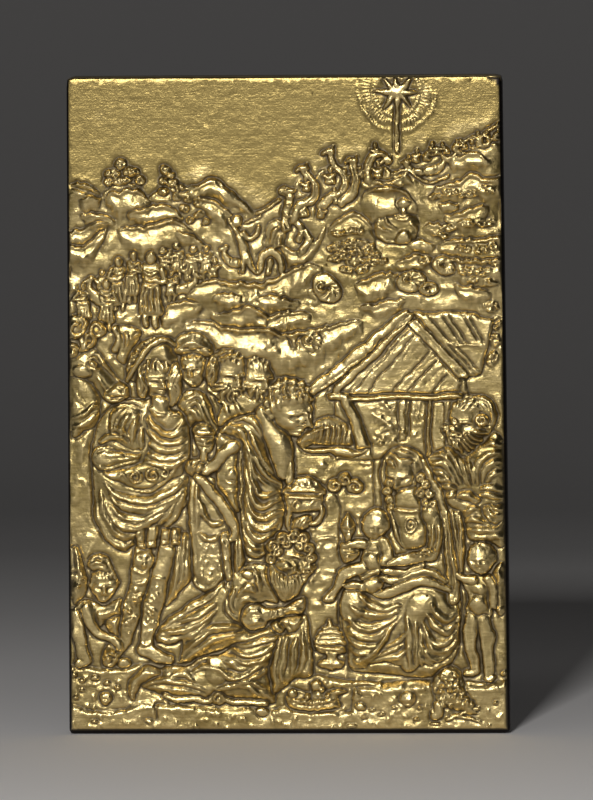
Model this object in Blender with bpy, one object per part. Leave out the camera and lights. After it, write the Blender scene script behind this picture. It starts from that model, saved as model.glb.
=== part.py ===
"""Liturgical pax: a small cast and gilt plaque with kings before a mother and child in relief.

One solid casting that stands on its lower edge. Metres, +Z up, the relief towards -Y, the origin at the
middle of the flat underside. The relief is laid out in millimetres on the front face: u runs right from
the lower left corner of the face, v runs up, and heights are measured out from the plain sky.
"""
import math

import bmesh
import bpy
import numpy as np

MM = 0.001
# Gilt front face
FACE_W = 75.0
FACE_H = 113.0
# The body behind the sky: its depth, and the sloping edge all round that runs back from the face
BODY_DEPTH = 7.0
EDGE_LEFT = 0.45
EDGE_RIGHT = 0.55
EDGE_TOP = 0.35
EDGE_FOOT = 0.9
EDGE_DEPTH = 0.6
CORNER_RADIUS = 0.9
# The mould was not quite square: how much the width narrows over the height, and how far it leans left
TAPER = 0.0186
SHEAR = 0.126
# Worn upper right corner: where the loss starts on the top and on the side, and how deep it goes
LOSS_TOP_U = 72.8
LOSS_SIDE_V = 111.5
LOSS_DEPTH = 0.2
# Fineness of the height map, of the sheet lifted by it, and the triangles left after simplifying
PITCH = 0.25
SHEET_STEP = 0.5
FACE_TRIANGLES = 8900

NU = int(round(FACE_W / PITCH)) + 1
NV = int(round(FACE_H / PITCH)) + 1
NOWHERE = -9.0
GRID_U, GRID_V = np.meshgrid(np.linspace(0, FACE_W, NU), np.linspace(0, FACE_H, NV))


def blank():
    return np.full((NV, NU), NOWHERE)


def window(points, reach):
    """The rows and columns of the raster within reach of these points."""
    low = np.min(points, axis=0)[:2] - reach
    high = np.max(points, axis=0)[:2] + reach
    c0, r0 = np.maximum(np.floor(low / PITCH).astype(int), 0)
    c1, r1 = np.ceil(high / PITCH).astype(int) + 1
    return slice(r0, max(r0, min(r1, NV))), slice(c0, max(c0, min(c1, NU)))


def curve(points, closed=False, steps=6):
    """A smooth line through rows of points; any further columns, such as a radius, run smoothly too."""
    p = np.array(points, float)
    if len(p) < 3:
        return p
    q = np.vstack([p[-1], p, p[0], p[1]]) if closed else np.vstack([2 * p[0] - p[1], p, 2 * p[-1] - p[-2]])
    t = np.linspace(0, 1, steps, endpoint=False)[:, None]
    parts = []
    for a, b, c, d in zip(q[:-3], q[1:-2], q[2:-1], q[3:]):
        parts.append(0.5 * (2 * b + (c - a) * t + (2 * a - 5 * b + 4 * c - d) * t**2
                            + (3 * b - a - 3 * c + d) * t**3))
    if not closed:
        parts.append(p[-1:])
    return np.vstack(parts)


def along(path, area):
    """For each raster point in area: its distance from the path, the path's columns there, and the share of the way."""
    u, v = GRID_U[area], GRID_V[area]
    best = np.full(u.shape, 1e9)
    cols = np.zeros(u.shape + (path.shape[1],))
    share = np.zeros(u.shape)
    side = np.zeros(u.shape)
    ends = np.concatenate([[0], np.cumsum(np.hypot(*np.diff(path[:, :2], axis=0).T))])
    total = max(ends[-1], 1e-9)
    for i, (a, b) in enumerate(zip(path[:-1], path[1:])):
        d = b[:2] - a[:2]
        length = max(d @ d, 1e-12)
        t = np.clip(((u - a[0]) * d[0] + (v - a[1]) * d[1]) / length, 0, 1)
        du, dv = u - a[0] - t * d[0], v - a[1] - t * d[1]
        dist = np.hypot(du, dv)
        near = dist < best
        best[near] = dist[near]
        cols[near] = (a + t[near][:, None] * (b - a))
        share[near] = (ends[i] + t[near] * (ends[i + 1] - ends[i])) / total
        side[near] = np.sign(d[0] * dv - d[1] * du)[near]
    return best, cols, share, side


def rod(layer, points, radius, top, deep=None, closed=False):
    """A rounded bar along a smooth line: its crest is at top, its edges lie deep lower. Points may carry (u, v, radius, top)."""
    p = np.array([[*q, *([radius, top][len(q) - 2:])] for q in points], float)
    path = curve(p, closed)
    if closed:
        path = np.vstack([path, path[:1]])
    area = window(path, path[:, 2].max())
    dist, cols, _, _ = along(path, area)
    r = np.maximum(cols[..., 2], 1e-6)
    inside = dist < r
    fall = 1 - np.sqrt(np.clip(1 - (dist / r) ** 2, 0, 1))
    h = cols[..., 3] - fall * (r * 0.75 if deep is None else deep)
    layer[area] = np.where(inside, np.maximum(layer[area], h), layer[area])
    return layer


def blob(layer, u, v, ru, rv, top, deep=None, turn=0.0):
    """A low dome on an ellipse, turned by turn degrees."""
    reach = max(ru, rv)
    area = window([(u, v)], reach)
    c, s = math.cos(math.radians(turn)), math.sin(math.radians(turn))
    du, dv = GRID_U[area] - u, GRID_V[area] - v
    q = ((du * c + dv * s) / ru) ** 2 + ((dv * c - du * s) / rv) ** 2
    deep = min(ru, rv) * 0.75 if deep is None else deep
    h = top - deep * (1 - np.sqrt(np.clip(1 - q, 0, 1)))
    layer[area] = np.where(q < 1, np.maximum(layer[area], h), layer[area])
    return layer


def mass(layer, outline, top, deep=0.8, soft=1.2, slope=(0, 0), smooth=True):
    """A pillowed region inside a closed outline, rising over soft from its edge to top; slope tilts it in mm per mm."""
    deep *= 1.35
    soft *= 1.6
    path = curve(outline, True) if smooth else np.array(outline, float)
    area = window(path, 0.2)
    u, v = GRID_U[area], GRID_V[area]
    inside = np.zeros(u.shape, bool)
    for a, b in zip(path, np.roll(path, -1, axis=0)):
        if a[1] == b[1]:
            continue
        crosses = ((a[1] > v) != (b[1] > v)) & (u < (b[0] - a[0]) * (v - a[1]) / (b[1] - a[1]) + a[0])
        inside ^= crosses
    dist, _, _, _ = along(np.vstack([path, path[:1]]), area)
    mid = path.mean(axis=0)
    rise = np.sin(np.clip(dist / soft, 0, 1) * math.pi / 2)
    h = top - deep * (1 - rise) + slope[0] * (u - mid[0]) + slope[1] * (v - mid[1])
    layer[area] = np.where(inside, np.maximum(layer[area], h), layer[area])
    return layer


def fold(layer, points, width=0.35, height=0.3, ends=0.6, lean=0.0, on=None):
    """A ridge (or, with a negative height, a groove) added along a smooth line to what is there; it fades at its ends."""
    path = curve([q[:2] for q in points])
    reach = width * 2.4
    area = window(path, reach)
    dist, _, share, side = along(path, area)
    grow = np.clip(np.sin(np.clip(share, 0, 1) * math.pi), 0, 1) ** ends if ends else 1.0
    x = dist / width
    if lean:
        x = x * (1 + lean * side)
    there = layer[area] > NOWHERE / 2
    if on is not None:
        there &= on[area]
    layer[area] += np.where(there, height * np.exp(-x**2) * grow * (dist < reach), 0)
    return layer


def pleats(layer, lines, width=0.7, height=0.5, taper=0.35, on=None):
    """Ridges of cloth set side by side on what is there, so that neighbours meet in a sharp valley, with finer
    ones between. Each is steeper on one side. A third number at a point is its width there."""
    base = layer.copy()
    width *= 0.86
    for nth, points in enumerate(lines):
        path = curve([(*q[:2], q[2] * 0.86 if len(q) > 2 else width) for q in points])
        area = window(path, path[:, 2].max() * 1.2)
        dist, cols, share, side = along(path, area)
        full = np.clip(np.sin(np.clip(share, 0, 1) * math.pi), 0, 1) ** (taper + 0.2) if taper else 1.0
        across = dist * side / (cols[..., 2] * np.maximum(full, 0.05)) - 0.12
        across = np.where(across > 0, across * 0.85, across)
        q = np.abs(across)
        crest = 0.6 * (1 - q) + 0.4 * np.sqrt(np.clip(1 - q * q, 0, 1))
        streak = 0.10 * np.cos(8 * across + 2.3 * nth + 4 * share) * (1 - q)
        rise = height * 1.15 * np.minimum(full, 1.0) * (crest + streak)
        ok = (q < 1) & (base[area] > NOWHERE / 2)
        if on is not None:
            ok &= on[area]
        layer[area] = np.where(ok, np.maximum(layer[area], base[area] + rise), layer[area])
    if width > 0.45:
        for nth, (a, b) in enumerate(zip(lines[:-1], lines[1:])):
            a, b = even(a, 7), even(b, 7)
            gap = np.hypot(*(a - b).T)
            if gap.mean() < 3.2 * width and gap.max() < 6 * width:
                for t in (0.36, 0.64) if gap.mean() > 1.2 * width else (0.5,):
                    fold(layer, (a * (1 - t) + b * t)[(nth % 2):7 - ((nth + 1) % 2)], 0.16, 0.2 * height
                            + 0.05, 0.8, on=on)
    return layer


def even(points, n):
    """n points spaced evenly along the smooth line through points."""
    path = curve([q[:2] for q in points])
    ends = np.concatenate([[0], np.cumsum(np.hypot(*np.diff(path, axis=0).T))])
    at = np.linspace(0, ends[-1], n)
    return np.stack([np.interp(at, ends, path[:, 0]), np.interp(at, ends, path[:, 1])], axis=1)


def blurred(field, radius):
    """A field smoothed by three passes of a square mean."""
    n = max(1, int(round(radius / PITCH)))
    for _ in range(3):
        for axis in (0, 1):
            pad = [(0, 0), (0, 0)]
            pad[axis] = (n + 1, n)
            c = np.cumsum(np.pad(field, pad, mode="edge"), axis=axis)
            lo = np.take(c, range(0, field.shape[axis]), axis=axis)
            hi = np.take(c, range(2 * n + 1, field.shape[axis] + 2 * n + 1), axis=axis)
            field = (hi - lo) / (2 * n + 1)
    return field


def pressed(height, gentle=0.8, power=0.5):
    """Low relief: slopes steeper than gentle are pressed down, and the heights are summed again from the slopes."""
    across = np.diff(height, axis=1) / PITCH
    up = np.diff(height, axis=0) / PITCH
    steep = np.hypot(np.pad(across, ((0, 0), (0, 1)), mode="edge"), np.pad(up, ((0, 1), (0, 0)), mode="edge"))
    keep = np.maximum(steep / gentle, 1.0) ** (power - 1)
    across *= np.minimum(keep[:, :-1], keep[:, 1:]) * PITCH
    up *= np.minimum(keep[:-1], keep[1:]) * PITCH
    bend = np.zeros_like(height)
    bend[:, :-1] += across
    bend[:, 1:] -= across
    bend[:-1] += up
    bend[1:] -= up
    # The heights whose bends these are, found wave by wave on a mirrored sheet
    rows, cols = bend.shape
    sheet = np.fft.rfft2(np.block([[bend, bend[:, ::-1]], [bend[::-1], bend[::-1, ::-1]]]))
    wave = 2 * np.cos(np.pi * np.arange(2 * rows) / rows)[:, None] + 2 * np.cos(np.pi * np.arange(cols + 1)
            / cols) - 4
    wave[0, 0] = 1
    sheet /= wave
    sheet[0, 0] = 0
    low = np.fft.irfft2(sheet, s=(2 * rows, 2 * cols))[:rows, :cols]
    return low - np.median(low[int(104 / PITCH):int(110 / PITCH), int(8 / PITCH):int(42 / PITCH)])


def lowered(height):
    """Presses the relief low, keeping its edges sharp and its broad heights true."""
    low = pressed(height)
    low += 0.62 * blurred(np.clip(height, 0, 3), 3.0) - blurred(low, 3.0)
    return 0.95 * low


def terrace(ground, line, rise, fade=4.0, lip=0.45, groove=0.22):
    """A hill that stands forward below a smooth line, with a crisp lip, and sinks back into the ground below it."""
    path = curve(line)
    ridge = np.interp(GRID_U[0], path[:, 0], path[:, 1])
    left, right = path[0, 0], path[-1, 0]
    span = np.clip((GRID_U[0] - left) / (right - left), 0, 1)
    fall = np.where((span > 0) & (span < 1), np.sin(span * math.pi), 0)
    if left <= 0.5:
        fall = np.where(span < 0.5, 1.0, fall)
    if right >= 74.5:
        fall = np.where(span > 0.5, 1.0, fall)
    fall = np.where((GRID_U[0] < left) | (GRID_U[0] > right), 0, fall) ** 0.4
    below = ridge[None, :] - GRID_V
    d = np.clip(below / lip, 0, 1)
    step = d * d * (3 - 2 * d) * np.exp(-np.clip(below, 0, None) / fade)
    cut = np.exp(-((below + 0.15) / 0.3) ** 2)
    return ground + fall[None, :] * (rise * step - groove * cut)


def ledge(ground, line, rise=0.8, apron=2.6, lip=0.3):
    """A shelf of rock: a thin lip along the line, a hollow under it, and below that a slope that comes forward."""
    path = curve(line)
    left, right = path[0, 0], path[-1, 0]
    wobble = np.interp(GRID_U[0], np.arange(-1, 77, 0.7), np.random.default_rng(int(7 * left + 3
            * right)).normal(size=112) * 0.16)
    ridge = np.interp(GRID_U[0], path[:, 0], path[:, 1]) + wobble
    span = np.clip((GRID_U[0] - left) / (right - left), 0, 1)
    fall = np.sin(span * math.pi)
    fall = np.where((left <= 0.5) & (span < 0.5) | (right >= 74.5) & (span > 0.5), 1.0, fall)
    fall = np.where((GRID_U[0] < left) | (GRID_U[0] > right), 0, fall) ** 0.5
    below = (ridge[None, :] - GRID_V) / np.clip(fall, 0.3, 1)
    d = np.clip(below / lip, 0, 1)
    shelf = 0.62 * np.exp(-(np.clip(below - lip, 0, None) / 0.55) ** 1.5) + 0.3 + 0.75 * (1
            - np.exp(-np.clip(below - lip, 0, None) / (0.6 * apron)))
    away = np.exp(-(np.clip(below - apron, 0, None) / (0.8 * apron)) ** 2)
    cut = np.exp(-((below + 0.12) / 0.22) ** 2)
    return ground + fall[None, :] * (1.35 * rise * d * d * (3 - 2 * d) * shelf * away - 0.18 * cut)


def lay(ground, layer, groove=0.25, width=0.22):
    """Sets a layer on the ground where it stands higher, with a chased line cut round it."""
    up = layer > ground
    if groove:
        groove *= 0.6
        near = np.clip(blurred(up.astype(float), width) * 2.2, 0, 1)
        ground = np.where(up, ground, ground - groove * near)
    return np.where(up, layer, ground)


def turned(points, yaw, pitch, roll):
    """Points turned about the upright, then nodded, then rolled in the picture plane, all in degrees."""
    x, y, z = points
    a, b, c = (math.radians(k) for k in (yaw, pitch, roll))
    x, y = x * math.cos(a) + y * math.sin(a), y * math.cos(a) - x * math.sin(a)
    y, z = y * math.cos(b) + z * math.sin(b), z * math.cos(b) - y * math.sin(b)
    x, z = x * math.cos(c) - z * math.sin(c), z * math.cos(c) + x * math.sin(c)
    return x, y, z


def bump(x, z, cx, cz, sx, sz):
    return np.exp(-((x - cx) / sx) ** 2 - ((z - cz) / sz) ** 2)


def splat(layer, u, v, h):
    """Drops a cloud of surface points on the raster, keeping the highest in each cell, and closes pinholes."""
    c = np.round(u / PITCH).astype(int).ravel()
    r = np.round(v / PITCH).astype(int).ravel()
    h = h.ravel()
    ok = (c >= 0) & (c < NU) & (r >= 0) & (r < NV)
    c, r, h = c[ok], r[ok], h[ok]
    own = np.full((NV, NU), NOWHERE)
    np.maximum.at(own, (r, c), h)
    r0, r1, c0, c1 = r.min(), r.max() + 1, c.min(), c.max() + 1
    part = own[r0:r1, c0:c1]
    for _ in range(2):
        pad = np.pad(part, 1, constant_values=NOWHERE)
        stack = np.stack([pad[1 + i:pad.shape[0] - 1 + i, 1 + j:pad.shape[1] - 1 + j]
                          for i in (-1, 0, 1) for j in (-1, 0, 1) if i or j])
        hits = (stack > NOWHERE / 2).sum(axis=0)
        mean = np.where(stack > NOWHERE / 2, stack, 0).sum(axis=0) / np.maximum(hits, 1)
        hole = (part <= NOWHERE / 2) & (hits >= 5)
        part = np.where(hole, mean, part)
    layer[r0:r1, c0:c1] = np.maximum(layer[r0:r1, c0:c1], part)
    return layer


def head(layer, u, v, size, top, yaw=0, pitch=0, roll=0, hair="short", beard=0.0, broad=1.0, relief=0.62,
         child=False, seed=0, ear=True):
    """A head whose crown-to-chin height is size, facing the viewer at yaw 0, its highest point at top.
    Features are low bumps on an egg: calm and evenly spaced, in the proportions of a drawing manual."""
    n = max(90, int(size / PITCH * 2.6))
    lat = np.linspace(-math.pi / 2, math.pi / 2, n)[:, None]
    lon = np.linspace(-math.pi, math.pi, 2 * n)[None, :]
    x = np.cos(lat) * np.sin(lon)
    y = np.cos(lat) * np.cos(lon)
    z = np.sin(lat) * np.ones_like(lon)
    front = np.clip(y * 3, 0, 1)
    jaw = np.clip(-z, 0, 1)
    narrow = 0.06 if child else 0.2
    X, Y, Z = x * (0.78 * broad - narrow * jaw**1.5), y * (0.92 - 0.1 * jaw), z.copy()
    f = np.zeros_like(X)
    soft = 0.6 if child else 1.0
    b = lambda cx, cz, sx, sz: bump(X, Z, cx, cz, sx, sz)
    drop = -0.12 if child else 0.0
    brow, eye, tip, lip, chin = (0.16 + drop, 0.02 + drop, -0.28 + drop * 0.6, -0.53 + drop * 0.3, -0.82)
    f += 0.10 * soft * (b(-0.27, brow, 0.22, 0.07) + b(0.27, brow, 0.22, 0.07))
    f -= 0.18 * soft * (b(-0.27, eye, 0.17, 0.10) + b(0.27, eye, 0.17, 0.10))
    f += 0.14 * soft * (b(-0.27, eye - 0.01, 0.11, 0.055) + b(0.27, eye - 0.01, 0.11, 0.055))
    bridge = np.clip((brow + 0.04 - Z) / (brow - tip + 0.04), 0, 1)
    f += (0.08 + 0.22 * bridge) * soft * np.exp(-(X / (0.075 + 0.05 * bridge)) ** 2) \
        * np.clip((brow + 0.14 - Z) * 6, 0, 1) * np.clip((Z - tip + 0.08) * 14, 0, 1)
    f += 0.07 * soft * (b(-0.11, tip, 0.05, 0.05) + b(0.11, tip, 0.05, 0.05))
    f += (0.10 if child else 0.06) * (b(-0.42, tip + 0.02, 0.22, 0.22) + b(0.42, tip + 0.02, 0.22, 0.22))
    f += 0.09 * (b(0, lip + 0.06, 0.19, 0.05) + b(0, lip - 0.06, 0.15, 0.05)) - 0.08 * b(0, lip, 0.19, 0.024)
    f += 0.12 * b(0, chin, 0.2, 0.13)
    Y = Y + f * front * (1.3 if child else 1.9)
    if ear:
        lobe = bump(y, z, -0.02, -0.06, 0.13, 0.24)
        X = X + np.sign(x) * 0.12 * lobe * (1 - 0.75 * bump(y, z, 0.0, -0.04, 0.055, 0.13))
    if beard:
        edge = np.clip((-0.30 - z + 0.62 * np.clip(1 - y, 0, 1)) * 7, 0, 1) * np.clip((y + 0.25) * 5, 0, 1)
        mouth = bump(X, Z, 0, lip, 0.15, 0.05) * front
        a = np.arctan2(x, -(z - 0.1))
        strand = 0.075 * np.sin(24 * a + 7 * z + 2 * np.sin(9 * z + seed))
        low = np.clip(-z - 0.35, 0, 1)
        w = edge * (1 - 0.9 * mouth)
        Y = Y + w * (0.15 + strand)
        X = X + np.sign(x) * np.clip(np.abs(x) * 3, 0, 1) * w * (0.07 + strand)
        Z = Z - w * low**1.3 * beard * (1.5 + 0.12 * np.sin(14 * a + seed))
        for side in (-1, 1):
            along_lip = np.clip((side * X) / 0.34, 0, 1.2)
            line = lip + 0.13 - 0.16 * along_lip**1.5
            Y = Y + 0.10 * front * np.exp(-((z - line) / 0.06) ** 2) * (side
                    * X > -0.03) * np.clip((0.42 - side * X) * 8, 0, 1)
    if hair:
        line = {"short": 0.46, "curly": 0.48, "wavy": 0.44, "long": 0.40, "cap": 0.42, "bald": 0.95}[hair]
        back = np.clip(0.28 - y, 0, 1)
        burns = 1.3 * np.clip(np.abs(x) - 0.66, 0, 1) if hair == "curly" else -0.35 * np.clip(np.abs(x)
                - 0.35, 0, 1)
        scalp = np.clip((z - line + 2.2 * back + burns) * 9, 0, 1)
        scalp *= np.clip((z + 0.62 + 0.5 * back) * 6, 0, 1)
        a = np.arctan2(x, z + 0.1)
        if hair in ("short", "bald"):
            tex, thick = 0.06 * np.sin(20 * a + 6 * y) * np.sin(13 * y + 3 * z + seed), 0.09
        elif hair == "curly":
            tex, thick = 0.11 * np.sin(12 * a + seed) * np.sin(14 * y + 4 * x + seed), 0.15
        elif hair == "cap":
            tex, thick = 0.03 * np.sin(34 * a), 0.24
        else:
            tex, thick = 0.10 * np.sin(18 * (y + 0.5 * z) + 4 * np.sin(4 * a + seed)), 0.13
        grow = 1 + scalp * (thick + tex)
        X, Y, Z = X * grow, Y * grow, Z * (1 + scalp * (thick + tex) * 0.8)
    k = size / 2
    X, Y, Z = turned((X, Y, Z), yaw, pitch, roll)
    show = Y > -0.3
    h = top - (np.max(Y) - Y) * k * relief
    return splat(layer, (u + X * k)[show], (v + Z * k)[show], h[show])


def passer(layer, u, v, s, top, seed):
    """A small cloaked figure on foot or in the saddle, s its width: robe and folds, arm, head and hat."""
    rng = np.random.default_rng(seed)
    lean, side = 0.35 * s * rng.normal(), rng.choice((-1, 1))
    neck = (u + lean, v + 1.5 * s)
    mass(layer, [(u - 0.5 * s, v), (u - 0.52 * s, v + 0.7 * s), (u - 0.42 * s + lean, v + 1.35 * s),
            (u + 0.42 * s + lean, v + 1.35 * s), (u + 0.55 * s, v + 0.7 * s), (u + 0.5 * s, v)], top, 0.4,
            0.35)
    rod(layer, [(neck[0] - 0.35 * s * side, neck[1] - 0.3 * s), (neck[0] + 0.1 * s * side,
            neck[1] - 0.75 * s), (neck[0] + 0.7 * s * side, neck[1] - 0.45 * s)], 0.17 * s, top + 0.3)
    blob(layer, neck[0] + 0.05 * s * side, neck[1] + 0.22 * s, 0.27 * s, 0.34 * s, top + 0.4)
    return layer


def walker(layer, u, v, w, tall, top, side):
    """A small figure standing in a belted coat, w wide and tall high: legs, folds, an arm bent to the belt, head and hat."""
    belt, chest = v + 0.52 * tall, v + 0.8 * tall
    for k in (-0.24, 0.22):
        rod(layer, [(u + k * w, v, 0.15 * w, top - 0.3), (u + k * w, belt, 0.22 * w, top)], 0.2 * w, top)
    mass(layer, [(u - 0.55 * w, v + 0.15 * tall), (u - 0.36 * w, belt), (u - 0.5 * w, chest), (u,
            chest + 0.06 * tall), (u + 0.5 * w, chest), (u + 0.36 * w, belt), (u + 0.55 * w,
            v + 0.15 * tall)], top + 0.1, 0.5, 0.7)
    for k in (-0.34, -0.12, 0.1, 0.32):
        fold(layer, [(u + k * w, belt), (u + 1.4 * k * w, v + 0.15 * tall)], 0.23, 0.4, 0.2)
    for h in (0.0, 0.09, 0.18):
        fold(layer, [(u - 0.42 * w, belt + (h + 0.05) * tall), (u, belt + h * tall), (u + 0.42 * w,
                belt + (h + 0.06) * tall)], 0.23, 0.4, 0.2)
    rod(layer, [(u + 0.5 * w * side, chest - 0.03 * tall), (u + 0.64 * w * side, belt + 0.08 * tall),
            (u + 0.2 * w * side, belt + 0.1 * tall)], 0.14 * w, top + 0.4)
    blob(layer, u + 0.06 * w * side, v + 0.92 * tall, 0.24 * w, 0.09 * tall, top + 0.7)
    fold(layer, [(u - 0.34 * w, v + 0.95 * tall), (u, v + 1.01 * tall), (u + 0.34 * w, v + 0.95 * tall)],
            0.23, 0.4, 0.2)
    return layer


def steed(layer, u, v, s, top, side):
    """A small horse or camel from the side: rump, arched neck, head and reins."""
    rod(layer, [(u - 1.1 * s * side, v, 0.6 * s, top), (u, v + 0.1 * s, 0.62 * s, top),
            (u + 0.8 * s * side, v + 0.5 * s, 0.5 * s, top)], s, top)
    rod(layer, [(u + 0.7 * s * side, v + 0.4 * s, 0.5 * s, top), (u + 1.3 * s * side, v + 1.2 * s,
            0.33 * s, top), (u + 1.2 * s * side, v + 1.9 * s, 0.27 * s, top)], s, top)
    rod(layer, [(u + 1.1 * s * side, v + 2.0 * s, 0.27 * s, top + 0.1), (u + 1.8 * s * side, v + 1.6 * s,
            0.2 * s, top + 0.1)], s, top)
    return layer


def leafy(layer, u, v, ru, rv, top, seed, turn=0):
    """A bush or a tree crown: a rounded clump broken into small bright leaves."""
    blob(layer, u, v, ru, rv, top, min(0.55, top), turn)
    ring = [(u + 1.05 * ru * math.cos(a), v + 1.05 * rv * math.sin(a)) for a in np.arange(0, 6.2, 0.7)]
    return layer


def star(ground):
    """Eight-pointed star with its beam, inside a ring of short engraved strokes."""
    for r0, r1, n in ((4.6, 6.0, 64), (6.3, 7.0, 88), (3.6, 4.4, 48)):
        for i in range(n):
            a = 2 * math.pi * i / n
            c, s = math.cos(a), math.sin(a)
            if s < -0.99 or 110.4 + r1 * s > 113.4:
                continue
    layer = blank()
    rod(layer, [(57.3, 109.6, 0.42, 0.7), (57.3, 104, 0.4, 0.7), (57.2, 100.2, 0.4, 0.6)], 0.4, 0.7, 0.35)
    for k, length in enumerate((3.8, 3.6, 3.4, 3.6, 4.0, 3.7, 3.2, 3.5)):
        a = math.radians(k * 45)
        c, s = math.cos(a), math.sin(a)
        rod(layer, [(57.3, 110.4, 0.75, 1.5), (57.3 + length * 0.5 * c, 110.4 + length * 0.5 * s, 0.5,
                1.2), (57.3 + length * c, 110.4 + length * s, 0.12, 0.7)], 0.5, 1.2)
    return lay(ground, layer, 0.3, 0.2)


def hills(ground):
    """Low hills behind one another: shelves of broken rock whose thin lips catch the light."""
    far = [[(0, 94.4), (3.4, 93.4), (5.6, 93), (6.6, 94), (9, 95.2), (12.4, 94.4), (13.4, 92.6), (15,
            93.4), (17, 94.4), (19.8, 93.6), (22, 94.3), (24.8, 95.6), (26.4, 94.6), (29.6, 92.4), (32.4,
            90), (34.4, 90.8), (36.6, 92.6), (38.4, 94)], [(38, 93.4), (40.6, 96), (43, 95.6), (44, 97.4),
            (47, 98), (49.6, 98), (51.6, 97.6), (54.2, 98.4), (56.6, 96.8), (59, 98), (60.4, 99.6), (63,
            100), (65.4, 100), (67.4, 99.8), (70, 101), (72.4, 101.6), (75, 102.4)]]
    for line in far:
        ground = terrace(ground, line, 0.5, 60, 0.6, 0.1)
    for line, rise, apron in [([(0, 94.6), (2.4, 94.9), (4.6, 94.2), (5.6, 93.2)], 0.7, 2.0), ([(17.6,
            94.2), (21, 94.3), (23.6, 95.2), (25.4, 95.7), (27, 94.6), (29.6, 92.4), (31.6, 90.2)], 0.9,
            1.6), ([(6.2, 92.6), (7.6, 93.6), (10, 93.9), (12.6, 93.5), (14.2, 92)], 1.1, 2.6), ([(1.6,
            92.1), (3.4, 92.9), (5.4, 92.8)], 0.7, 1.6), ([(2, 89.4), (4, 89.9), (6.6, 89.5), (8, 88.6)],
            0.8, 1.6), ([(21.6, 92.2), (24, 92.4), (26.4, 91.2), (28.6, 89.4)], 0.8, 2.0), ([(10.2, 90),
            (12.4, 90.8), (15, 91.2), (17.4, 91.1), (19.6, 89.2)], 1.1, 1.8), ([(8.4, 87), (11, 87.6),
            (14, 87.6), (17, 88.4), (19.6, 88.1), (21.4, 86.8)], 1.0, 3.2), ([(0, 84.6), (2.6, 84.4), (5,
            85.9), (6.6, 87)], 0.8, 1.6), ([(0, 87.4), (2.4, 87.4), (4.8, 88.4), (7, 88.1)], 0.6, 1.4),
            ([(18.6, 86.4), (21, 86.2), (23.4, 84.6), (25.6, 82)], 0.6, 1.6), ([(19.4, 77.4), (21.4,
            77.2), (24.4, 78), (28, 77.8), (32, 77.5), (35, 78.2), (38.6, 79.9), (41.6, 80.8), (44,
            80.6)], 1.1, 3.4), ([(24.6, 71.8), (27, 72.3), (29.2, 72.8), (31, 73.9), (32.6, 73.2), (34.6,
            72), (37, 72.6), (39.6, 72.9), (42, 71.8)], 1.0, 2.2), ([(33, 75), (35.4, 75.6), (38, 75.2),
            (40, 74.4)], 0.7, 1.5), ([(15.4, 72.6), (18, 74), (20.6, 74.4), (23, 73.6)], 0.7, 2.2), ([(25,
            75.4), (27.4, 76), (30, 75.6)], 0.5, 1.4), ([(20, 70.6), (23, 71), (26, 70.2), (29, 69.8),
            (31.4, 69.6), (34, 69.6), (36.4, 68.8), (38, 68.4), (40, 68.9), (42.4, 69.9), (45.4, 70.5),
            (48.6, 71.1), (51, 71)], 1.2, 3.6), ([(45, 87.2), (47, 88.8), (49.8, 89.7), (52, 88.2), (53.6,
            86.2)], 0.8, 2.8), ([(50.4, 94.6), (52.6, 95.2), (55.4, 95), (58.2, 96), (60, 95.2)], 0.8,
            1.4), ([(50.8, 92.2), (52.8, 93.6), (55.6, 94), (58, 93.6), (60.6, 91)], 1.1, 3.6), ([(58.6,
            84.6), (61, 84.9), (63.4, 84)], 0.5, 1.2), ([(62.6, 93), (64.6, 94.4), (67, 95.2), (70, 96.2),
            (72.4, 95.4), (75, 95.6)], 1.0, 2.0), ([(64.4, 91.2), (66.4, 91.6), (68, 91)], 0.6, 1.0),
            ([(65.4, 89.2), (68, 89.6), (71, 90.5), (73, 90.7)], 1.1, 2.0), ([(66, 98.4), (69, 99.9),
            (71.6, 99.6), (73.4, 98.4)], 0.9, 1.6), ([(61.6, 87.2), (64, 87.9), (67, 87.2)], 0.7, 1.5),
            ([(64, 84), (67.4, 85.2), (71, 85), (75, 85.6)], 0.9, 2.2), ([(64.6, 80.6), (68, 81.8), (72,
            81.4), (75, 82)], 0.9, 2.4), ([(66.8, 77.2), (69, 76.9), (71.6, 76.4), (73.4, 75.6)], 0.7,
            1.6), ([(49.6, 77.4), (52.6, 78.4), (56, 79.2), (57.6, 78.6)], 1.1, 2.4), ([(50.6, 73.6), (53,
            74.2), (56, 74.6), (58.6, 74.6)], 0.7, 1.2), ([(41.4, 76.4), (43.6, 77), (46, 76)], 0.4, 1.4),
            ([(36, 84.6), (39.6, 83), (42, 84.4), (44.6, 87.4)], 0.6, 1.6), ([(56.6, 80.8), (60, 82.4),
            (63, 82)], 0.8, 1.6)]:
        ground = ledge(ground, line, rise, apron)
    return ground


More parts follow.
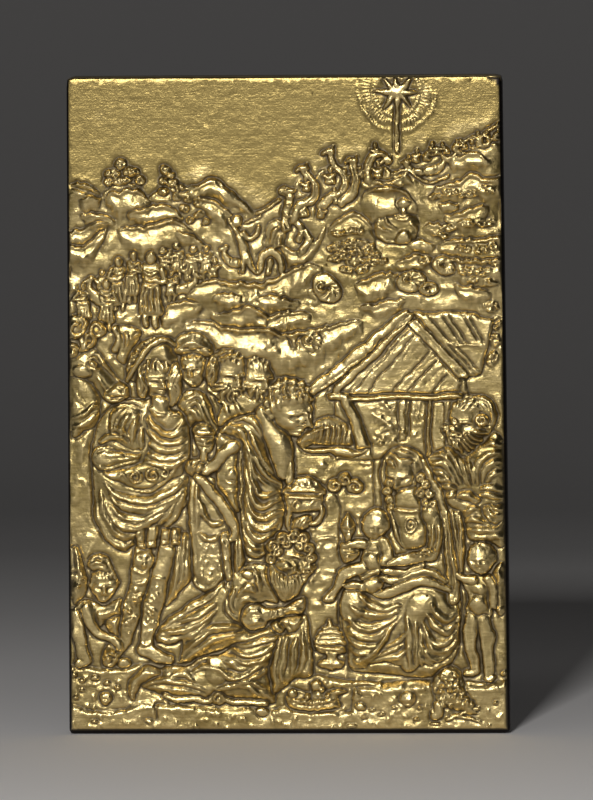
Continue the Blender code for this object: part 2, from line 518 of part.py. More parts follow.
def scrub(ground):
    """Bushes, ferns and a tree on the hills, and the low growth between them."""
    tree = blank()
    for n, (u, v, ru, rv) in enumerate([(8.9, 98.2, 1.0, 1.0), (7.5, 96.5, 1.4, 0.8), (10.8, 96.8, 1.5,
            0.9), (12.2, 95.3, 1.0, 0.8), (8.8, 95.4, 1.9, 0.7), (6.8, 95.2, 0.7, 0.7), (16.8, 97.3, 0.9,
            0.9), (17.7, 96.4, 0.8, 0.6), (16.4, 95.4, 0.8, 0.9), (18, 94.9, 1.1, 0.8), (19.4, 93.9, 0.9,
            0.6), (16.4, 93.4, 1.0, 0.8), (18.8, 92.6, 0.9, 0.8), (20.8, 92.2, 0.8, 0.7), (22.4, 91.4,
            0.8, 0.7), (20, 90.6, 0.9, 0.8), (22.4, 89.4, 0.9, 0.7), (23.6, 88.2, 0.8, 0.6), (20.9, 88.6,
            0.7, 0.6), (37.6, 93.6, 1.2, 1.0)]):
        leafy(tree, u, v, ru, rv, 1.1, 20 + n)
    ground = lay(ground, tree, 0.2)
    for n, (u, v, ru, rv) in enumerate([(46.6, 83.6, 1.4, 0.9), (49, 84.4, 1.5, 0.8), (51.4, 84, 1.5,
            0.8), (48, 82.4, 1.5, 0.8), (50.4, 82.6, 1.4, 0.7), (52.8, 82.6, 1.3, 0.8), (49.6, 81.2, 1.3,
            0.6), (46.4, 81.8, 1.2, 0.7), (52.2, 80.9, 1.2, 0.6), (54.2, 81.2, 0.9, 0.6), (48.2, 80, 1.0,
            0.5), (51, 79.8, 1.0, 0.5), (48.6, 86.6, 1.1, 0.6), (50.4, 86.4, 0.9, 0.5), (46.6, 86.2, 0.9,
            0.5), (63.8, 92.6, 1.0, 0.5), (66.4, 93.4, 1.3, 0.6), (69.6, 92.8, 1.3, 0.6), (72.6, 93.4,
            1.3, 0.6), (66, 87, 1.2, 0.6), (69.2, 87.8, 1.3, 0.6), (72.4, 88, 1.3, 0.7), (64.6, 85.6, 1.0,
            0.6), (68.6, 83.4, 1.2, 0.6), (71.6, 83.2, 1.3, 0.7), (73.8, 84, 0.9, 0.6), (69, 79.6, 1.2,
            0.7), (72.2, 79.4, 1.3, 0.7), (74, 81, 0.8, 0.6), (70, 78, 1.0, 0.5), (73.4, 77.4, 1.0, 0.6),
            (61.6, 81.2, 0.8, 0.5), (73.2, 73.4, 1.2, 0.8), (74, 70.4, 0.9, 1.0), (73.6, 67.4, 0.9, 1.1),
            (73.4, 64.2, 0.9, 1.1)]):
        clump = blank()
        leafy(clump, u, v, 1.2 * ru, 1.2 * rv, 0.28, 60 + n)
        ground = np.maximum(ground, np.where(clump > NOWHERE / 2, ground + clump, ground))
    for n, (u, v, ru, rv, turn) in enumerate([(44.7, 76.6, 2.9, 2.0, -50), (59.4, 77.6, 2.5, 1.9, 15),
            (65, 80.4, 2.3, 1.5, -20), (62.4, 76.4, 1.9, 1.1, 0), (42.1, 67.4, 1.9, 1.8, 0)]):
        round_bush = blank()
        blob(round_bush, u, v, ru, rv, 1.9, 0.8, turn)
        for k in range(5):
            a = math.radians(turn + 70 - 35 * k)
        ground = lay(ground, round_bush, 0.3)
    return ground


def camels(ground):
    """Camels and riders coming over the crest, necks in S-curves, and a knot of riders beneath the star's beam."""
    for points, top in [([(39, 88.6), (40.4, 91), (42.6, 92.2), (43, 94.6), (41.6, 96.2), (41, 97)], 1.6),
            ([(44, 91), (45.6, 92.4), (47.6, 93.2), (48, 95.8), (46.2, 98), (45.4, 99.6)], 1.5), ([(47.6,
            91.6), (49.4, 93.4), (50, 95.8), (49.5, 98.2)], 1.4), ([(52.2, 95.2), (52, 97), (52.6, 98.8),
            (53.8, 99.8), (55, 99.6), (55.6, 98.2)], 1.4)]:
        layer = blank()
        rod(layer, [(u, v, 0.95 - 0.11 * i, top) for i, (u, v) in enumerate(points)], 0.7, top)
        pleats(layer, [[(u - 0.3, v) for u, v in points[1:]], [(u + 0.35, v) for u, v in points[1:]]],
                0.3, 0.25)
        u, v = points[-1]
        rod(layer, [(u + 0.3, v + 0.4, 0.5, top + 0.2), (u - 0.6, v + 0.5, 0.4, top + 0.2), (u - 1.2,
                v + 0.1, 0.28, top + 0.1)], 0.4, top)
        rod(layer, [(u + 0.3, v + 0.6, 0.2, top), (u + 0.5, v + 1.2, 0.12, top)], 0.2, top)
        ground = lay(ground, layer, 0.35)
    layer = blank()
    for n, (u, v, s) in enumerate([(41.4, 93.4, 1.3), (45.6, 94.6, 1.6), (46.6, 91.2, 1.3), (48.5, 94.8,
            1.2), (53.9, 95.6, 1.5), (54, 99.2, 1.2), (41, 88.8, 1.5), (43.8, 88.8, 1.2), (51, 95.6,
            1.0)]):
        passer(layer, u, v, s, 1.1, 70 + n)
    ground = lay(ground, layer, 0.3)
    layer = blank()
    for n, (u, v, s, side) in enumerate([(60, 96.6, 1.1, -1), (63.6, 96.8, 1.2, 1), (66.4, 98.6, 0.9, 1),
            (57.8, 95.8, 0.9, 1), (68.8, 99.6, 0.8, -1), (72.4, 101, 0.8, 1)]):
        steed(layer, u, v, s, 1.0, side)
    for n, (u, s) in enumerate([(58.9, 1.0), (60.5, 1.2), (62.3, 1.3), (64.1, 1.25), (65.8, 1.1), (67.4,
            0.9), (69, 0.9), (70.4, 0.8), (71.6, 1.2), (73.2, 0.9), (74.5, 1.2)]):
        passer(layer, u, 97.6 + 0.28 * (u - 58.9) + 0.3 * (n % 2), s, 1.2, 80 + n)
    for line in [[(67.2, 100.6), (70.2, 102.4), (72.8, 103)], [(72.4, 103.2), (74.9, 105)], [(56.6, 96.4),
            (58.6, 97), (60.4, 95.8), (63, 95), (66, 96)]]:
        rod(layer, line, 0.22, 1.1)
    ground = lay(ground, layer, 0.3)
    # cloaked rider on the dome of rock
    layer = blank()
    mass(layer, [(52.8, 87), (53.6, 89.2), (55.4, 89.2), (56.8, 90), (57.4, 92), (59, 92), (59.8, 90),
            (60.8, 88.2), (60.6, 86), (59.6, 84.6), (55.4, 84.4), (53.6, 85.2)], 1.3, 0.6, 0.8)
    blob(layer, 58.2, 91.2, 1.3, 0.9, 1.8)
    blob(layer, 58.3, 90.1, 0.7, 0.7, 1.7)
    mass(layer, [(56.6, 85.4), (57.4, 86.6), (58.6, 86.8), (59.6, 85.6), (59.2, 84.4), (57.2, 84.4)], 1.9,
            0.5, 0.5)
    return lay(ground, layer, 0.4)


def herald(ground):
    """Small standing man with raised arms, the beasts he leads and the tree stump beside him."""
    layer = blank()
    steed(layer, 28.6, 81, 1.4, 1.1, -1)
    rod(layer, [(33.1, 79.2, 0.4, 1.1), (33.5, 81.6, 0.6, 1.2), (34.9, 83, 0.7, 1.3), (36.5, 82, 0.6,
            1.2), (37, 79.4, 0.4, 1.1)], 0.6, 1.2)
    rod(layer, [(34.7, 79.2, 0.4, 1.0), (35, 81.4, 0.5, 1.1)], 0.4, 1.0)
    mass(layer, [(34, 84), (34.4, 87.4), (36, 88.6), (37.4, 87.4), (37.4, 84), (35.6, 83)], 0.7, 0.4, 1.2)
    pleats(layer, [[(35, 84), (35.4, 86.2), (36.8, 87.4)], [(36.4, 83.4), (36.6, 85.4), (37.6, 86.4)]],
            0.5, 0.35)
    blob(layer, 38.4, 92.6, 0.9, 0.8, 1.4)
    blob(layer, 38.4, 93.6, 1.2, 0.5, 1.5)
    rod(layer, [(38.2, 91.6, 0.9, 1.2), (38, 89.4, 1.0, 1.3), (37.6, 87, 0.9, 1.2)], 0.9, 1.3)
    rod(layer, [(38.8, 88.6, 0.6, 1.2), (40.4, 87, 0.6, 1.2), (40, 85, 0.6, 1.1)], 0.6, 1.2)
    for line in [[(37.2, 91.4), (38.2, 90.8), (39.2, 91.4)], [(37.2, 89.6), (38.4, 89), (39.4, 89.6)],
            [(36, 88.6), (37.4, 87), (37.2, 85.2)], [(38.6, 86.4), (39.6, 85.4), (41, 86.4)], [(38, 84.8),
            (38.8, 83.4), (40.6, 83)], [(35.2, 83.4), (36.8, 83.9), (38.2, 83)]]:
        fold(layer, line, 0.25, 0.4)
    rod(layer, [(40.6, 86.6, 0.6, 1.1), (41.6, 84.8, 0.7, 1.2), (40.6, 83, 0.6, 1.2)], 0.6, 1.1)
    rod(layer, [(32.6, 89.6), (34.4, 90.4), (36.4, 92)], 0.28, 1.0)
    ground = lay(ground, layer, 0.35)
    man = blank()
    rod(man, [(29.9, 85.6, 0.85, 1.6), (30.4, 83.4, 0.9, 1.6), (30.8, 81.8, 0.8, 1.6)], 0.85, 1.6)
    rod(man, [(30.6, 82.2, 0.6, 1.5), (30.4, 80.8, 0.45, 1.4), (30.2, 79.4, 0.35, 1.2)], 0.5, 1.5)
    rod(man, [(31, 82, 0.6, 1.4), (31.6, 80.4, 0.45, 1.3), (32.6, 79.3, 0.35, 1.1)], 0.5, 1.4)
    rod(man, [(30.4, 86.4, 0.42, 1.6), (31.4, 85.3, 0.38, 1.5), (32.4, 85.6, 0.36, 1.4), (33, 87.2, 0.3,
            1.3)], 0.4, 1.5)
    rod(man, [(29.4, 86.4, 0.42, 1.5), (28.6, 87.6, 0.36, 1.4), (28, 88.4, 0.3, 1.2)], 0.4, 1.4)
    blob(man, 29.4, 88.3, 0.95, 1.0, 1.9)
    rod(man, [(31, 88), (33.4, 89.2)], 0.2, 1.1)
    return lay(ground, man, 0.4)


def procession(ground):
    """Walkers and horses winding down the hillside at the left, a tall guide in a belted coat in front of them."""
    layer = blank()
    for n in range(11):
        passer(layer, 5.8 + 1.9 * n, 76.2 + 0.3 * n + 0.8 * math.sin(3 * n), 1.8, 0.8, 70 + n)
    ground = lay(ground, layer, 0.3)
    for people, top in [([(16.4, 77.4, 2.2, 6.4), (18.7, 78.4, 2.3, 6.2), (21.4, 77.9, 2.4, 6.0), (24,
            78.4, 2.2, 5.6)], 1.0), ([(10.9, 74.4, 2.3, 8.6), (8.6, 73, 2.6, 9.0), (17.6, 74.6, 2.0,
            5.0)], 1.2), ([(6.4, 69.6, 2.6, 8.6), (2.6, 70.4, 2.2, 7.4)], 1.4), ([(14.1, 70.2, 3.6,
            12.8)], 1.7)]:
        layer = blank()
        for n, (u, v, w, tall) in enumerate(people):
            walker(layer, u, v, w, tall, top, 1 - 2 * (n % 2))
        ground = lay(ground, layer, 0.35)
    layer = blank()
    steed(layer, 5.8, 74.6, 1.9, 1.4, -1)
    steed(layer, 20.4, 76.4, 1.4, 1.2, 1)
    pleats(layer, [[(7.2, 80.6), (8.6, 81.4), (10, 81)], [(7, 79.4), (8.6, 80.2), (10.2, 79.8)], [(9,
            82.6), (10.6, 82.2), (12, 83.2)]], 0.4, 0.4)
    ground = lay(ground, layer, 0.35)
    layer = blank()
    mass(layer, [(8.4, 70.2), (8.6, 67.6), (8.2, 65), (9.6, 63.8), (11.4, 66.6), (12.4, 69), (10.6, 70)],
            1.6, 0.6, 0.9)
    pleats(layer, [[(8.6, 70), (9, 67.4), (8.4, 65)], [(9.6, 69.6), (10, 68), (9.4, 66)], [(11, 69.6),
            (13, 71), (15.6, 72.4)], [(10.4, 67.6), (12, 69), (14.4, 70.6)]], 0.5, 0.45)
    rod(layer, [(7.9, 66.2, 0.6, 1.8), (8.6, 68, 0.65, 1.9), (8, 70, 0.5, 1.8)], 0.6, 1.8)
    return lay(ground, layer, 0.35)


def foreground(ground):
    """Stony ground in two steps with stones and pebbles on it."""
    low = blank()
    mass(low, [(-3, 11.4), (4, 10.6), (9, 10.8), (12, 11.6), (20, 10), (40, 9.6), (48, 8.6), (52, 8.3),
            (58, 8.2), (62, 8.6), (68, 8.4), (71, 8.2), (78, 8.4), (78, -4), (-3, -4)], 1.0, 0.6, 0.6,
            smooth=False)
    ground = lay(ground, low, 0.1)
    low = blank()
    mass(low, [(-3, 4.8), (1, 4.6), (3, 3.6), (9, 4), (10.4, 4.4), (14, 4.9), (18, 4.6), (24, 4.1), (30,
            4), (34, 4), (37, 4.1), (42, 3.6), (46, 3.2), (48, 3.4), (48.4, 7.6), (52, 7.7), (55, 8), (58,
            7.9), (62, 8.3), (68, 8.1), (72, 7.8), (78, 8.2), (78, -4), (-3, -4)], 1.7, 0.9, 0.75,
            smooth=False)
    ground = lay(ground, low, 0.1)
    for line in [[(46.6, 8.1), (50, 8.2), (53.6, 7.6)], [(55.4, 7.9), (58, 8), (61.6, 8.2)], [(67.8, 8.2),
            (70, 8.1), (73.8, 7.8)], [(10.4, 4.2), (12.6, 4.4), (14.4, 4.7)], [(20.6, 4), (26, 3.9), (31,
            3.8), (35, 4)], [(43.6, 3), (45, 2.8), (47.4, 3.6)]]:
        fold(ground, line, 0.4, 0.35, 0.4)
    stones = blank()
    for u, v, w, h, top in [(5.9, 5.4, 1.0, 1.0, 2.6), (32.8, 3.1, 1.1, 0.8, 2.3), (49.8, 4, 0.9, 0.7,
            2.4), (57.9, 5.4, 1.5, 1.3, 2.6), (62.9, 3.4, 0.9, 0.6, 2.4), (73.1, 4.5, 0.4, 0.3, 2.2),
            (59.4, 1.8, 0.6, 0.3, 2.1), (50.6, 2.2, 0.6, 0.3, 2.1), (53.4, 2.7, 0.5, 0.3, 2.1), (51.8,
            3.4, 0.5, 0.3, 2.1), (3.9, 1.5, 0.6, 0.4, 2.1), (13.4, 1.5, 0.9, 0.4, 2.1), (4.2, 8.9, 0.7,
            0.5, 1.6), (1.8, 8.3, 0.5, 0.35, 1.5), (6, 8.1, 0.5, 0.5, 1.5), (7.8, 7.3, 0.5, 0.4, 1.5),
            (1.8, 6.8, 0.5, 0.3, 1.6), (0.8, 9.3, 0.5, 0.4, 1.6), (0.7, 5.4, 0.5, 0.3, 1.6), (62.8, 1.3,
            0.8, 0.3, 2.1), (72.2, 0.8, 0.4, 0.3, 2.0), (74.4, 9.2, 0.6, 0.4, 1.7), (48.6, 0.6, 0.9, 0.3,
            2.0), (9.2, 11.6, 1.2, 0.9, 1.7), (60.4, 4, 0.5, 0.25, 2.0), (55.6, 3.8, 0.5, 0.3, 2.0)]:
        blob(stones, u, v, w, h, top, min(w, h) * 0.7)
    fold(stones, [(56.6, 4.9), (57.9, 4.6), (59.2, 4.9)], 0.25, -0.3)
    ground = lay(ground, stones, 0.25, 0.2)
    return ground


def hut(ground):
    """Thatched shed: stepped left slope, boarded gable, board bundle and ridge at the right, tie beam and posts."""
    wall = blank()
    mass(wall, [(46, 59), (58.8, 72.2), (60.2, 71.6), (69, 60.4), (69, 47), (46, 47)], 0.95, 0.3, 0.6,
            smooth=False)
    ground = np.maximum(ground, np.where(wall > NOWHERE / 2, wall, ground))
    right = blank()
    mass(right, [(59.6, 72.3), (66, 72.4), (70, 72), (73.6, 71), (72.6, 66.4), (71.4, 61.6), (68.6,
            60.6)], 1.5, 0.4, 0.5, smooth=False)
    ground = lay(ground, right, 0.35)
    gable = blank()
    mass(gable, [(48.2, 58.4), (59.6, 70.6), (68.2, 60.2), (67.6, 58.2)], 1.35, 0.3, 0.4, smooth=False)
    rng = np.random.default_rng(41)
    for _ in range(60):
        u0, v0, s = 49 + 17 * rng.random(), 58.6 + 9 * rng.random(), 0.8 + 1.6 * rng.random()
    ground = lay(ground, gable, 0.3)
    bundle = blank()
    for shift in (-0.55, 0.0, 0.55):
        rod(bundle, [(59.8 + shift, 70.9, 0.35, 2.0), (64 + shift, 66.2, 0.4, 2.1), (68.4 + shift, 61.2,
                0.42, 2.1)], 0.4, 2.1)
    ground = lay(ground, bundle, 0.35)
    thatch = blank()
    steps = [((58.6, 72.2), (54.4, 68.6)), ((56, 70.2), (51.8, 66.4)), ((53, 67.6), (47.8, 62.9)), ((49.6,
            64.6), (45, 60.6)), ((47, 62.2), (42.2, 58.8))]
    for i, (a, b) in enumerate(steps):
        mid = ((a[0] + b[0]) / 2, (a[1] + b[1]) / 2)
        rod(thatch, [(a[0], a[1], 0.45, 1.7), (mid[0] - 0.1, mid[1] + 0.1, 1.0, 1.9), (b[0], b[1], 0.75,
                2.0)], 0.9, 1.8)
    rod(thatch, [(59.3, 71.7, 0.5, 2.1), (53.6, 66, 0.6, 2.1), (47.4, 60.2, 0.65, 2.1), (46.2, 58.8, 0.6,
            2.0)], 0.55, 2.0)
    for i in range(26):
        t = i / 25
        u, v = 58.4 - 14.6 * t, 71.2 - 11.4 * t
    ground = lay(ground, thatch, 0.4)
    beams = blank()
    mass(beams, [(44.6, 58.3), (46.4, 58.8), (49, 58.1), (68.2, 58.2), (68.2, 57.2), (49, 57.1), (45,
            57.4)], 1.9, 0.5, 0.35, smooth=False)
    mass(beams, [(46.2, 58.8), (48.3, 58.7), (52.3, 49), (49.8, 48.7)], 2.0, 0.5, 0.5, smooth=False)
    mass(beams, [(56.9, 57.3), (58.4, 57.3), (58.4, 50), (56.9, 50)], 1.15, 0.3, 0.3, smooth=False)
    mass(beams, [(61.7, 57.6), (62.5, 57.6), (62.5, 47.2), (61.7, 47.2)], 1.6, 0.5, 0.35, smooth=False)
    mass(beams, [(62.5, 57.2), (65, 57), (65.2, 48.6), (62.8, 48.2)], 1.1, 0.3, 0.3, smooth=False)
    ground = lay(ground, beams, 0.4)
    for line in [[(59, 57.1), (60.2, 57), (61.2, 57)], [(52.6, 53.4), (54, 53.8), (55.4, 52.6)], [(53.6,
            51.6), (55, 52.2), (56.4, 51.4)], [(56.6, 51.2), (57.6, 51.6), (58.4, 51)], [(42.4, 32.9),
            (44, 33.1), (45.6, 33)]]:
        fold(ground, line, 0.3, 0.3, 0.4)
    return ground


def horse(ground):
    """Horse's head and curled mane at the left edge."""
    neck = blank()
    mass(neck, [(0, 63), (1.6, 62.4), (4.6, 60.2), (5.4, 58), (5.2, 55.6), (4.6, 53), (2.6, 52), (0,
            51.6)], 1.3, 0.7, 1.2)
    pleats(neck, [[(0, 54.2), (2.4, 54.8), (5, 57.2)], [(0, 52.6), (3, 53.2), (5.2, 55.4)]], 0.7, 0.5)
    ground = lay(ground, neck, 0.4)
    skull = blank()
    mass(skull, [(-0.4, 64), (0.8, 66), (3, 66.6), (5, 65.6), (6.8, 63), (8.4, 60.8), (9.9, 59.6), (10.1,
            58), (9, 56.8), (7.2, 56.6), (5.8, 57.6), (4.6, 59.4), (3.2, 60.6), (1, 61.2), (-0.4, 61.6)],
            2.5, 1.2, 2.4)
    blob(skull, 2.3, 62.5, 1.7, 1.4, 2.75, 1.2)
    mass(skull, [(6.2, 59.2), (7.6, 60.2), (9.4, 60), (10, 58.4), (9, 56.9), (7.2, 56.8), (6, 57.6)], 2.8,
            0.9, 1.0)
    blob(skull, 4.3, 63.6, 0.8, 0.5, 3.3, turn=-30)
    pleats(skull, [[(3, 64), (4.4, 64.7), (5.7, 63.6)], [(3.2, 63), (4.3, 62.7), (5.5, 62.7)], [(5, 65.4),
            (6.6, 62.8), (8.6, 60.4)], [(4.6, 61.6), (5.6, 60.2), (6.4, 58.8)], [(8.2, 59.8), (9.3, 59.4),
            (9.3, 58.3), (8.4, 58.4)], [(6.2, 57.4), (7.6, 56.9), (9.2, 57.1)]], 0.32, 0.5, 0.3)
    fold(skull, [(6.2, 58.3), (7.6, 57.6), (9.4, 57.9)], 0.23, -0.45)
    mass(skull, [(1.6, 66), (2.2, 68), (3.2, 67.8), (3.2, 66)], 3.0, 0.5, 0.5)
    ground = lay(ground, skull, 0.5)
    mane = blank()
    for u, v, s, hand in [(0.2, 66, 1.3, 1), (1.2, 70.2, 1.9, -1), (3.2, 67.9, 1.5, 1), (4.9, 69.4, 1.4,
            -1)]:
        blob(mane, u, v, s * 1.1, s * 1.1, 2.5)
    pleats(mane, [[(6.6, 66.4), (7.2, 68.4), (7, 70.6)], [(8, 66.6), (8.3, 68.6), (7.8, 70.6)]], 0.6, 0.5)
    return lay(ground, mane, 0.4)


def two_beards(ground):
    """Two bearded men looking over the central king's shoulder."""
    back = blank()
    mass(back, [(24, 59.4), (26.4, 56.6), (25.6, 53), (28, 53.6), (31, 55), (34, 54.6), (34.4, 57.4),
            (30.4, 59)], 1.6, 0.5, 0.9)
    pleats(back, [[(24.6, 58), (26.4, 56.8), (28, 54.2)], [(28.4, 57.4), (29.6, 55.4), (31, 54.8)]], 0.6,
            0.4)
    ground = lay(ground, back, 0.3)
    face = blank()
    head(face, 32.3, 61.0, 7.6, 2.9, yaw=24, pitch=8, hair="short", beard=0.35, seed=5, broad=0.94)
    pleats(face, [[(30.2, 63.6), (31.6, 65.4), (33.4, 65.5), (35, 64.2)], [(30.6, 62.8), (32, 64.5),
            (33.6, 64.6), (34.8, 63.4)]], 0.5, 0.5, 0.3)
    ground = lay(ground, face, 0.4)
    face = blank()
    head(face, 27.3, 61.9, 8.0, 3.3, yaw=28, pitch=10, roll=-6, hair="curly", beard=0.42, seed=7)
    blob(face, 24.9, 62.4, 1.2, 2.7, 3.2)
    pleats(face, [[(26, 65.4), (24.2, 64.6), (24.6, 62.8), (23.8, 61.2)], [(26.3, 64.4), (25, 63.4),
            (25.3, 61.6), (24.6, 60)], [(24.6, 65), (26.4, 66.8), (29, 66.6), (30.7, 65)], [(25.2, 64.2),
            (27, 65.9), (29.2, 65.7), (30.6, 64.2)], [(26.4, 64), (28, 65), (30, 64.5)]], 0.5, 0.6, 0.3)
    return lay(ground, face, 0.45)


def cap_man(ground):
    """Man in a pleated cap behind the young king, holding up a lidded goblet."""
    body = blank()
    mass(body, [(18.6, 57.6), (20.8, 59), (23.2, 58.6), (24.6, 56.4), (25.7, 52.4), (24.8, 51.2), (22.6,
            52.8), (20.8, 52.4), (20, 50), (19.6, 54)], 2.4, 0.9, 1.2)
    pleats(body, [[(20, 57.2), (22.4, 58.4), (23.6, 56.4), (25.2, 52.6)], [(20.2, 55.6), (21.8, 57),
            (22.8, 55.2), (24.6, 52)], [(20, 54.6), (21.2, 55.6), (22.2, 54.2), (23, 53)]], 0.75, 0.6)
    ground = lay(ground, body, 0.45)
    cup = blank()
    mass(cup, [(21.6, 51.6), (22, 49.2), (22.8, 48.2), (23.9, 48.2), (24.6, 49.4), (24.9, 51.6)], 3.0,
            0.9, 1.2)
    mass(cup, [(21.3, 52.4), (22.6, 53.4), (24.2, 53.3), (25.1, 52.2), (24.8, 51.2), (21.7, 51.3)], 3.2,
            0.7, 0.9)
    rod(cup, [(23, 48.4), (23, 46.6)], 0.55, 2.8)
    pleats(cup, [[(21.4, 51.8), (23.2, 51.5), (25, 51.8)]], 0.35, 0.35, 0.1)
    ground = lay(ground, cup, 0.4)
    hand = blank()
    mass(hand, [(19.7, 45.4), (20.2, 46.7), (22, 47), (24, 46.7), (24.3, 45.2), (23, 44.1), (21, 44.2)],
            3.1, 0.8, 0.9)
    pleats(hand, [[(20.2, 45), (21.4, 46.7)], [(21.2, 44.6), (22.3, 46.5)], [(22.2, 44.4), (23.2, 46.4)],
            [(23, 44.4), (24, 45.8)]], 0.42, 0.35)
    ground = lay(ground, hand, 0.4)
    face = blank()
    head(face, 21.4, 62.6, 6.0, 3.2, yaw=-8, pitch=4, hair="short", seed=1)
    pleats(face, [[(19, 62.8), (19.6, 61), (21, 60), (22.8, 60.2), (23.6, 61.6)]], 0.4, 0.35)
    ground = lay(ground, face, 0.4)
    cap = blank()
    mass(cap, [(17.8, 65.6), (18.6, 67.9), (20.6, 69), (22.8, 68.9), (24.5, 67.4), (25.2, 65.2), (23.9,
            64.8), (21.6, 65.4), (19.4, 65)], 3.1, 1.3, 1.8)
    for i in range(19):
        a = math.radians(8 + i * 9)
    return lay(ground, cap, 0.4)


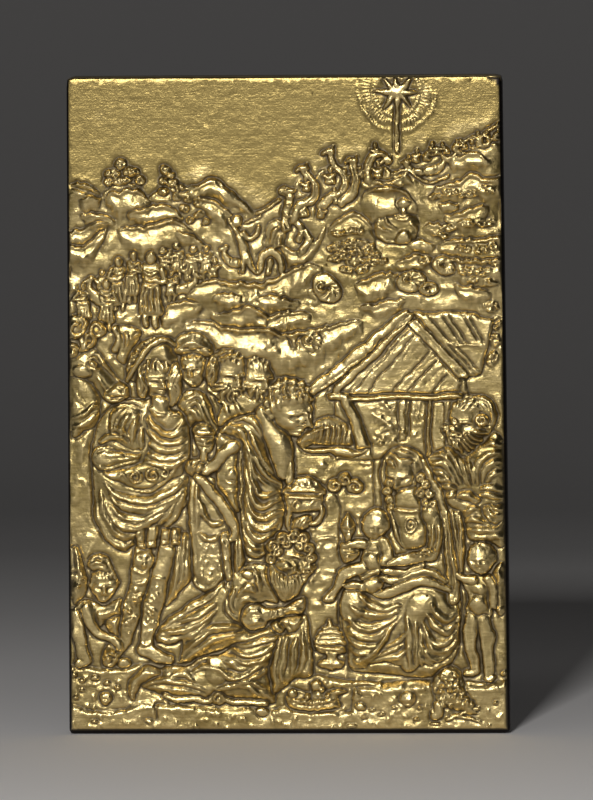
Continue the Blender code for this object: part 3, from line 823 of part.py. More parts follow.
def central_king(ground):
    """Standing bare-shouldered king in a wrapped cloak, bent forward over a footed casket."""
    back = blank()
    mass(back, [(20.4, 44.4), (23.4, 44.6), (26.4, 42), (28.6, 38), (28.4, 31), (27, 25.6), (24, 23.8),
            (21, 26), (20.6, 32), (20.3, 38)], 2.0, 0.9, 1.2)
    pleats(back, [[(20.7, 44), (20.9, 38), (21, 31), (21.2, 27)], [(21.8, 43.8), (21.9, 39), (21.6, 34)]],
            0.7, 0.4)
    pleats(back, [[(22.1, 34.5), (23.4, 33.2), (25, 33.1), (26.4, 34.4)], [(23.4, 36.4), (25, 35.6),
            (27.2, 36.4)], [(22.5, 40.4), (22.9, 37.6), (24.3, 35.8)]], 0.65, 0.55)
    pleats(back, [[(20.9, 26.9), (21.9, 24.9), (23.4, 24.2), (25.2, 25.1), (26.3, 27.4)]], 0.6, 0.5)
    ground = lay(ground, back, 0.45)
    strap = blank()
    rod(strap, [(22.2, 43.8, 0.8, 2.9), (24.6, 41.4, 0.9, 3.0), (27, 37.9, 0.85, 3.0), (28.5, 35, 0.7,
            2.8), (28.2, 33.4, 0.55, 2.6), (26.7, 32.4, 0.4, 2.3)], 0.8, 2.9)
    rod(strap, [(26.9, 34, 0.7, 2.6), (26.9, 33, 0.8, 2.7), (27, 29.5, 0.7, 2.5), (27.4, 26.4, 0.75,
            2.5)], 0.7, 2.5)
    ground = lay(ground, strap, 0.45)
    flank = blank()
    mass(flank, [(25.2, 50.6), (27.6, 51.6), (29.6, 50), (29.7, 44), (29.6, 39), (28.2, 38), (26.8, 40.4),
            (25.6, 43)], 2.2, 0.8, 1.2)
    blob(flank, 28.2, 44.5, 1.3, 1.4, 2.6)
    pleats(flank, [[(26.8, 43.4), (28.2, 42.8), (29.6, 43.4)], [(26.8, 42), (28.2, 41.5), (29.5, 42)]],
            0.3, 0.25)
    rod(flank, [(28.5, 49.4, 1.3, 3.0), (26.6, 47.8, 1.15, 3.1), (25, 46, 1.0, 3.1), (23.6, 45, 0.8,
            3.0)], 1.1, 3.0)
    ground = lay(ground, flank, 0.5)
    cloak = blank()
    mass(cloak, [(26, 51.6), (27.6, 53.4), (30.4, 54.6), (33, 54.4), (34.6, 52), (35, 47.6), (36.2, 44),
            (37, 41), (36.8, 36.6), (35.6, 32.6), (34, 30.9), (31.6, 30), (29.8, 32), (29.4, 40), (29.2,
            48), (28.4, 50.6)], 2.9, 1.2, 1.6)
    pleats(cloak, [[(26, 51), (27.4, 52.8), (29.6, 52), (30.8, 49.4)], [(27.4, 53.2), (30, 54.3), (32.4,
            53.2), (33.6, 50.6)], [(28.6, 54), (31.6, 55), (33.6, 53.8), (34.2, 51.4)], [(30, 51.6),
            (31.8, 47.6), (34, 44.2), (36.6, 42.7)], [(31.4, 52), (33.2, 47.8), (35, 45), (36.4, 43.9)],
            [(30.6, 49), (31.6, 43.6), (33.4, 40.9), (36.6, 41.6)], [(30.4, 46), (31.2, 41), (33.2, 38.9),
            (36.9, 40)], [(30.2, 43), (31, 38.6), (33.4, 36.9), (37, 38.2)], [(30, 40), (31, 36.4), (33.6,
            34.8), (36.6, 36.6)], [(29.9, 37.6), (31, 34.4), (33, 33.2), (35.8, 34.6)], [(29.8, 35), (31,
            32.6), (32.8, 31.6), (34.6, 32.6)], [(29.8, 32.6), (31.2, 30.6), (33, 30.2), (34.2, 31.2)]],
            0.85, 0.8, 0.3)
    pleats(cloak, [[(29.3, 50), (29.6, 44), (29.5, 38), (30.3, 33.6)], [(31, 49), (32, 45), (34.2,
            42.6)]], 0.4, 0.55, 0.2)
    ground = lay(ground, cloak, 0.5)
    hem = blank()
    mass(hem, [(28.4, 35.4), (29.8, 34), (30, 30), (29.8, 26.2), (28.6, 26), (28.2, 30)], 2.1, 0.6, 0.6)
    pleats(hem, [[(28.7, 34.6), (28.8, 30), (29, 26.4)], [(29.5, 33.6), (29.4, 29.8), (29.5, 26.8)]], 0.4,
            0.4)
    ground = lay(ground, hem, 0.4)
    arm = blank()
    rod(arm, [(33.8, 54.6, 1.6, 3.0), (35, 52, 2.0, 3.2), (36.6, 49, 2.2, 3.6), (36.8, 46.6, 1.7, 3.6),
            (36.9, 45, 1.2, 3.4)], 1.7, 3.3)
    rod(arm, [(36.9, 44.6, 1.1, 3.3), (38, 46.4, 0.9, 3.2), (38, 43.4, 0.8, 3.3)], 1.0, 3.3)
    ground = lay(ground, arm, 0.5)
    casket = blank()
    mass(casket, [(37.1, 41.4), (37.3, 38), (43.4, 38), (44, 41.4)], 3.1, 0.7, 0.6, smooth=False)
    mass(casket, [(36.9, 41), (37.4, 42.6), (39.4, 43.9), (42, 43.8), (43.8, 42.4), (44.3, 40.9), (40.6,
            40.5)], 3.4, 1.0, 1.2)
    pleats(casket, [[(37, 41.9), (40.4, 41.4), (44.2, 41.7)], [(37, 40.6), (40.4, 40.1), (44.2, 40.5)]],
            0.35, 0.4, 0.1)
    rod(casket, [(37.6, 38.2, 0.45, 2.8), (37.4, 36.4, 0.5, 2.8), (37.9, 34.9, 0.45, 2.7)], 0.5, 2.8)
    rod(casket, [(43, 39.6, 0.4, 2.8), (43.4, 37.6, 0.4, 2.8), (42.6, 35.9, 0.45, 2.7), (41.6, 35.7, 0.4,
            2.6)], 0.4, 2.8)
    ground = lay(ground, casket, 0.55)
    hand = blank()
    mass(hand, [(37.8, 35.2), (38.6, 36.8), (41, 37.3), (41.8, 36.4), (40.8, 34.9), (39.4, 34.2), (38,
            34.3)], 3.1, 0.7, 0.8)
    pleats(hand, [[(38.2, 34.8), (39.6, 36.8)], [(39.4, 34.6), (40.8, 36.8)]], 0.5, 0.3)
    ground = lay(ground, hand, 0.45)
    face = blank()
    head(face, 37.9, 55.7, 9.4, 4.3, yaw=38, pitch=22, roll=-2, hair="curly", seed=3)
    return lay(ground, face, 0.5)


def crouching_man(ground):
    """Crouching attendant at the lower left, seen from the front, plume in his hair."""
    cloth = blank()
    mass(cloth, [(0, 31.8), (1.6, 30.6), (2.4, 27.4), (2.6, 24.2), (1.4, 22.4), (0, 22.6)], 1.8, 0.9, 1.0)
    ground = lay(ground, cloth, 0.4)
    leg = blank()
    rod(leg, [(0.6, 20, 1.1, 2.0), (1.2, 17.4, 1.15, 2.1), (1.8, 14.2, 1.2, 2.3), (2.4, 12.2, 1.15, 2.2),
            (1.8, 11.6, 1.0, 2.0)], 1.1, 2.1)
    mass(leg, [(5.4, 19.6), (7.6, 20.4), (9, 19.6), (9.2, 17), (8.8, 14.4), (8.6, 12.4), (6.8, 10.6),
            (5.4, 11.4), (5.6, 13.8), (6.8, 15.6), (6.4, 17.6)], 2.1, 1.0, 1.2)
    ground = lay(ground, leg, 0.45)
    body = blank()
    mass(body, [(0, 21), (1.8, 22.4), (4, 22.4), (6, 21.6), (8.6, 22.8), (9, 20), (7.4, 19.6), (5.4,
            18.4), (4, 17.4), (2.8, 19.4), (1.8, 20.4)], 2.2, 0.9, 1.1)
    rod(body, [(2.8, 21, 1.2, 2.6), (3.4, 18.6, 1.0, 2.7), (4.6, 17, 0.9, 2.7), (6.6, 16, 0.75, 2.6), (8,
            15, 0.75, 2.5), (8.3, 14.2, 0.7, 2.4)], 1.0, 2.6)
    fold(body, [(4.6, 21.4), (4.5, 19.6), (5.2, 18.4)], 0.3, -0.35)
    ground = lay(ground, body, 0.45)
    plume = blank()
    mass(plume, [(3, 28.4), (3.6, 30), (5.2, 30.6), (6.8, 29.8), (7.6, 27.6), (7.4, 26), (5, 27)], 2.3,
            0.8, 1.0)
    pleats(plume, [[(3.4, 29), (4.6, 30.2), (6.2, 29.6)], [(3, 28.2), (4.6, 29.2), (6.6, 28.6)], [(6.6,
            30), (7.5, 28), (7.5, 26)], [(3.4, 27.4), (3.1, 26), (3.7, 24.8)]], 0.5, 0.4)
    ground = lay(ground, plume, 0.35)
    face = blank()
    head(face, 5.6, 25.2, 5.6, 3.3, yaw=6, pitch=12, roll=0, hair="short", seed=8)
    return lay(ground, face, 0.45)


def young_king(ground):
    """Standing king at the left in a plumed hat, one arm akimbo, cloak swept across his hips, armour skirt below."""
    # far leg and near leg
    leg = blank()
    rod(leg, [(12.6, 31, 1.6, 2.2), (12.2, 27, 1.7, 2.2), (11, 22, 1.7, 1.9), (9.8, 17.5, 1.3, 1.8), (8.8,
            15, 1.1, 1.7), (7.2, 12.6, 1.2, 1.7), (6.6, 11.9, 1.1, 1.6)], 1.5, 2.0)
    pleats(leg, [[(10.2, 28.5), (12.5, 27.2), (14.2, 28.6)], [(9.8, 26.3), (11.6, 25.3), (13.6, 26.3)],
            [(9.5, 24), (11.2, 23), (12.8, 23.8)]], 0.5, 0.3)
    blob(leg, 12.7, 29.4, 1.9, 1.8, 3.0)
    blob(leg, 12.8, 28.8, 0.5, 0.6, 3.4)
    ground = lay(ground, leg, 0.45)
    leg = blank()
    rod(leg, [(16.9, 31.2, 1.5, 2.7), (16.2, 28.6, 1.45, 2.7), (15.1, 26, 1.55, 2.7), (14.4, 22.5, 1.75,
            2.7), (13.7, 19, 1.5, 2.6), (13.1, 16.2, 1.05, 2.5), (12.9, 14.6, 1.15, 2.6)], 1.5, 2.7)
    rod(leg, [(12.3, 13.9, 1.0, 2.5), (13.6, 13.5, 1.1, 2.9), (15.4, 12.5, 0.95, 2.9), (16.8, 12.2, 0.7,
            2.7)], 1.0, 2.6)
    pleats(leg, [[(13.2, 25.9), (14.8, 26.6), (16.4, 26.1)], [(11.8, 15.2), (13, 14.6), (14.2, 15.2)]],
            0.4, 0.25)
    ground = lay(ground, leg, 0.5)
    # short tunic below the armour, hanging behind the near leg
    skirt = blank()
    mass(skirt, [(18, 34), (20.6, 34), (20.8, 30), (21.2, 26.8), (19.4, 24.6), (17.4, 22.4), (16.2, 21.6),
            (16.2, 25), (16.8, 28), (17.9, 31)], 1.9, 0.8, 0.8)
    pleats(skirt, [[(18.6, 33.5), (18.2, 28), (17.2, 23)], [(19.6, 33.8), (19.2, 28.5), (18.4, 24.5)],
            [(20.4, 33.5), (20.2, 29.5), (19.7, 26)]], 0.55, 0.4)
    ground = lay(ground, skirt, 0.4)
    # body of the cloak and doublet
    body = blank()
    mass(body, [(9, 57), (5.2, 53.8), (3.9, 49.5), (4, 44), (4.1, 37), (6.2, 33.2), (9, 31.1), (11.3,
            32.3), (15.4, 33.3), (16.2, 34.3), (18.4, 37), (20.6, 40.5), (20.9, 46), (20.6, 50.5), (20,
            54.6), (17.6, 57), (13, 57.4)], 2.6, 1.4, 2.4)
    # armour skirt
    for u, v, w, drop in [(12.4, 33.3, 0.85, 1.9), (14.3, 33.6, 0.9, 2.0), (16.5, 33.4, 0.75, 1.3), (18.1,
            33.5, 0.8, 1.5)]:
        mass(body, [(u - w, v + drop), (u + w, v + drop), (u + w, v - drop), (u - w, v - drop)], 2.7, 0.5,
                0.4, smooth=False)
    # swags of cloak below the belt
    pleats(body, [[(5.6, 43.4), (8, 40.9), (12, 39.6), (16, 40.6), (19.9, 43.4)], [(6.4, 41.4), (8.8,
            38.9), (12.5, 38.2), (16.4, 39.4), (20.2, 42)], [(6.6, 39.2), (8.8, 36.9), (12.4, 36.6),
            (15.6, 38), (19.6, 40.8)], [(5.6, 40.4), (7.2, 36.4), (9.8, 34.9), (13, 35.6), (16.4, 37.6),
            (18.9, 39.6)], [(4.9, 42), (5.9, 36.9), (8.4, 33.8), (11, 33.6), (13, 35)], [(4.4, 40), (5,
            36), (7.2, 32.8), (9.4, 31.9), (11, 33)], [(19.9, 41.6), (18.2, 38), (16.2, 34.9)], [(18.4,
            40.4), (16.6, 37.4), (15.2, 35.6)], [(20.4, 40.3), (19.6, 37.4), (18.6, 35)]], 0.95, 0.85,
            0.3)
    ground = lay(ground, body, 0.55)
    torso = blank()
    mass(torso, [(12.6, 55), (19.8, 55.2), (20.7, 51), (20.4, 46.6), (18.6, 43.6), (15.4, 41.6), (12.4,
            41), (9.4, 41.8), (6.4, 44.6), (10, 46.4), (12.8, 48), (13, 51)], 3.0, 0.8, 1.2)
    pleats(torso, [[(12.9, 52.6), (15.4, 50.2), (18, 49.7), (20.5, 51)], [(13.2, 50.4), (15.6, 48.7), (18,
            48.5), (20.4, 49.8)], [(13, 48.4), (15.6, 47), (18, 47), (20.4, 48.4)], [(13, 46.9), (15.2,
            45.8), (17.8, 45.7), (20.2, 47.2)], [(13.4, 54.4), (15, 52.4), (17.2, 51.3), (20.4, 52.6)]],
            0.75, 0.6)
    # belt with scrolls
    mass(torso, [(6, 45), (8.8, 43.2), (12.4, 41.9), (16, 43.2), (19, 46.4), (17, 46), (14.6, 46), (12.2,
            46.2), (9.4, 45.4)], 3.15, 0.3, 0.5)
    pleats(torso, [[(5.6, 44.7), (8, 42.8), (10.6, 41.4), (12.8, 41.2), (15.6, 42.4), (19.3, 46.3)]], 0.5,
            0.5, 0.2)
    # chest, neck and collar
    mass(torso, [(13.6, 55.6), (14.6, 53.4), (16.6, 52.2), (18.8, 53), (19.8, 55), (17.4, 55.8), (17.2,
            58), (14.4, 58), (14.2, 56.4)], 3.3, 0.5, 0.9)
    pleats(torso, [[(13.2, 55.4), (14.2, 53.2), (16.6, 51.8), (19.2, 52.9), (20, 54.4)], [(13.9, 55.6),
            (15.2, 54.8), (16.6, 54.9)], [(17, 54.6), (18.6, 54.9), (19.8, 54.2)]], 0.42, 0.4)
    ground = lay(ground, torso, 0.45)
    # shoulder cape, puffed upper sleeve and the arm set on the hip
    arm = blank()
    mass(arm, [(6.5, 52.2), (7.6, 55.6), (10.6, 56.7), (13, 55), (13.6, 51.5), (13.2, 48.6), (10.6, 47.6),
            (7.4, 49.2), (4.8, 50.2)], 3.0, 1.0, 1.6)
    pleats(arm, [[(7.4, 55.6), (10.2, 57), (12.6, 55.8), (13.9, 53.2), (14.2, 50)], [(7.4, 51.6), (7.7,
            54.4), (9.8, 55.9)], [(9, 50.4), (9.2, 53), (10.6, 55)], [(10.8, 49.6), (11, 52.2), (11.6,
            54.4)], [(12.6, 48.2), (12.6, 50.6), (12.6, 53)]], 0.7, 0.6)
    pleats(arm, [[(4.4, 50.6), (6, 52.2), (8.8, 52.2), (10.4, 50.6)], [(4.6, 49.6), (6.6, 51), (9, 50.8),
            (10.6, 49.4)]], 0.6, 0.5)
    ground = lay(ground, arm, 0.4)
    arm = blank()
    mass(arm, [(3.8, 47.4), (4.6, 49.2), (6.6, 49.6), (9.2, 48.2), (12.8, 48.6), (12.4, 47), (10, 46.2),
            (7, 45.5), (5, 45.4)], 3.4, 0.9, 1.0)
    pleats(arm, [[(4, 48), (5.6, 49.5), (7.6, 49.2), (9.8, 47.9), (12.8, 47.9)], [(4.4, 46.2), (6.6,
            45.4), (9.4, 45.9), (12.6, 47.1)]], 0.5, 0.5, 0.2)
    mass(arm, [(6, 48.2), (7.6, 48.5), (9.8, 47.5), (8, 47.1), (6.6, 47.4)], 3.5, 0.3, 0.4)
    ground = lay(ground, arm, 0.5)
    # head with long curls under a wide turned-up brim
    plume = blank()
    mass(plume, [(9.9, 61.4), (10.6, 65.4), (12.8, 67.6), (15.6, 68.2), (17.8, 67.4), (18.6, 64.8), (18.4,
            61.8), (15, 62.6), (12, 60.6)], 2.6, 1.0, 1.4)
    ground = lay(ground, plume, 0.4)
    hair = blank()
    blob(hair, 17.9, 60, 1.6, 3.8, 2.8, 1.3, -6)
    blob(hair, 12.5, 60.6, 1.1, 3.0, 3.0)
    for shift in (-1.2, -0.6, 0, 0.6, 1.2):
        pleats(hair, [[(17 + shift, 65), (18.6 + shift, 62.6), (17.5 + shift, 60.4), (18.9 + shift, 58.2),
                (18 + shift, 55.2)]], 0.5, 0.6, 0.3)
    pleats(hair, [[(13, 64), (11.8, 62.2), (12.6, 60.4), (11.9, 58)], [(13.4, 62.6), (12.5, 61.2), (13.2,
            59.4), (12.6, 57.8)]], 0.45, 0.6)
    ground = lay(ground, hair, 0.35)
    face = blank()
    head(face, 15, 60.9, 7.2, 4.1, yaw=14, pitch=8, roll=4, hair="wavy", seed=2)
    pleats(face, [[(15.4, 64.7), (13.7, 64.4), (12.5, 62.4)], [(15.4, 65.3), (13.2, 65.3), (11.8, 63)],
            [(15.8, 64.7), (17.2, 64.2), (18.3, 62.4)], [(15.8, 65.3), (18, 64.9), (19, 63)]], 0.5, 0.6,
            0.3)
    brim = blank()
    rod(brim, [(9.8, 60.6, 0.25, 3.2), (11.2, 63, 0.42, 3.7), (13, 65.6, 0.48, 3.9), (15.2, 67.3, 0.48,
            3.9), (17, 67.7, 0.4, 3.7), (18.2, 66.9, 0.28, 3.5)], 0.45, 3.8)
    ground = lay(ground, face, 0.45)
    return lay(ground, brim, 0.4)


def kneeling_king(ground):
    """Old king on his knees in profile to the right, long beard, hands joined, bare foot behind him."""
    train = blank()
    mass(train, [(26.2, 26.2), (22.8, 23.4), (19.4, 21.2), (16, 18.6), (14.3, 16.6), (14.8, 15.2), (17,
            14.8), (19.4, 15.4), (18.6, 12.2), (18.4, 11.4), (22, 12.4), (27, 14), (33, 13.6), (37.2,
            16.8), (34.8, 18.4), (30.4, 17.4), (29.8, 20), (30, 24)], 2.4, 1.2, 1.3)
    pleats(train, [[(26.4, 25.8), (22.8, 22.8), (18.8, 20.4), (15.6, 17.6)], [(25, 22.4), (21.6, 19.8),
            (18.4, 19.2)], [(25.2, 21.2), (22.2, 18.6), (18.8, 17.3), (16, 17.2)], [(24.4, 19.4), (21.4,
            16.8), (17.6, 15.4), (14.6, 16)], [(26.4, 18.4), (22.6, 16.4), (19.6, 14), (18, 12)], [(30,
            17.8), (26, 17.9), (23, 17.2), (21, 15.8)], [(30, 16.9), (25, 15.9), (21.6, 13.8), (18.8,
            11.8)]], 0.95, 0.75, 0.3)
    ground = lay(ground, train, 0.5)
    robe = blank()
    mass(robe, [(12, 7.6), (14, 9.4), (16.4, 11.2), (19.4, 10.8), (22, 12.2), (26, 13.2), (30, 15.4), (34,
            17.2), (37, 17.2), (35.6, 13), (34.4, 9.4), (35.2, 6), (34.6, 4.6), (30, 4.7), (26, 5.4),
            (23.4, 5), (18, 5), (15.6, 6.2)], 2.9, 1.3, 1.5)
    pleats(robe, [[(36.8, 16.8), (33, 15.6), (29.4, 14.9), (26.6, 15.4)], [(36.6, 16), (33.4, 13.6),
            (30.4, 12.8), (27.6, 14)], [(35.8, 14.4), (33, 12.2), (30, 11.6), (27, 12.6), (24, 13.4)],
            [(20, 10.8), (22.4, 12.2), (25, 12.6), (27.4, 11.6), (29.6, 10.6), (32, 11.3)], [(20.6, 9.9),
            (23, 11), (25.4, 10.6), (27.6, 9.1), (30, 9.3), (33.8, 11.8)], [(34.4, 10.6), (31, 9), (28,
            8), (24.6, 7)]], 0.85, 0.7, 0.3)
    blob(robe, 25.2, 10, 2.6, 2.8, 3.4, 1.4)
    pleats(robe, [[(12.2, 7.6), (15.4, 8.6), (19.4, 8.2), (23.4, 6.6)], [(16.6, 9.2), (19.6, 9.8), (21.4,
            8.4)], [(13, 7.2), (16.4, 7), (20, 6.8), (23.6, 5.6)], [(28.8, 7.4), (30.6, 7.2), (32.6,
            5.6)], [(28.4, 8), (31.4, 8), (33.6, 7)]], 0.7, 0.5, 0.3)
    ground = lay(ground, robe, 0.55)
    hem = blank()
    rod(hem, [(16.4, 6, 0.45, 2.2), (18, 5.3, 0.55, 2.3), (21, 5.4, 0.55, 2.3), (23.6, 5, 0.5, 2.3),
            (25.2, 6.2, 0.55, 2.5), (26.6, 5.2, 0.5, 2.4), (29, 4.7, 0.45, 2.3), (33.6, 4.6, 0.45, 2.3)],
            0.5, 2.3)
    ground = lay(ground, hem, 0.45)
    foot = blank()
    mass(foot, [(10, 8.4), (11.4, 10), (13, 11.2), (15.6, 10.4), (15.8, 9.4), (13.4, 8.2), (12, 8), (11.3,
            6.4), (11, 5.2), (10.2, 5.3), (9.8, 6.8)], 2.3, 0.9, 0.9)
    fold(foot, [(10.4, 8.6), (11.6, 9.2), (12.8, 10.2)], 0.3, 0.3)
    ground = lay(ground, foot, 0.5)
    hang = blank()
    mass(hang, [(35.2, 16.6), (37.4, 17.4), (40.2, 20), (41.2, 17), (41.7, 12), (41.8, 9.6), (40.6, 8.8),
            (38.6, 8.9), (36.8, 7.4), (35, 6), (34.4, 8), (34.2, 12)], 2.6, 1.0, 0.9)
    pleats(hang, [[(36.4, 16.6), (35.2, 13), (34.8, 9.4), (35.2, 6.8)], [(37.4, 16.8), (36.6, 13), (36,
            9.8), (36.6, 7.8)], [(38.9, 16.4), (38.2, 13), (37.6, 9.4)], [(40, 17.6), (40, 13), (39,
            9.6)], [(40.4, 19.4), (41.2, 14), (41, 9.6)]], 0.8, 0.6, 0.3)
    ground = lay(ground, hang, 0.5)
    back = blank()
    mass(back, [(28.4, 27.4), (26.6, 25.2), (26, 22), (26.6, 19.6), (28.6, 18.2), (30.4, 18.6), (31, 21),
            (33.6, 22.6), (36, 22.4), (36, 26), (33.8, 28.6), (31, 28.8)], 3.2, 1.3, 2.0)
    pleats(back, [[(27.4, 26.4), (26.2, 23.4), (26.9, 20.4), (29.6, 18.7)], [(25.2, 22.6), (24.9, 20.6),
            (25.7, 18.6)], [(28.4, 25.2), (27.4, 22.6), (28.2, 20.4)], [(29.4, 24.2), (31, 25), (32,
            23.8)]], 0.75, 0.6)
    pleats(back, [[(29.4, 22.2), (30.8, 22.6), (32, 22.2)], [(28.6, 23.2), (30.2, 24.2), (32, 24)]], 0.6,
            0.5)
    pleats(back, [[(31.6, 28), (32.4, 26.4), (32.7, 24.4)]], 0.8, 0.5, 0.2)
    pleats(back, [[(33.1, 27.8), (33.8, 26), (34.6, 24.6)]], 0.55, 0.45)
    blob(back, 30.8, 27, 0.9, 0.9, 3.5)
    ground = lay(ground, back, 0.5)
    arm = blank()
    blob(arm, 31.9, 19.6, 2.5, 2.2, 4.0, 1.6, 10)
    pleats(arm, [[(30, 20.6), (31.4, 21.8), (33, 21.4)], [(29.9, 19.4), (31.6, 20.6), (33.4, 20.2)],
            [(30.4, 18.2), (32, 18.8), (33.8, 19)]], 0.6, 0.35)
    rod(arm, [(33.4, 20, 1.2, 3.8), (35.2, 20.3, 1.05, 3.8), (36.8, 20.6, 0.8, 3.7)], 1.1, 3.8)
    pleats(arm, [[(34.6, 19.4), (34.9, 21.2)], [(35.5, 19.5), (35.8, 21.3)]], 0.4, 0.3, 0.2)
    ground = lay(ground, arm, 0.6)
    hand = blank()
    mass(hand, [(36.4, 19.8), (36.6, 21), (38, 21.8), (40, 22.9), (40.5, 22.5), (40, 20.4), (38.4, 20)],
            3.8, 0.8, 0.9)
    pleats(hand, [[(37, 20.4), (38.8, 20.8), (40, 21)], [(37, 20.9), (38.8, 21.6), (40.3, 22)], [(37.2,
            21.4), (38.8, 22.2), (40.2, 22.8)]], 0.42, 0.35)
    ground = lay(ground, hand, 0.5)
    pouch = blank()
    mass(pouch, [(36.4, 19.2), (38, 19.9), (39.8, 19.7), (40, 18.2), (39.1, 16.7), (38, 16.7), (37.2,
            17.8)], 3.3, 1.0, 1.0)
    mass(pouch, [(34.8, 18.4), (36, 19), (37.2, 18), (36.6, 17), (35.4, 17.3)], 3.0, 0.6, 0.6)
    ground = lay(ground, pouch, 0.45)
    face = blank()
    head(face, 37.9, 29.6, 8.0, 4.4, yaw=40, pitch=2, roll=-4, hair="short", beard=0.2, seed=9)
    beard = blank()
    mass(beard, [(34.3, 29), (34.8, 25.6), (36, 23.2), (37.2, 22.3), (39, 23), (40, 25), (40.2, 27.4),
            (39.2, 28.2), (37.6, 27.6), (36.2, 28.6)], 4.1, 1.1, 1.4)
    for i in range(9):
        t = i / 8
        pleats(beard, [[(35 + 4.2 * t, 28.2 - 0.6 * math.sin(3 * t)), (34.8 + 4.9 * t, 26 - 0.3 * t),
                (35.5 + 4 * t, 24.4 - 0.4 * t), (36.6 + 2 * t, 22.7 + 0.5 * t)]], 0.34, 0.4, 0.3)
    pleats(face, [[(36.3, 27.6), (37.4, 28.2), (38.7, 27.9), (39.6, 27.4)]], 0.45, 0.35)
    locks = blank()
    for u, v, s, hand_ in [(35.1, 32, 1.1, 1), (34.8, 30, 1.0, -1), (36.7, 33.3, 1.1, -1), (38.7, 33.5,
            1.15, 1), (40.4, 33.2, 1.0, -1), (41.2, 31.6, 0.95, 1), (41.4, 29.9, 0.8, -1), (35.9, 30.8,
            0.9, 1), (37.5, 32.3, 0.9, 1), (39.7, 31.9, 0.8, -1)]:
        blob(locks, u, v, s * 1.1, s * 1.1, 4.2)
    ground = lay(ground, face, 0.4)
    ground = lay(ground, beard, 0.4)
    return lay(ground, locks, 0.3)


def gifts(ground):
    """Lidded cup and crowned turban set down on the ground, a hanging scroll and a shell canopy on the wall."""
    cup = blank()
    mass(cup, [(42.4, 14.9), (42.3, 13.9), (43.4, 13.1), (46.6, 13.1), (47.6, 13.9), (47.5, 14.9)], 2.4,
            0.9, 0.8)
    for v, w, top in [(15.1, 2.7, 2.5), (15.8, 2.3, 2.4), (16.6, 1.9, 2.2), (17.3, 1.3, 2.0)]:
        rod(cup, [(44.9 - w + 0.3, v), (44.9 + w - 0.3, v)], 0.42, top)
    rod(cup, [(44.8, 17.4, 0.5, 1.9), (44.8, 18.9, 0.15, 1.6)], 0.4, 1.8)
    rod(cup, [(44.8, 13.3, 1.0, 2.1), (44.8, 12.4, 0.8, 2.0), (44.8, 11.6, 1.3, 2.1)], 0.9, 2.1)
    mass(cup, [(42.6, 11.4), (43.6, 12.1), (46, 12.1), (46.9, 11.4), (46.2, 10.7), (43.6, 10.7)], 2.3,
            0.6, 0.6)
    ground = lay(ground, cup, 0.4)
    hat = blank()
    mass(hat, [(37.2, 5.8), (38.4, 6.8), (41, 6.4), (41.6, 8), (43, 8.4), (43.8, 6.8), (45.4, 7), (47.3,
            6.8), (46.2, 5.6), (46.4, 3.8), (44, 3.3), (39, 3.3), (37.5, 4.2)], 2.4, 0.9, 0.9)
    pleats(hat, [[(38, 5.2), (40, 4.9), (42.8, 4.8), (45.8, 5.1)], [(38.4, 4), (41, 3.7), (44, 3.8), (46,
            4.2)], [(37.6, 6.4), (39, 6.9), (40.2, 6.2)]], 0.65, 0.6)
    for u, v, s in [(38.2, 6.3, 0.8), (42.2, 7.6, 0.9), (43.2, 7, 0.5), (40.6, 5.8, 0.5), (44.4, 6, 0.5)]:
        blob(hat, u, v, s, s * 0.85, 3.1)
    mass(hat, [(44.6, 6.3), (46.2, 7.1), (47.6, 6.8), (46.2, 6.1)], 2.5, 0.4, 0.4)
    ground = lay(ground, hat, 0.5)
    scroll = blank()
    for u, v, s, hand in [(46, 42.3, 1.15, 1), (49.2, 42.3, 1.3, -1), (47.5, 43.5, 1.1, 1)]:
        blob(scroll, u, v, s * 1.1, s * 1.1, 1.5)
    ground = lay(ground, scroll, 0.5)
    shell = blank()
    mass(shell, [(39.4, 49.8), (40.2, 51.6), (41.8, 52.6), (43.6, 54), (45.6, 54.2), (47.8, 53.4), (49,
            51.6), (49.2, 49.2), (46, 48.8), (42.6, 49.6), (40.6, 49)], 1.7, 0.8, 1.0)
    for i in range(8):
        t = i / 7
        pleats(shell, [[(40.2 + 3.2 * t, 49.8 + 0.8 * t), (40.6 + 3.4 * t, 50.9 + 1.2 * t),
                (41.4 + 3.9 * t, 51.3 + 1.6 * t)]], 0.32, 0.45, 0.2)
    for i in range(6):
        t = i / 5
        pleats(shell, [[(43 + 5.4 * t, 49.3), (43.6 + 5 * t, 51 - 0.2 * t), (43.9 + 4.4 * t,
                53.6 - 0.6 * t)]], 0.36, 0.4, 0.2)
    ground = lay(ground, shell, 0.5)
    ledge = blank()
    mass(ledge, [(40.4, 49), (43, 48.9), (46.4, 49.4), (49, 49), (52.4, 48.8), (52, 48.2), (49.6, 47.3),
            (46.4, 47.2), (44.8, 48), (42, 48.1)], 1.5, 0.9, 0.5)
    return lay(ground, ledge, 0.5)


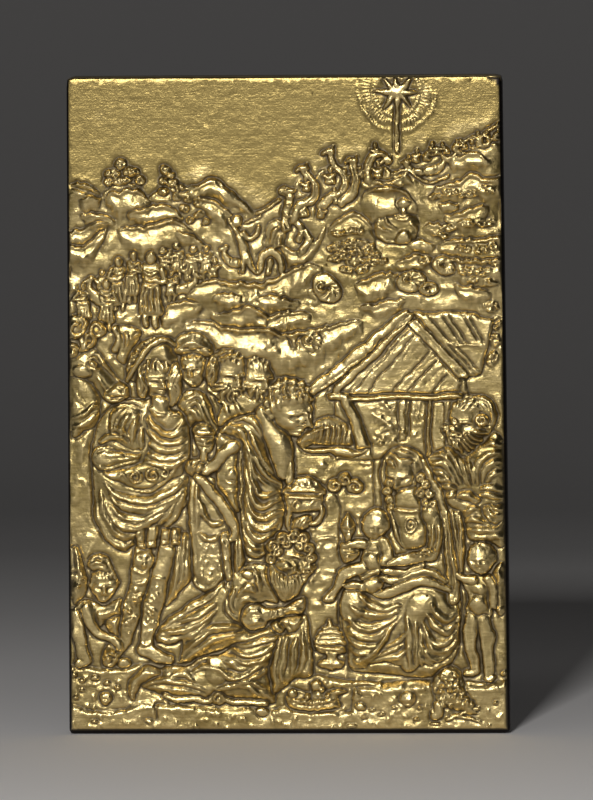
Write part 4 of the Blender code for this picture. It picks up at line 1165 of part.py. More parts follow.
def old_man(ground):
    """Bearded old man behind the seated mother's shoulder, his hands at his belt."""
    robe = blank()
    mass(robe, [(61.8, 46.6), (63.6, 48.2), (65.6, 49.2), (68, 47), (71, 49.6), (74.9, 50.6), (74.9,
            33.4), (72, 32.6), (69, 33), (67.6, 37), (64.6, 38.8), (63, 42)], 1.8, 0.9, 1.4)
    pleats(robe, [[(61.8, 47), (64.2, 47.6), (66, 45.6), (67.6, 42.4)], [(62.2, 46), (64.4, 46), (65.8,
            44), (67, 42)], [(64.6, 49), (66.4, 47), (67.6, 44.4), (68.6, 42.2)], [(62.4, 44.6), (64.4,
            44.4), (65.6, 43)], [(66.4, 48), (67.8, 46), (68.4, 43.6), (69, 42)], [(68.6, 47.4), (69.4,
            44.8), (69.6, 42.4)]], 0.75, 0.65)
    pleats(robe, [[(70.4, 42.2), (70.6, 45), (72, 47.4), (74.9, 48.6)], [(71.4, 42.4), (71.8, 44.6),
            (73.2, 46.4), (74.9, 47)], [(72, 42.6), (73, 44), (74.9, 44.9)], [(71.4, 49.2), (73, 49.8),
            (74.9, 49.4)]], 0.75, 0.6)
    pleats(robe, [[(63.2, 42.9), (64.6, 43.2), (66.4, 42.6)], [(63.4, 41.6), (65, 42), (66.8, 41.4)],
            [(64.4, 40.4), (65.6, 40.6), (67, 40.6)]], 0.7, 0.6)
    pleats(robe, [[(70.6, 41.7), (72.6, 41.9), (74.9, 41.9)], [(70.6, 40.6), (72.6, 40.6), (74.9, 40.4)]],
            0.7, 0.6, 0.15)
    pleats(robe, [[(68.4, 37.6), (70, 38.2), (71, 38)], [(68.2, 36), (70, 36.4), (71.6, 35.8)], [(68.4,
            34.6), (70.6, 34.6), (73, 34.4), (74.9, 35.2)], [(68.6, 33.4), (71, 33.1), (74, 33.6), (74.9,
            34)]], 0.7, 0.5)
    ground = lay(ground, robe, 0.5)
    post = blank()
    mass(post, [(64.6, 39), (67, 38.2), (68, 38.8), (68.2, 31), (67.8, 26.6), (66.6, 26.4), (66.4, 31),
            (65.4, 34)], 1.3, 0.5, 0.6)
    pleats(post, [[(66.1, 38), (66.6, 33), (67, 27.4)], [(67.6, 38), (67.5, 32), (67.6, 27.4)]], 0.5, 0.4)
    ground = lay(ground, post, 0.4)
    bag = blank()
    mass(bag, [(71, 39), (72.4, 39.4), (74.9, 39), (74.9, 36.2), (73.6, 35.4), (72, 36), (71, 37.2)], 2.3,
            0.8, 0.9)
    pleats(bag, [[(72, 38.6), (73, 37.2), (74.6, 36.6)], [(72.4, 39.4), (73.6, 38.2), (74.9, 37.8)],
            [(71.9, 37.4), (72.8, 36), (74.2, 35.4)]], 0.4, 0.4)
    ground = lay(ground, bag, 0.5)
    hand = blank()
    mass(hand, [(66.9, 40.2), (67.4, 41.4), (69, 41.6), (70, 40.6), (71, 39.8), (70.4, 39), (68.6, 39.6)],
            2.7, 0.7, 0.7)
    pleats(hand, [[(64.8, 39.3), (66.4, 39), (67.2, 38.2)], [(67.2, 38.4), (68.8, 39), (71, 39.1)]], 0.4,
            0.4)
    ground = lay(ground, hand, 0.45)
    hood = blank()
    mass(hood, [(68, 57.8), (70.4, 57.9), (72.6, 57.4), (74, 55.6), (73.8, 53.4), (72.4, 51.2), (70, 52)],
            1.7, 0.8, 1.0)
    pleats(hood, [[(70, 57.8), (72.6, 56.8), (73.4, 54.4), (72.4, 52)]], 0.5, 0.4)
    ground = lay(ground, hood, 0.4)
    face = blank()
    head(face, 68.9, 53.4, 8.4, 3.5, yaw=-22, pitch=10, roll=-8, hair="short", beard=0.42, seed=6)
    for u, v, s, hand in [(71.4, 53.6, 1.05, 1), (66.6, 53.6, 0.6, -1), (66.3, 52.4, 0.55, 1)]:
        blob(face, u, v, s * 1.1, s * 1.1, 3.2)
    return lay(ground, face, 0.45)


def seated_mother(ground):
    """Seated mother in a hooded cloak, her lap swagged over both knees."""
    cloak = blank()
    mass(cloak, [(54, 46), (55.2, 48.2), (57.4, 49), (60, 48.4), (61.6, 46), (63, 42.4), (64.8, 38.6),
            (66, 33), (67, 26), (67.2, 19), (66.6, 13), (64, 9.6), (60, 8.8), (55.6, 9.4), (51, 10),
            (48.2, 10.4), (47, 14), (46.3, 19), (46.8, 23.4), (48.6, 24.6), (52, 24), (54, 28), (54.4,
            33), (54, 38), (54.2, 42)], 2.2, 1.2, 1.6)
    ground = lay(ground, cloak, 0.5)
    fall = blank()
    rod(fall, [(61, 46.6, 0.6, 2.2), (62.6, 43, 0.7, 2.3), (64.4, 38.6, 0.85, 2.5), (65.2, 33, 0.9, 2.6),
            (66, 27, 1.1, 2.7), (65.9, 23.4, 1.2, 2.8), (65, 21.8, 0.9, 2.6)], 0.9, 2.6)
    pleats(fall, [[(64, 39), (64.8, 33), (65.5, 27), (65.4, 23)], [(64.9, 38), (65.8, 31), (66.5, 26),
            (66, 23)]], 0.4, 0.4)
    ground = lay(ground, fall, 0.45)
    lap = blank()
    mass(lap, [(47, 22.6), (48.6, 24.6), (51.4, 24.4), (54, 24.6), (57, 26.8), (61, 27.6), (64.6, 25.6),
            (66.6, 22.6), (66.9, 17), (65.6, 13), (62, 10.8), (58, 10.2), (53, 11), (48.4, 10.7), (47.6,
            13.4), (46.9, 18)], 3.0, 1.2, 1.8)
    blob(lap, 48.9, 21.6, 2.6, 3.4, 3.7, 1.5)
    blob(lap, 60.6, 21.6, 3.2, 3.0, 3.75, 1.7, 20)
    rod(lap, [(59.8, 20.6, 2.4, 3.8), (58.2, 16, 2.0, 3.4), (58.4, 11.4, 1.5, 3.0)], 2.0, 3.5)
    pleats(lap, [[(49.6, 24), (51.4, 21.6), (54, 20.9), (57.4, 21.8)], [(47.9, 21.6), (50, 19.9), (53.4,
            19.7), (57.2, 21)], [(47.5, 19.8), (49.4, 17.7), (52.8, 17.6), (56.8, 19.9)], [(47.5, 18),
            (49.6, 16.2), (52.6, 15.9), (56.4, 18.8)], [(47.6, 16), (50, 14.4), (52.8, 14.6), (55.6,
            17.4)], [(47.9, 14), (50.2, 12.9), (52.4, 13.6), (54.6, 15.8)], [(48.3, 12.2), (50, 11.7),
            (52, 12.6), (53.6, 14.2)]], 0.95, 0.75, 0.3)
    pleats(lap, [[(57.2, 20), (54.6, 16.6), (51.6, 13), (48.6, 11)]], 0.5, 0.4)
    pleats(lap, [[(51.6, 11.6), (54, 12.1), (56.6, 12.6), (58.4, 14.4)], [(52.6, 12.6), (55, 13.4), (57.4,
            14.8)], [(54.4, 14.2), (56.6, 15.2), (58, 17)]], 0.6, 0.5)
    pleats(lap, [[(57.9, 20), (58.2, 15), (58.6, 10.4)], [(59.3, 19), (59.4, 14), (59.8, 9.6)], [(60.4,
            18), (60.2, 13.6), (60.8, 9.4)]], 0.75, 0.6)
    pleats(lap, [[(60.6, 19), (62.2, 15.4), (64.4, 14.8), (66.7, 17)], [(60.6, 17), (62.4, 13.8), (64.6,
            13.2), (66.5, 15.4)], [(60.4, 15), (62.2, 12.2), (64.2, 11.8), (66, 13.6)], [(60.6, 12.6),
            (62, 11), (64, 10.6), (65.6, 12.2)], [(61.4, 20.4), (63, 17.6), (65, 17), (66.8, 18.6)], [(62,
            22), (63.6, 19.6), (65.2, 19), (66.6, 20.4)]], 0.85, 0.65, 0.3)
    ground = lay(ground, lap, 0.5)
    rolls = blank()
    rod(rolls, [(52, 24.2, 0.7, 3.6), (54.4, 23.7, 0.9, 3.9), (57.4, 24.8, 0.95, 4.1), (60.4, 25.9, 0.8,
            4.2), (63, 25.4, 0.7, 3.9), (65.4, 24.2, 0.5, 3.4)], 0.8, 3.8)
    rod(rolls, [(53.8, 26.4, 0.6, 3.3), (56.4, 25.9, 0.7, 3.5), (59.6, 27.1, 0.7, 3.6), (63, 26.9, 0.6,
            3.4), (64.8, 25.7, 0.5, 3.2)], 0.7, 3.5)
    rod(rolls, [(54.4, 27.8, 0.6, 3.1), (57.4, 27.2, 0.7, 3.2), (60.6, 28.4, 0.6, 3.2)], 0.6, 3.1)
    ground = lay(ground, rolls, 0.5)
    chest = blank()
    mass(chest, [(54.6, 40), (56.6, 41), (60.6, 41), (62.4, 39.6), (62.2, 34), (61.4, 31.6), (57.6, 31.4),
            (55.4, 35.4)], 3.1, 0.9, 1.4)
    mass(chest, [(56.4, 40.6), (57.6, 42.4), (60, 42.4), (61, 40.6), (60.8, 38.4), (56, 38.2)], 3.4, 0.5,
            0.9)
    for s in (1.0, 0.4):
        ring = [(58.9 + s * math.cos(a), 35.5 + 1.2 * s * math.sin(a)) for a in np.linspace(0,
                2 * math.pi, 9)]
        pleats(chest, [ring], 0.2, 0.3, 0)
    pleats(chest, [[(54.9, 39.6), (55.4, 36.4), (56.6, 33.2), (58, 31.4)], [(54.2, 38), (54.7, 35), (56,
            32), (57, 30.9)]], 0.6, 0.6)
    ground = lay(ground, chest, 0.45)
    arm = blank()
    blob(arm, 62.2, 37.8, 1.7, 2.6, 3.5, 1.2, 8)
    rod(arm, [(62.8, 36.6, 1.4, 3.4), (63, 33.6, 1.4, 3.6), (62.6, 31, 1.2, 3.8)], 1.4, 3.5)
    pleats(arm, [[(61.6, 36), (61.2, 33.4), (60.9, 31.6)], [(62.6, 35.6), (62.3, 33), (62, 31)], [(63.7,
            35.2), (63.6, 32.6), (62.8, 30.2)]], 0.5, 0.4)
    ground = lay(ground, arm, 0.45)
    fore = blank()
    rod(fore, [(62.2, 30.4, 1.3, 3.9), (59.6, 29.9, 1.15, 4.0), (56.6, 29.4, 0.95, 3.9), (54.2, 29.3, 0.8,
            3.8)], 1.0, 3.9)
    ground = lay(ground, fore, 0.55)
    hood = blank()
    mass(hood, [(53.9, 43.4), (54.2, 46.6), (56, 48.7), (58.6, 49.1), (60.8, 47.9), (61.6, 45.6), (60.6,
            42), (57.6, 40.6), (55, 41.4)], 2.9, 1.1, 1.4)
    pleats(hood, [[(53.9, 43.6), (54.5, 46.8), (57, 48.8), (60, 48), (61.3, 45), (62, 42.6)]], 0.45, 0.35)
    ground = lay(ground, hood, 0.4)
    hair = blank()
    for u, v, s, hand in [(55.2, 42.9, 0.7, 1), (54.8, 41.4, 0.75, -1), (55.2, 40, 0.7, 1), (55.5, 38.8,
            0.55, -1), (60.8, 43.8, 0.8, -1), (61.7, 42.5, 0.8, 1), (61, 41.4, 0.8, -1), (62.4, 41, 0.7,
            1), (61.7, 39.8, 0.75, -1), (63, 39.4, 0.6, 1)]:
        blob(hair, u, v, s * 1.1, s * 1.1, 3.3)
    ground = lay(ground, hair, 0.35)
    face = blank()
    head(face, 57.5, 44.6, 7.6, 4.2, yaw=-18, pitch=18, roll=6, hair="wavy", seed=4, ear=False)
    return lay(ground, face, 0.45)


def child(ground):
    """Naked child seated on the seated mother's knee, one foot hanging, reaching up to a lidded cup."""
    cup = blank()
    mass(cup, [(46.7, 35), (47, 36.3), (48, 37.6), (49, 36.3), (49.3, 35), (48.6, 33.7), (47.4, 33.7)],
            2.2, 0.9, 0.9)
    rod(cup, [(48, 34, 0.5, 2.0), (48, 32.2, 0.5, 2.1)], 0.5, 2.0)
    ground = lay(ground, cup, 0.45)
    body = blank()
    rod(body, [(53.2, 32.6, 1.5, 3.4), (52.4, 30.6, 1.9, 3.6), (52, 28.6, 2.0, 3.7), (51.6, 27, 1.7,
            3.6)], 1.9, 3.6)
    blob(body, 52.2, 29.4, 1.7, 1.8, 4.0, 1.2)
    rod(body, [(50.6, 32.3, 0.95, 3.6), (49.2, 32.2, 0.8, 3.5), (47.8, 31.7, 0.6, 3.2), (47, 32, 0.45,
            3.0)], 0.8, 3.4)
    rod(body, [(54.2, 32.6, 0.95, 3.6), (54.9, 30.6, 0.9, 3.8), (54.2, 29.2, 0.7, 3.9)], 0.9, 3.7)
    ground = lay(ground, body, 0.5)
    other = blank()
    mass(other, [(46.5, 31.6), (47.6, 32.4), (49.6, 32), (50, 30.6), (49, 29.4), (47.6, 28.9), (46.9,
            30)], 2.9, 0.8, 0.8)
    pleats(other, [[(46.9, 31.6), (48.4, 31.4), (49.7, 31.5)], [(47, 30.7), (48.3, 30.5), (49.6, 30.6)],
            [(47.4, 29.9), (48.6, 29.8)]], 0.32, 0.3)
    ground = lay(ground, other, 0.45)
    legs = blank()
    rod(legs, [(50.8, 28.3, 1.1, 3.7), (48.6, 27.5, 1.05, 3.7), (47.2, 26.8, 0.95, 3.5), (46.4, 25.4,
            0.75, 3.2), (45.6, 24, 0.65, 3.0), (44.6, 22.9, 0.7, 2.9)], 0.9, 3.5)
    blob(legs, 44.6, 22.8, 1.0, 0.7, 3.0, 0.6, 12)
    blob(legs, 48.9, 25, 2.0, 0.7, 3.8, 0.6, 6)
    blob(legs, 52.3, 25.2, 1.9, 1.5, 4.4, 1.5, 25)
    blob(legs, 50.6, 24.7, 0.75, 0.8, 4.0, 0.7)
    fold(legs, [(50.4, 26.6), (51.6, 27), (53.2, 27.2)], 0.25, -0.35)
    ground = lay(ground, legs, 0.5)
    face = blank()
    head(face, 52.8, 35.6, 4.9, 4.4, yaw=6, pitch=10, hair="bald", child=True, broad=1.12, seed=1)
    return lay(ground, face, 0.45)


def putto(ground):
    """Standing child at the right edge, arm out to the seated mother's cloak."""
    tail = blank()
    mass(tail, [(73, 27), (74.9, 28.6), (74.9, 20.6), (73.6, 20.6), (73, 23)], 1.6, 0.6, 0.8)
    pleats(tail, [[(73.6, 27.4), (74.4, 26.4), (73.8, 24.8)], [(73.2, 22), (74, 20.9), (74.9, 21.4)]],
            0.5, 0.5)
    ground = lay(ground, tail, 0.4)
    legs = blank()
    rod(legs, [(69.6, 19.6, 1.5, 2.7), (68.9, 17, 1.35, 2.7), (68.9, 14.4, 1.0, 2.5), (69.6, 12, 0.85,
            2.3), (69.9, 10.2, 0.7, 2.2)], 1.2, 2.6)
    rod(legs, [(71.2, 19.4, 1.5, 2.6), (71.9, 16.6, 1.35, 2.6), (71.9, 14, 1.0, 2.4), (72, 11.4, 0.85,
            2.3), (72, 9.6, 0.7, 2.2)], 1.2, 2.5)
    blob(legs, 69, 9.8, 1.3, 0.65, 2.2, 0.5, 6)
    blob(legs, 72.2, 9, 0.95, 0.8, 2.3, 0.5)
    ground = lay(ground, legs, 0.45)
    body = blank()
    mass(body, [(67.8, 25.8), (69.2, 26.8), (72.6, 26.6), (73.2, 24.8), (72.6, 22.6), (72.8, 20), (71,
            18.8), (69.4, 18.8), (68.2, 20.4), (68.6, 22.8)], 2.9, 0.9, 1.6)
    blob(body, 70.4, 21.8, 1.7, 1.9, 3.2, 1.0)
    fold(body, [(68.8, 23.9), (70.4, 23.4), (72.2, 23.9)], 0.25, -0.2)
    fold(body, [(68.8, 19.6), (70.3, 18.9), (71.8, 19.6)], 0.25, -0.3)
    rod(body, [(69.6, 26, 0.8, 3.1), (68, 26.2, 0.7, 3.0), (66.9, 26.7, 0.55, 2.8)], 0.7, 3.0)
    rod(body, [(72.3, 26, 0.9, 3.0), (73.2, 23.6, 0.75, 2.7), (73, 21.6, 0.6, 2.5)], 0.8, 2.9)
    ground = lay(ground, body, 0.45)
    face = blank()
    head(face, 71, 29.7, 5.3, 3.8, yaw=-10, pitch=8, hair="bald", child=True, broad=1.1, seed=2)
    return lay(ground, face, 0.45)


def dog(ground):
    """Shaggy dog at the seated mother's feet."""
    body = blank()
    mass(body, [(63.4, 9.6), (64.8, 10.7), (66.6, 10.4), (67.8, 8.6), (68.6, 6.4), (69.8, 4.6), (70.4,
            2.6), (68, 2.2), (66.4, 3), (64.4, 3.6), (63, 2.4), (62, 3), (62.8, 5), (62.4, 7.6)], 2.8,
            1.1, 1.3)
    blob(body, 65, 9, 1.5, 1.5, 3.2, 0.9)
    blob(body, 66, 7.4, 1.1, 0.9, 3.4, 0.7)
    rod(body, [(63.4, 4.4, 0.8, 2.9), (63.2, 3, 0.75, 2.8), (62.8, 2.6, 0.8, 2.7)], 0.8, 2.8)
    blob(body, 65.4, 8.3, 0.3, 0.22, 3.3)
    blob(body, 66.7, 8.2, 0.3, 0.22, 3.3)
    ground = lay(ground, body, 0.45)
    sticks = blank()
    rod(sticks, [(64.8, 1.9), (67, 2.6), (70, 3.8)], 0.3, 2.2)
    rod(sticks, [(65.4, 2.6), (67.6, 2.2), (70.2, 1.4)], 0.28, 2.1)
    return lay(ground, sticks, 0.35)


def relief():
    """The height map of the whole front, worked from the sky forward, then pressed low."""
    ground = np.zeros((NV, NU))
    for step in (star, hills, scrub, camels, herald, procession, foreground,
             hut, horse, two_beards, cap_man, central_king, crouching_man, young_king,
             kneeling_king, gifts, old_man, seated_mother, child, putto, dog):
        ground = step(ground)
    ground = lowered(ground)
    # Towards the border everything sinks to the plain ground, and the worn corner is rubbed lower still
    margin = np.minimum(np.minimum(GRID_U, GRID_U[::-1, ::-1]), np.minimum(GRID_V, GRID_V[::-1, ::-1]))
    ground *= np.clip(0.5 + margin / 0.3, 0, 1)
    corner = (GRID_U - LOSS_TOP_U) / (FACE_W - LOSS_TOP_U) + (GRID_V - LOSS_SIDE_V) / (FACE_H
            - LOSS_SIDE_V) - 1
    return ground - LOSS_DEPTH * np.clip(2 * corner, 0, 1)


def sampled(field, u, v):
    """The height at any place on the face, between the raster's points."""
    c = np.clip(u / PITCH, 0, NU - 1.001)
    r = np.clip(v / PITCH, 0, NV - 1.001)
    c0 = c.astype(int)
    r0 = r.astype(int)
    fc = c - c0
    fr = r - r0
    low = field[r0, c0] * (1 - fc) + field[r0, c0 + 1] * fc
    high = field[r0 + 1, c0] * (1 - fc) + field[r0 + 1, c0 + 1] * fc
    return low * (1 - fr) + high * fr


def rounded(x, z):
    """Bends the square corners of the casting into round ones."""
    half_w = FACE_W / 2 + (EDGE_RIGHT if x > 0 else EDGE_LEFT) - CORNER_RADIUS
    half_h = FACE_H / 2 + (EDGE_TOP if z > 0 else EDGE_FOOT) - CORNER_RADIUS
    ax = abs(x) - half_w
    az = abs(z) - half_h
    if ax <= 0 or az <= 0:
        return x, z
    pull = max(ax, az) / math.hypot(ax, az)
    return math.copysign(half_w + ax * pull, x), math.copysign(half_h + az * pull, z)


def lifted_sheet(heights):
    """A plane grid the size of the face, lifted by the height map and simplified."""
    bm = bmesh.new()
    nx = int(FACE_W / SHEET_STEP)
    nz = int(FACE_H / SHEET_STEP)
    bmesh.ops.create_grid(bm, x_segments=nx, y_segments=nz, size=0.5)
    bm.verts.ensure_lookup_table()
    flat = np.array([v.co[:2] for v in bm.verts])
    u = (flat[:, 0] + 0.5) * FACE_W
    v = (flat[:, 1] + 0.5) * FACE_H
    h = sampled(heights, u, v)
    for vert, a, b, c in zip(bm.verts, u, v, h):
        vert.co = (a - FACE_W / 2, -c, b - FACE_H / 2)
    mesh = bpy.data.meshes.new("sheet")
    bm.to_mesh(mesh)
    bm.free()
    sheet = bpy.data.objects.new("sheet", mesh)
    bpy.context.scene.collection.objects.link(sheet)
    thin = sheet.modifiers.new("fewer", "DECIMATE")
    thin.ratio = FACE_TRIANGLES / (2 * nx * nz)
    done = bpy.data.meshes.new_from_object(sheet.evaluated_get(bpy.context.evaluated_depsgraph_get()))
    bpy.data.objects.remove(sheet)
    bm = bmesh.new()
    bm.from_mesh(done)
    return bm


def straightened_border(bm):
    """Puts the sheet's border back on the exact rectangle and a point on each corner."""
    half_w = FACE_W / 2
    half_h = FACE_H / 2
    border = [v for v in bm.verts if v.is_boundary]
    for v in border:
        if half_w - abs(v.co.x) < half_h - abs(v.co.z):
            v.co.x = math.copysign(half_w, v.co.x)
        else:
            v.co.z = math.copysign(half_h, v.co.z)
    for sx in (-half_w, half_w):
        for sz in (-half_h, half_h):
            near = min(border, key=lambda v: math.hypot(v.co.x - sx, v.co.z - sz))
            near.co.x = sx
            near.co.z = sz


def closed_body(bm):
    """Runs the sheet's border out over the sloping edge, then straight back, and closes the plain back."""
    border = [e for e in bm.edges if e.is_boundary]
    slope = bmesh.ops.extrude_edge_only(bm, edges=border)["geom"]
    for v in [g for g in slope if isinstance(g, bmesh.types.BMVert)]:
        v.co.x += (v.co.x / FACE_W + 0.5) * (EDGE_LEFT + EDGE_RIGHT) - EDGE_LEFT
        v.co.z += (v.co.z / FACE_H + 0.5) * (EDGE_FOOT + EDGE_TOP) - EDGE_FOOT
        v.co.y = EDGE_DEPTH
    outer = [g for g in slope if isinstance(g, bmesh.types.BMEdge) and g.is_boundary]
    side = bmesh.ops.extrude_edge_only(bm, edges=outer)["geom"]
    for v in [g for g in side if isinstance(g, bmesh.types.BMVert)]:
        v.co.y = BODY_DEPTH
    rear = [g for g in side if isinstance(g, bmesh.types.BMEdge) and g.is_boundary]
    bmesh.ops.contextual_create(bm, geom=rear)
    for v in bm.verts:
        v.co.x, v.co.z = rounded(v.co.x, v.co.z)
    bmesh.ops.recalc_face_normals(bm, faces=bm.faces)
    bmesh.ops.triangulate(bm, faces=bm.faces)


def gilt_bronze():
    """Fire-gilt bronze."""
    material = bpy.data.materials.new("gilt_bronze")
    material.use_nodes = True
    shader = material.node_tree.nodes["Principled BSDF"]
    shader.inputs["Base Color"].default_value = (0.52, 0.40, 0.17, 1)
    shader.inputs["Metallic"].default_value = 1.0
    shader.inputs["Roughness"].default_value = 0.34
    return material


for thing in list(bpy.data.objects):
    bpy.data.objects.remove(thing)

plaque = lifted_sheet(relief())
straightened_border(plaque)
closed_body(plaque)
# The underside is brought to the ground and the middle of its flat strip to the origin
strip = BODY_DEPTH - EDGE_DEPTH
for vertex in plaque.verts:
    vertex.co.x -= (TAPER * vertex.co.x + SHEAR) * vertex.co.z / FACE_H
    vertex.co.y -= EDGE_DEPTH + strip / 2
    vertex.co.z += FACE_H / 2 + EDGE_FOOT
    vertex.co *= MM
solid = bpy.data.meshes.new("pax_plaque")
plaque.to_mesh(solid)
plaque.free()
solid.materials.append(gilt_bronze())
pax = bpy.data.objects.new("pax_plaque", solid)
group = bpy.data.collections.new("liturgical_pax")
bpy.context.scene.collection.children.link(group)
group.objects.link(pax)
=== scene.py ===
"""Looks of a liturgical pax: a small cast and gilt plaque with kings before a mother and child in relief.

The relief is one height map in millimetres over the plain sky, worked figure by figure from the far hills
forward: u runs right from the lower left corner of the gilt face, v runs up.
"""
import math

import bmesh
import bpy
import numpy as np
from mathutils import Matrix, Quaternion, Vector


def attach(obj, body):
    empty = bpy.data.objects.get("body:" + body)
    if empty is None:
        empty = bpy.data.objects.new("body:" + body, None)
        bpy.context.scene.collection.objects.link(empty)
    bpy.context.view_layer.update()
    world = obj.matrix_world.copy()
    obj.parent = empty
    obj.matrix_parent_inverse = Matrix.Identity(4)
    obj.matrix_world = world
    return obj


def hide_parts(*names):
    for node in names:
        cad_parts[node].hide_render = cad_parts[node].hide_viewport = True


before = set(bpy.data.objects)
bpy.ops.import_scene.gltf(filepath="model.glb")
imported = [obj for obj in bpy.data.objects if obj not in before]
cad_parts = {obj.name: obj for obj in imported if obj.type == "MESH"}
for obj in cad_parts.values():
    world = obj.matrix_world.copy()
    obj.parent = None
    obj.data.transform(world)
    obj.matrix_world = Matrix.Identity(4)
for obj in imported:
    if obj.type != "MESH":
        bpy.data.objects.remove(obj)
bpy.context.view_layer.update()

# --- The ground of the relief ------------------------------------------------------------------------
# The flat gilt field that every figure stands on, 75 by 113 mm, with the depths of the casting behind it.
# It is held as a raster of heights, and each figure below is laid on it from the back forward.
MM = 0.001
FACE_W = 75.0
FACE_H = 113.0
BODY_DEPTH = 7.0
EDGE_LEFT = 0.45
EDGE_RIGHT = 0.55
EDGE_TOP = 0.35
EDGE_FOOT = 0.9
EDGE_DEPTH = 0.6
CORNER_RADIUS = 0.9
TAPER = 0.0186
SHEAR = 0.126
LOSS_TOP_U = 72.8
LOSS_SIDE_V = 111.5
LOSS_DEPTH = 0.2
PITCH = 0.12
SHEET_STEP = 0.15
FACE_TRIANGLES = 184000
NU = int(round(FACE_W / PITCH)) + 1
NV = int(round(FACE_H / PITCH)) + 1
NOWHERE = -9.0
GRID_U, GRID_V = np.meshgrid(np.linspace(0, FACE_W, NU), np.linspace(0, FACE_H, NV))

def blank():
    return np.full((NV, NU), NOWHERE)


def window(points, reach):
    """The rows and columns of the raster within reach of these points."""
    low = np.min(points, axis=0)[:2] - reach
    high = np.max(points, axis=0)[:2] + reach
    c0, r0 = np.maximum(np.floor(low / PITCH).astype(int), 0)
    c1, r1 = np.ceil(high / PITCH).astype(int) + 1
    return slice(r0, max(r0, min(r1, NV))), slice(c0, max(c0, min(c1, NU)))


def curve(points, closed=False, steps=6):
    """A smooth line through rows of points; any further columns, such as a radius, run smoothly too."""
    p = np.array(points, float)
    if len(p) < 3:
        return p
    q = np.vstack([p[-1], p, p[0], p[1]]) if closed else np.vstack([2 * p[0] - p[1], p, 2 * p[-1] - p[-2]])
    t = np.linspace(0, 1, steps, endpoint=False)[:, None]
    parts = []
    for a, b, c, d in zip(q[:-3], q[1:-2], q[2:-1], q[3:]):
        parts.append(0.5 * (2 * b + (c - a) * t + (2 * a - 5 * b + 4 * c - d) * t ** 2
            + (3 * b - a - 3 * c + d) * t ** 3))
    if not closed:
        parts.append(p[-1:])
    return np.vstack(parts)


def along(path, area):
    """Distance from the path, the path's columns and the share of the way, for each raster point in area."""
    u, v = GRID_U[area], GRID_V[area]
    best = np.full(u.shape, 1e9)
    cols = np.zeros(u.shape + (path.shape[1],))
    share = np.zeros(u.shape)
    side = np.zeros(u.shape)
    ends = np.concatenate([[0], np.cumsum(np.hypot(*np.diff(path[:, :2], axis=0).T))])
    total = max(ends[-1], 1e-9)
    for i, (a, b) in enumerate(zip(path[:-1], path[1:])):
        d = b[:2] - a[:2]
        length = max(d @ d, 1e-12)
        t = np.clip(((u - a[0]) * d[0] + (v - a[1]) * d[1]) / length, 0, 1)
        du, dv = u - a[0] - t * d[0], v - a[1] - t * d[1]
        dist = np.hypot(du, dv)
        near = dist < best
        best[near] = dist[near]
        cols[near] = (a + t[near][:, None] * (b - a))
        share[near] = (ends[i] + t[near] * (ends[i + 1] - ends[i])) / total
        side[near] = np.sign(d[0] * dv - d[1] * du)[near]
    return best, cols, share, side


def rod(layer, points, radius, top, deep=None, closed=False):
    """A rounded bar along a smooth line, crest at top, edges deep lower, from (u, v, radius, top) points."""
    p = np.array([[*q, *([radius, top][len(q) - 2:])] for q in points], float)
    path = curve(p, closed)
    if closed:
        path = np.vstack([path, path[:1]])
    area = window(path, path[:, 2].max())
    dist, cols, _, _ = along(path, area)
    r = np.maximum(cols[..., 2], 1e-6)
    inside = dist < r
    fall = 1 - np.sqrt(np.clip(1 - (dist / r) ** 2, 0, 1))
    h = cols[..., 3] - fall * (r * 0.75 if deep is None else deep)
    layer[area] = np.where(inside, np.maximum(layer[area], h), layer[area])
    return layer


def blob(layer, u, v, ru, rv, top, deep=None, turn=0.0):
    """A low dome on an ellipse, turned by turn degrees."""
    reach = max(ru, rv)
    area = window([(u, v)], reach)
    c, s = math.cos(math.radians(turn)), math.sin(math.radians(turn))
    du, dv = GRID_U[area] - u, GRID_V[area] - v
    q = ((du * c + dv * s) / ru) ** 2 + ((dv * c - du * s) / rv) ** 2
    deep = min(ru, rv) * 0.75 if deep is None else deep
    h = top - deep * (1 - np.sqrt(np.clip(1 - q, 0, 1)))
    layer[area] = np.where(q < 1, np.maximum(layer[area], h), layer[area])
    return layer


def mass(layer, outline, top, deep=0.8, soft=1.2, slope=(0, 0), smooth=True):
    """A pillowed region in a closed outline, rising over soft from edge to top; slope tilts its top."""
    deep *= 1.35
    soft *= 1.6
    path = curve(outline, True) if smooth else np.array(outline, float)
    area = window(path, 0.2)
    u, v = GRID_U[area], GRID_V[area]
    inside = np.zeros(u.shape, bool)
    for a, b in zip(path, np.roll(path, -1, axis=0)):
        if a[1] == b[1]:
            continue
        crosses = ((a[1] > v) != (b[1] > v)) & (u < (b[0] - a[0]) * (v - a[1]) / (b[1] - a[1]) + a[0])
        inside ^= crosses
    dist, _, _, _ = along(np.vstack([path, path[:1]]), area)
    mid = path.mean(axis=0)
    rise = np.sin(np.clip(dist / soft, 0, 1) * math.pi / 2)
    h = top - deep * (1 - rise) + slope[0] * (u - mid[0]) + slope[1] * (v - mid[1])
    layer[area] = np.where(inside, np.maximum(layer[area], h), layer[area])
    return layer


def fold(layer, points, width=0.35, height=0.3, ends=0.6, lean=0.0, on=None):
    """A ridge, or with a negative height a groove, added along a smooth line and fading at its ends."""
    path = curve([q[:2] for q in points])
    reach = width * 2.4
    area = window(path, reach)
    dist, _, share, side = along(path, area)
    grow = np.clip(np.sin(np.clip(share, 0, 1) * math.pi), 0, 1) ** ends if ends else 1.0
    x = dist / width
    if lean:
        x = x * (1 + lean * side)
    there = layer[area] > NOWHERE / 2
    if on is not None:
        there &= on[area]
    layer[area] += np.where(there, height * np.exp(-x**2) * grow * (dist < reach), 0)
    return layer


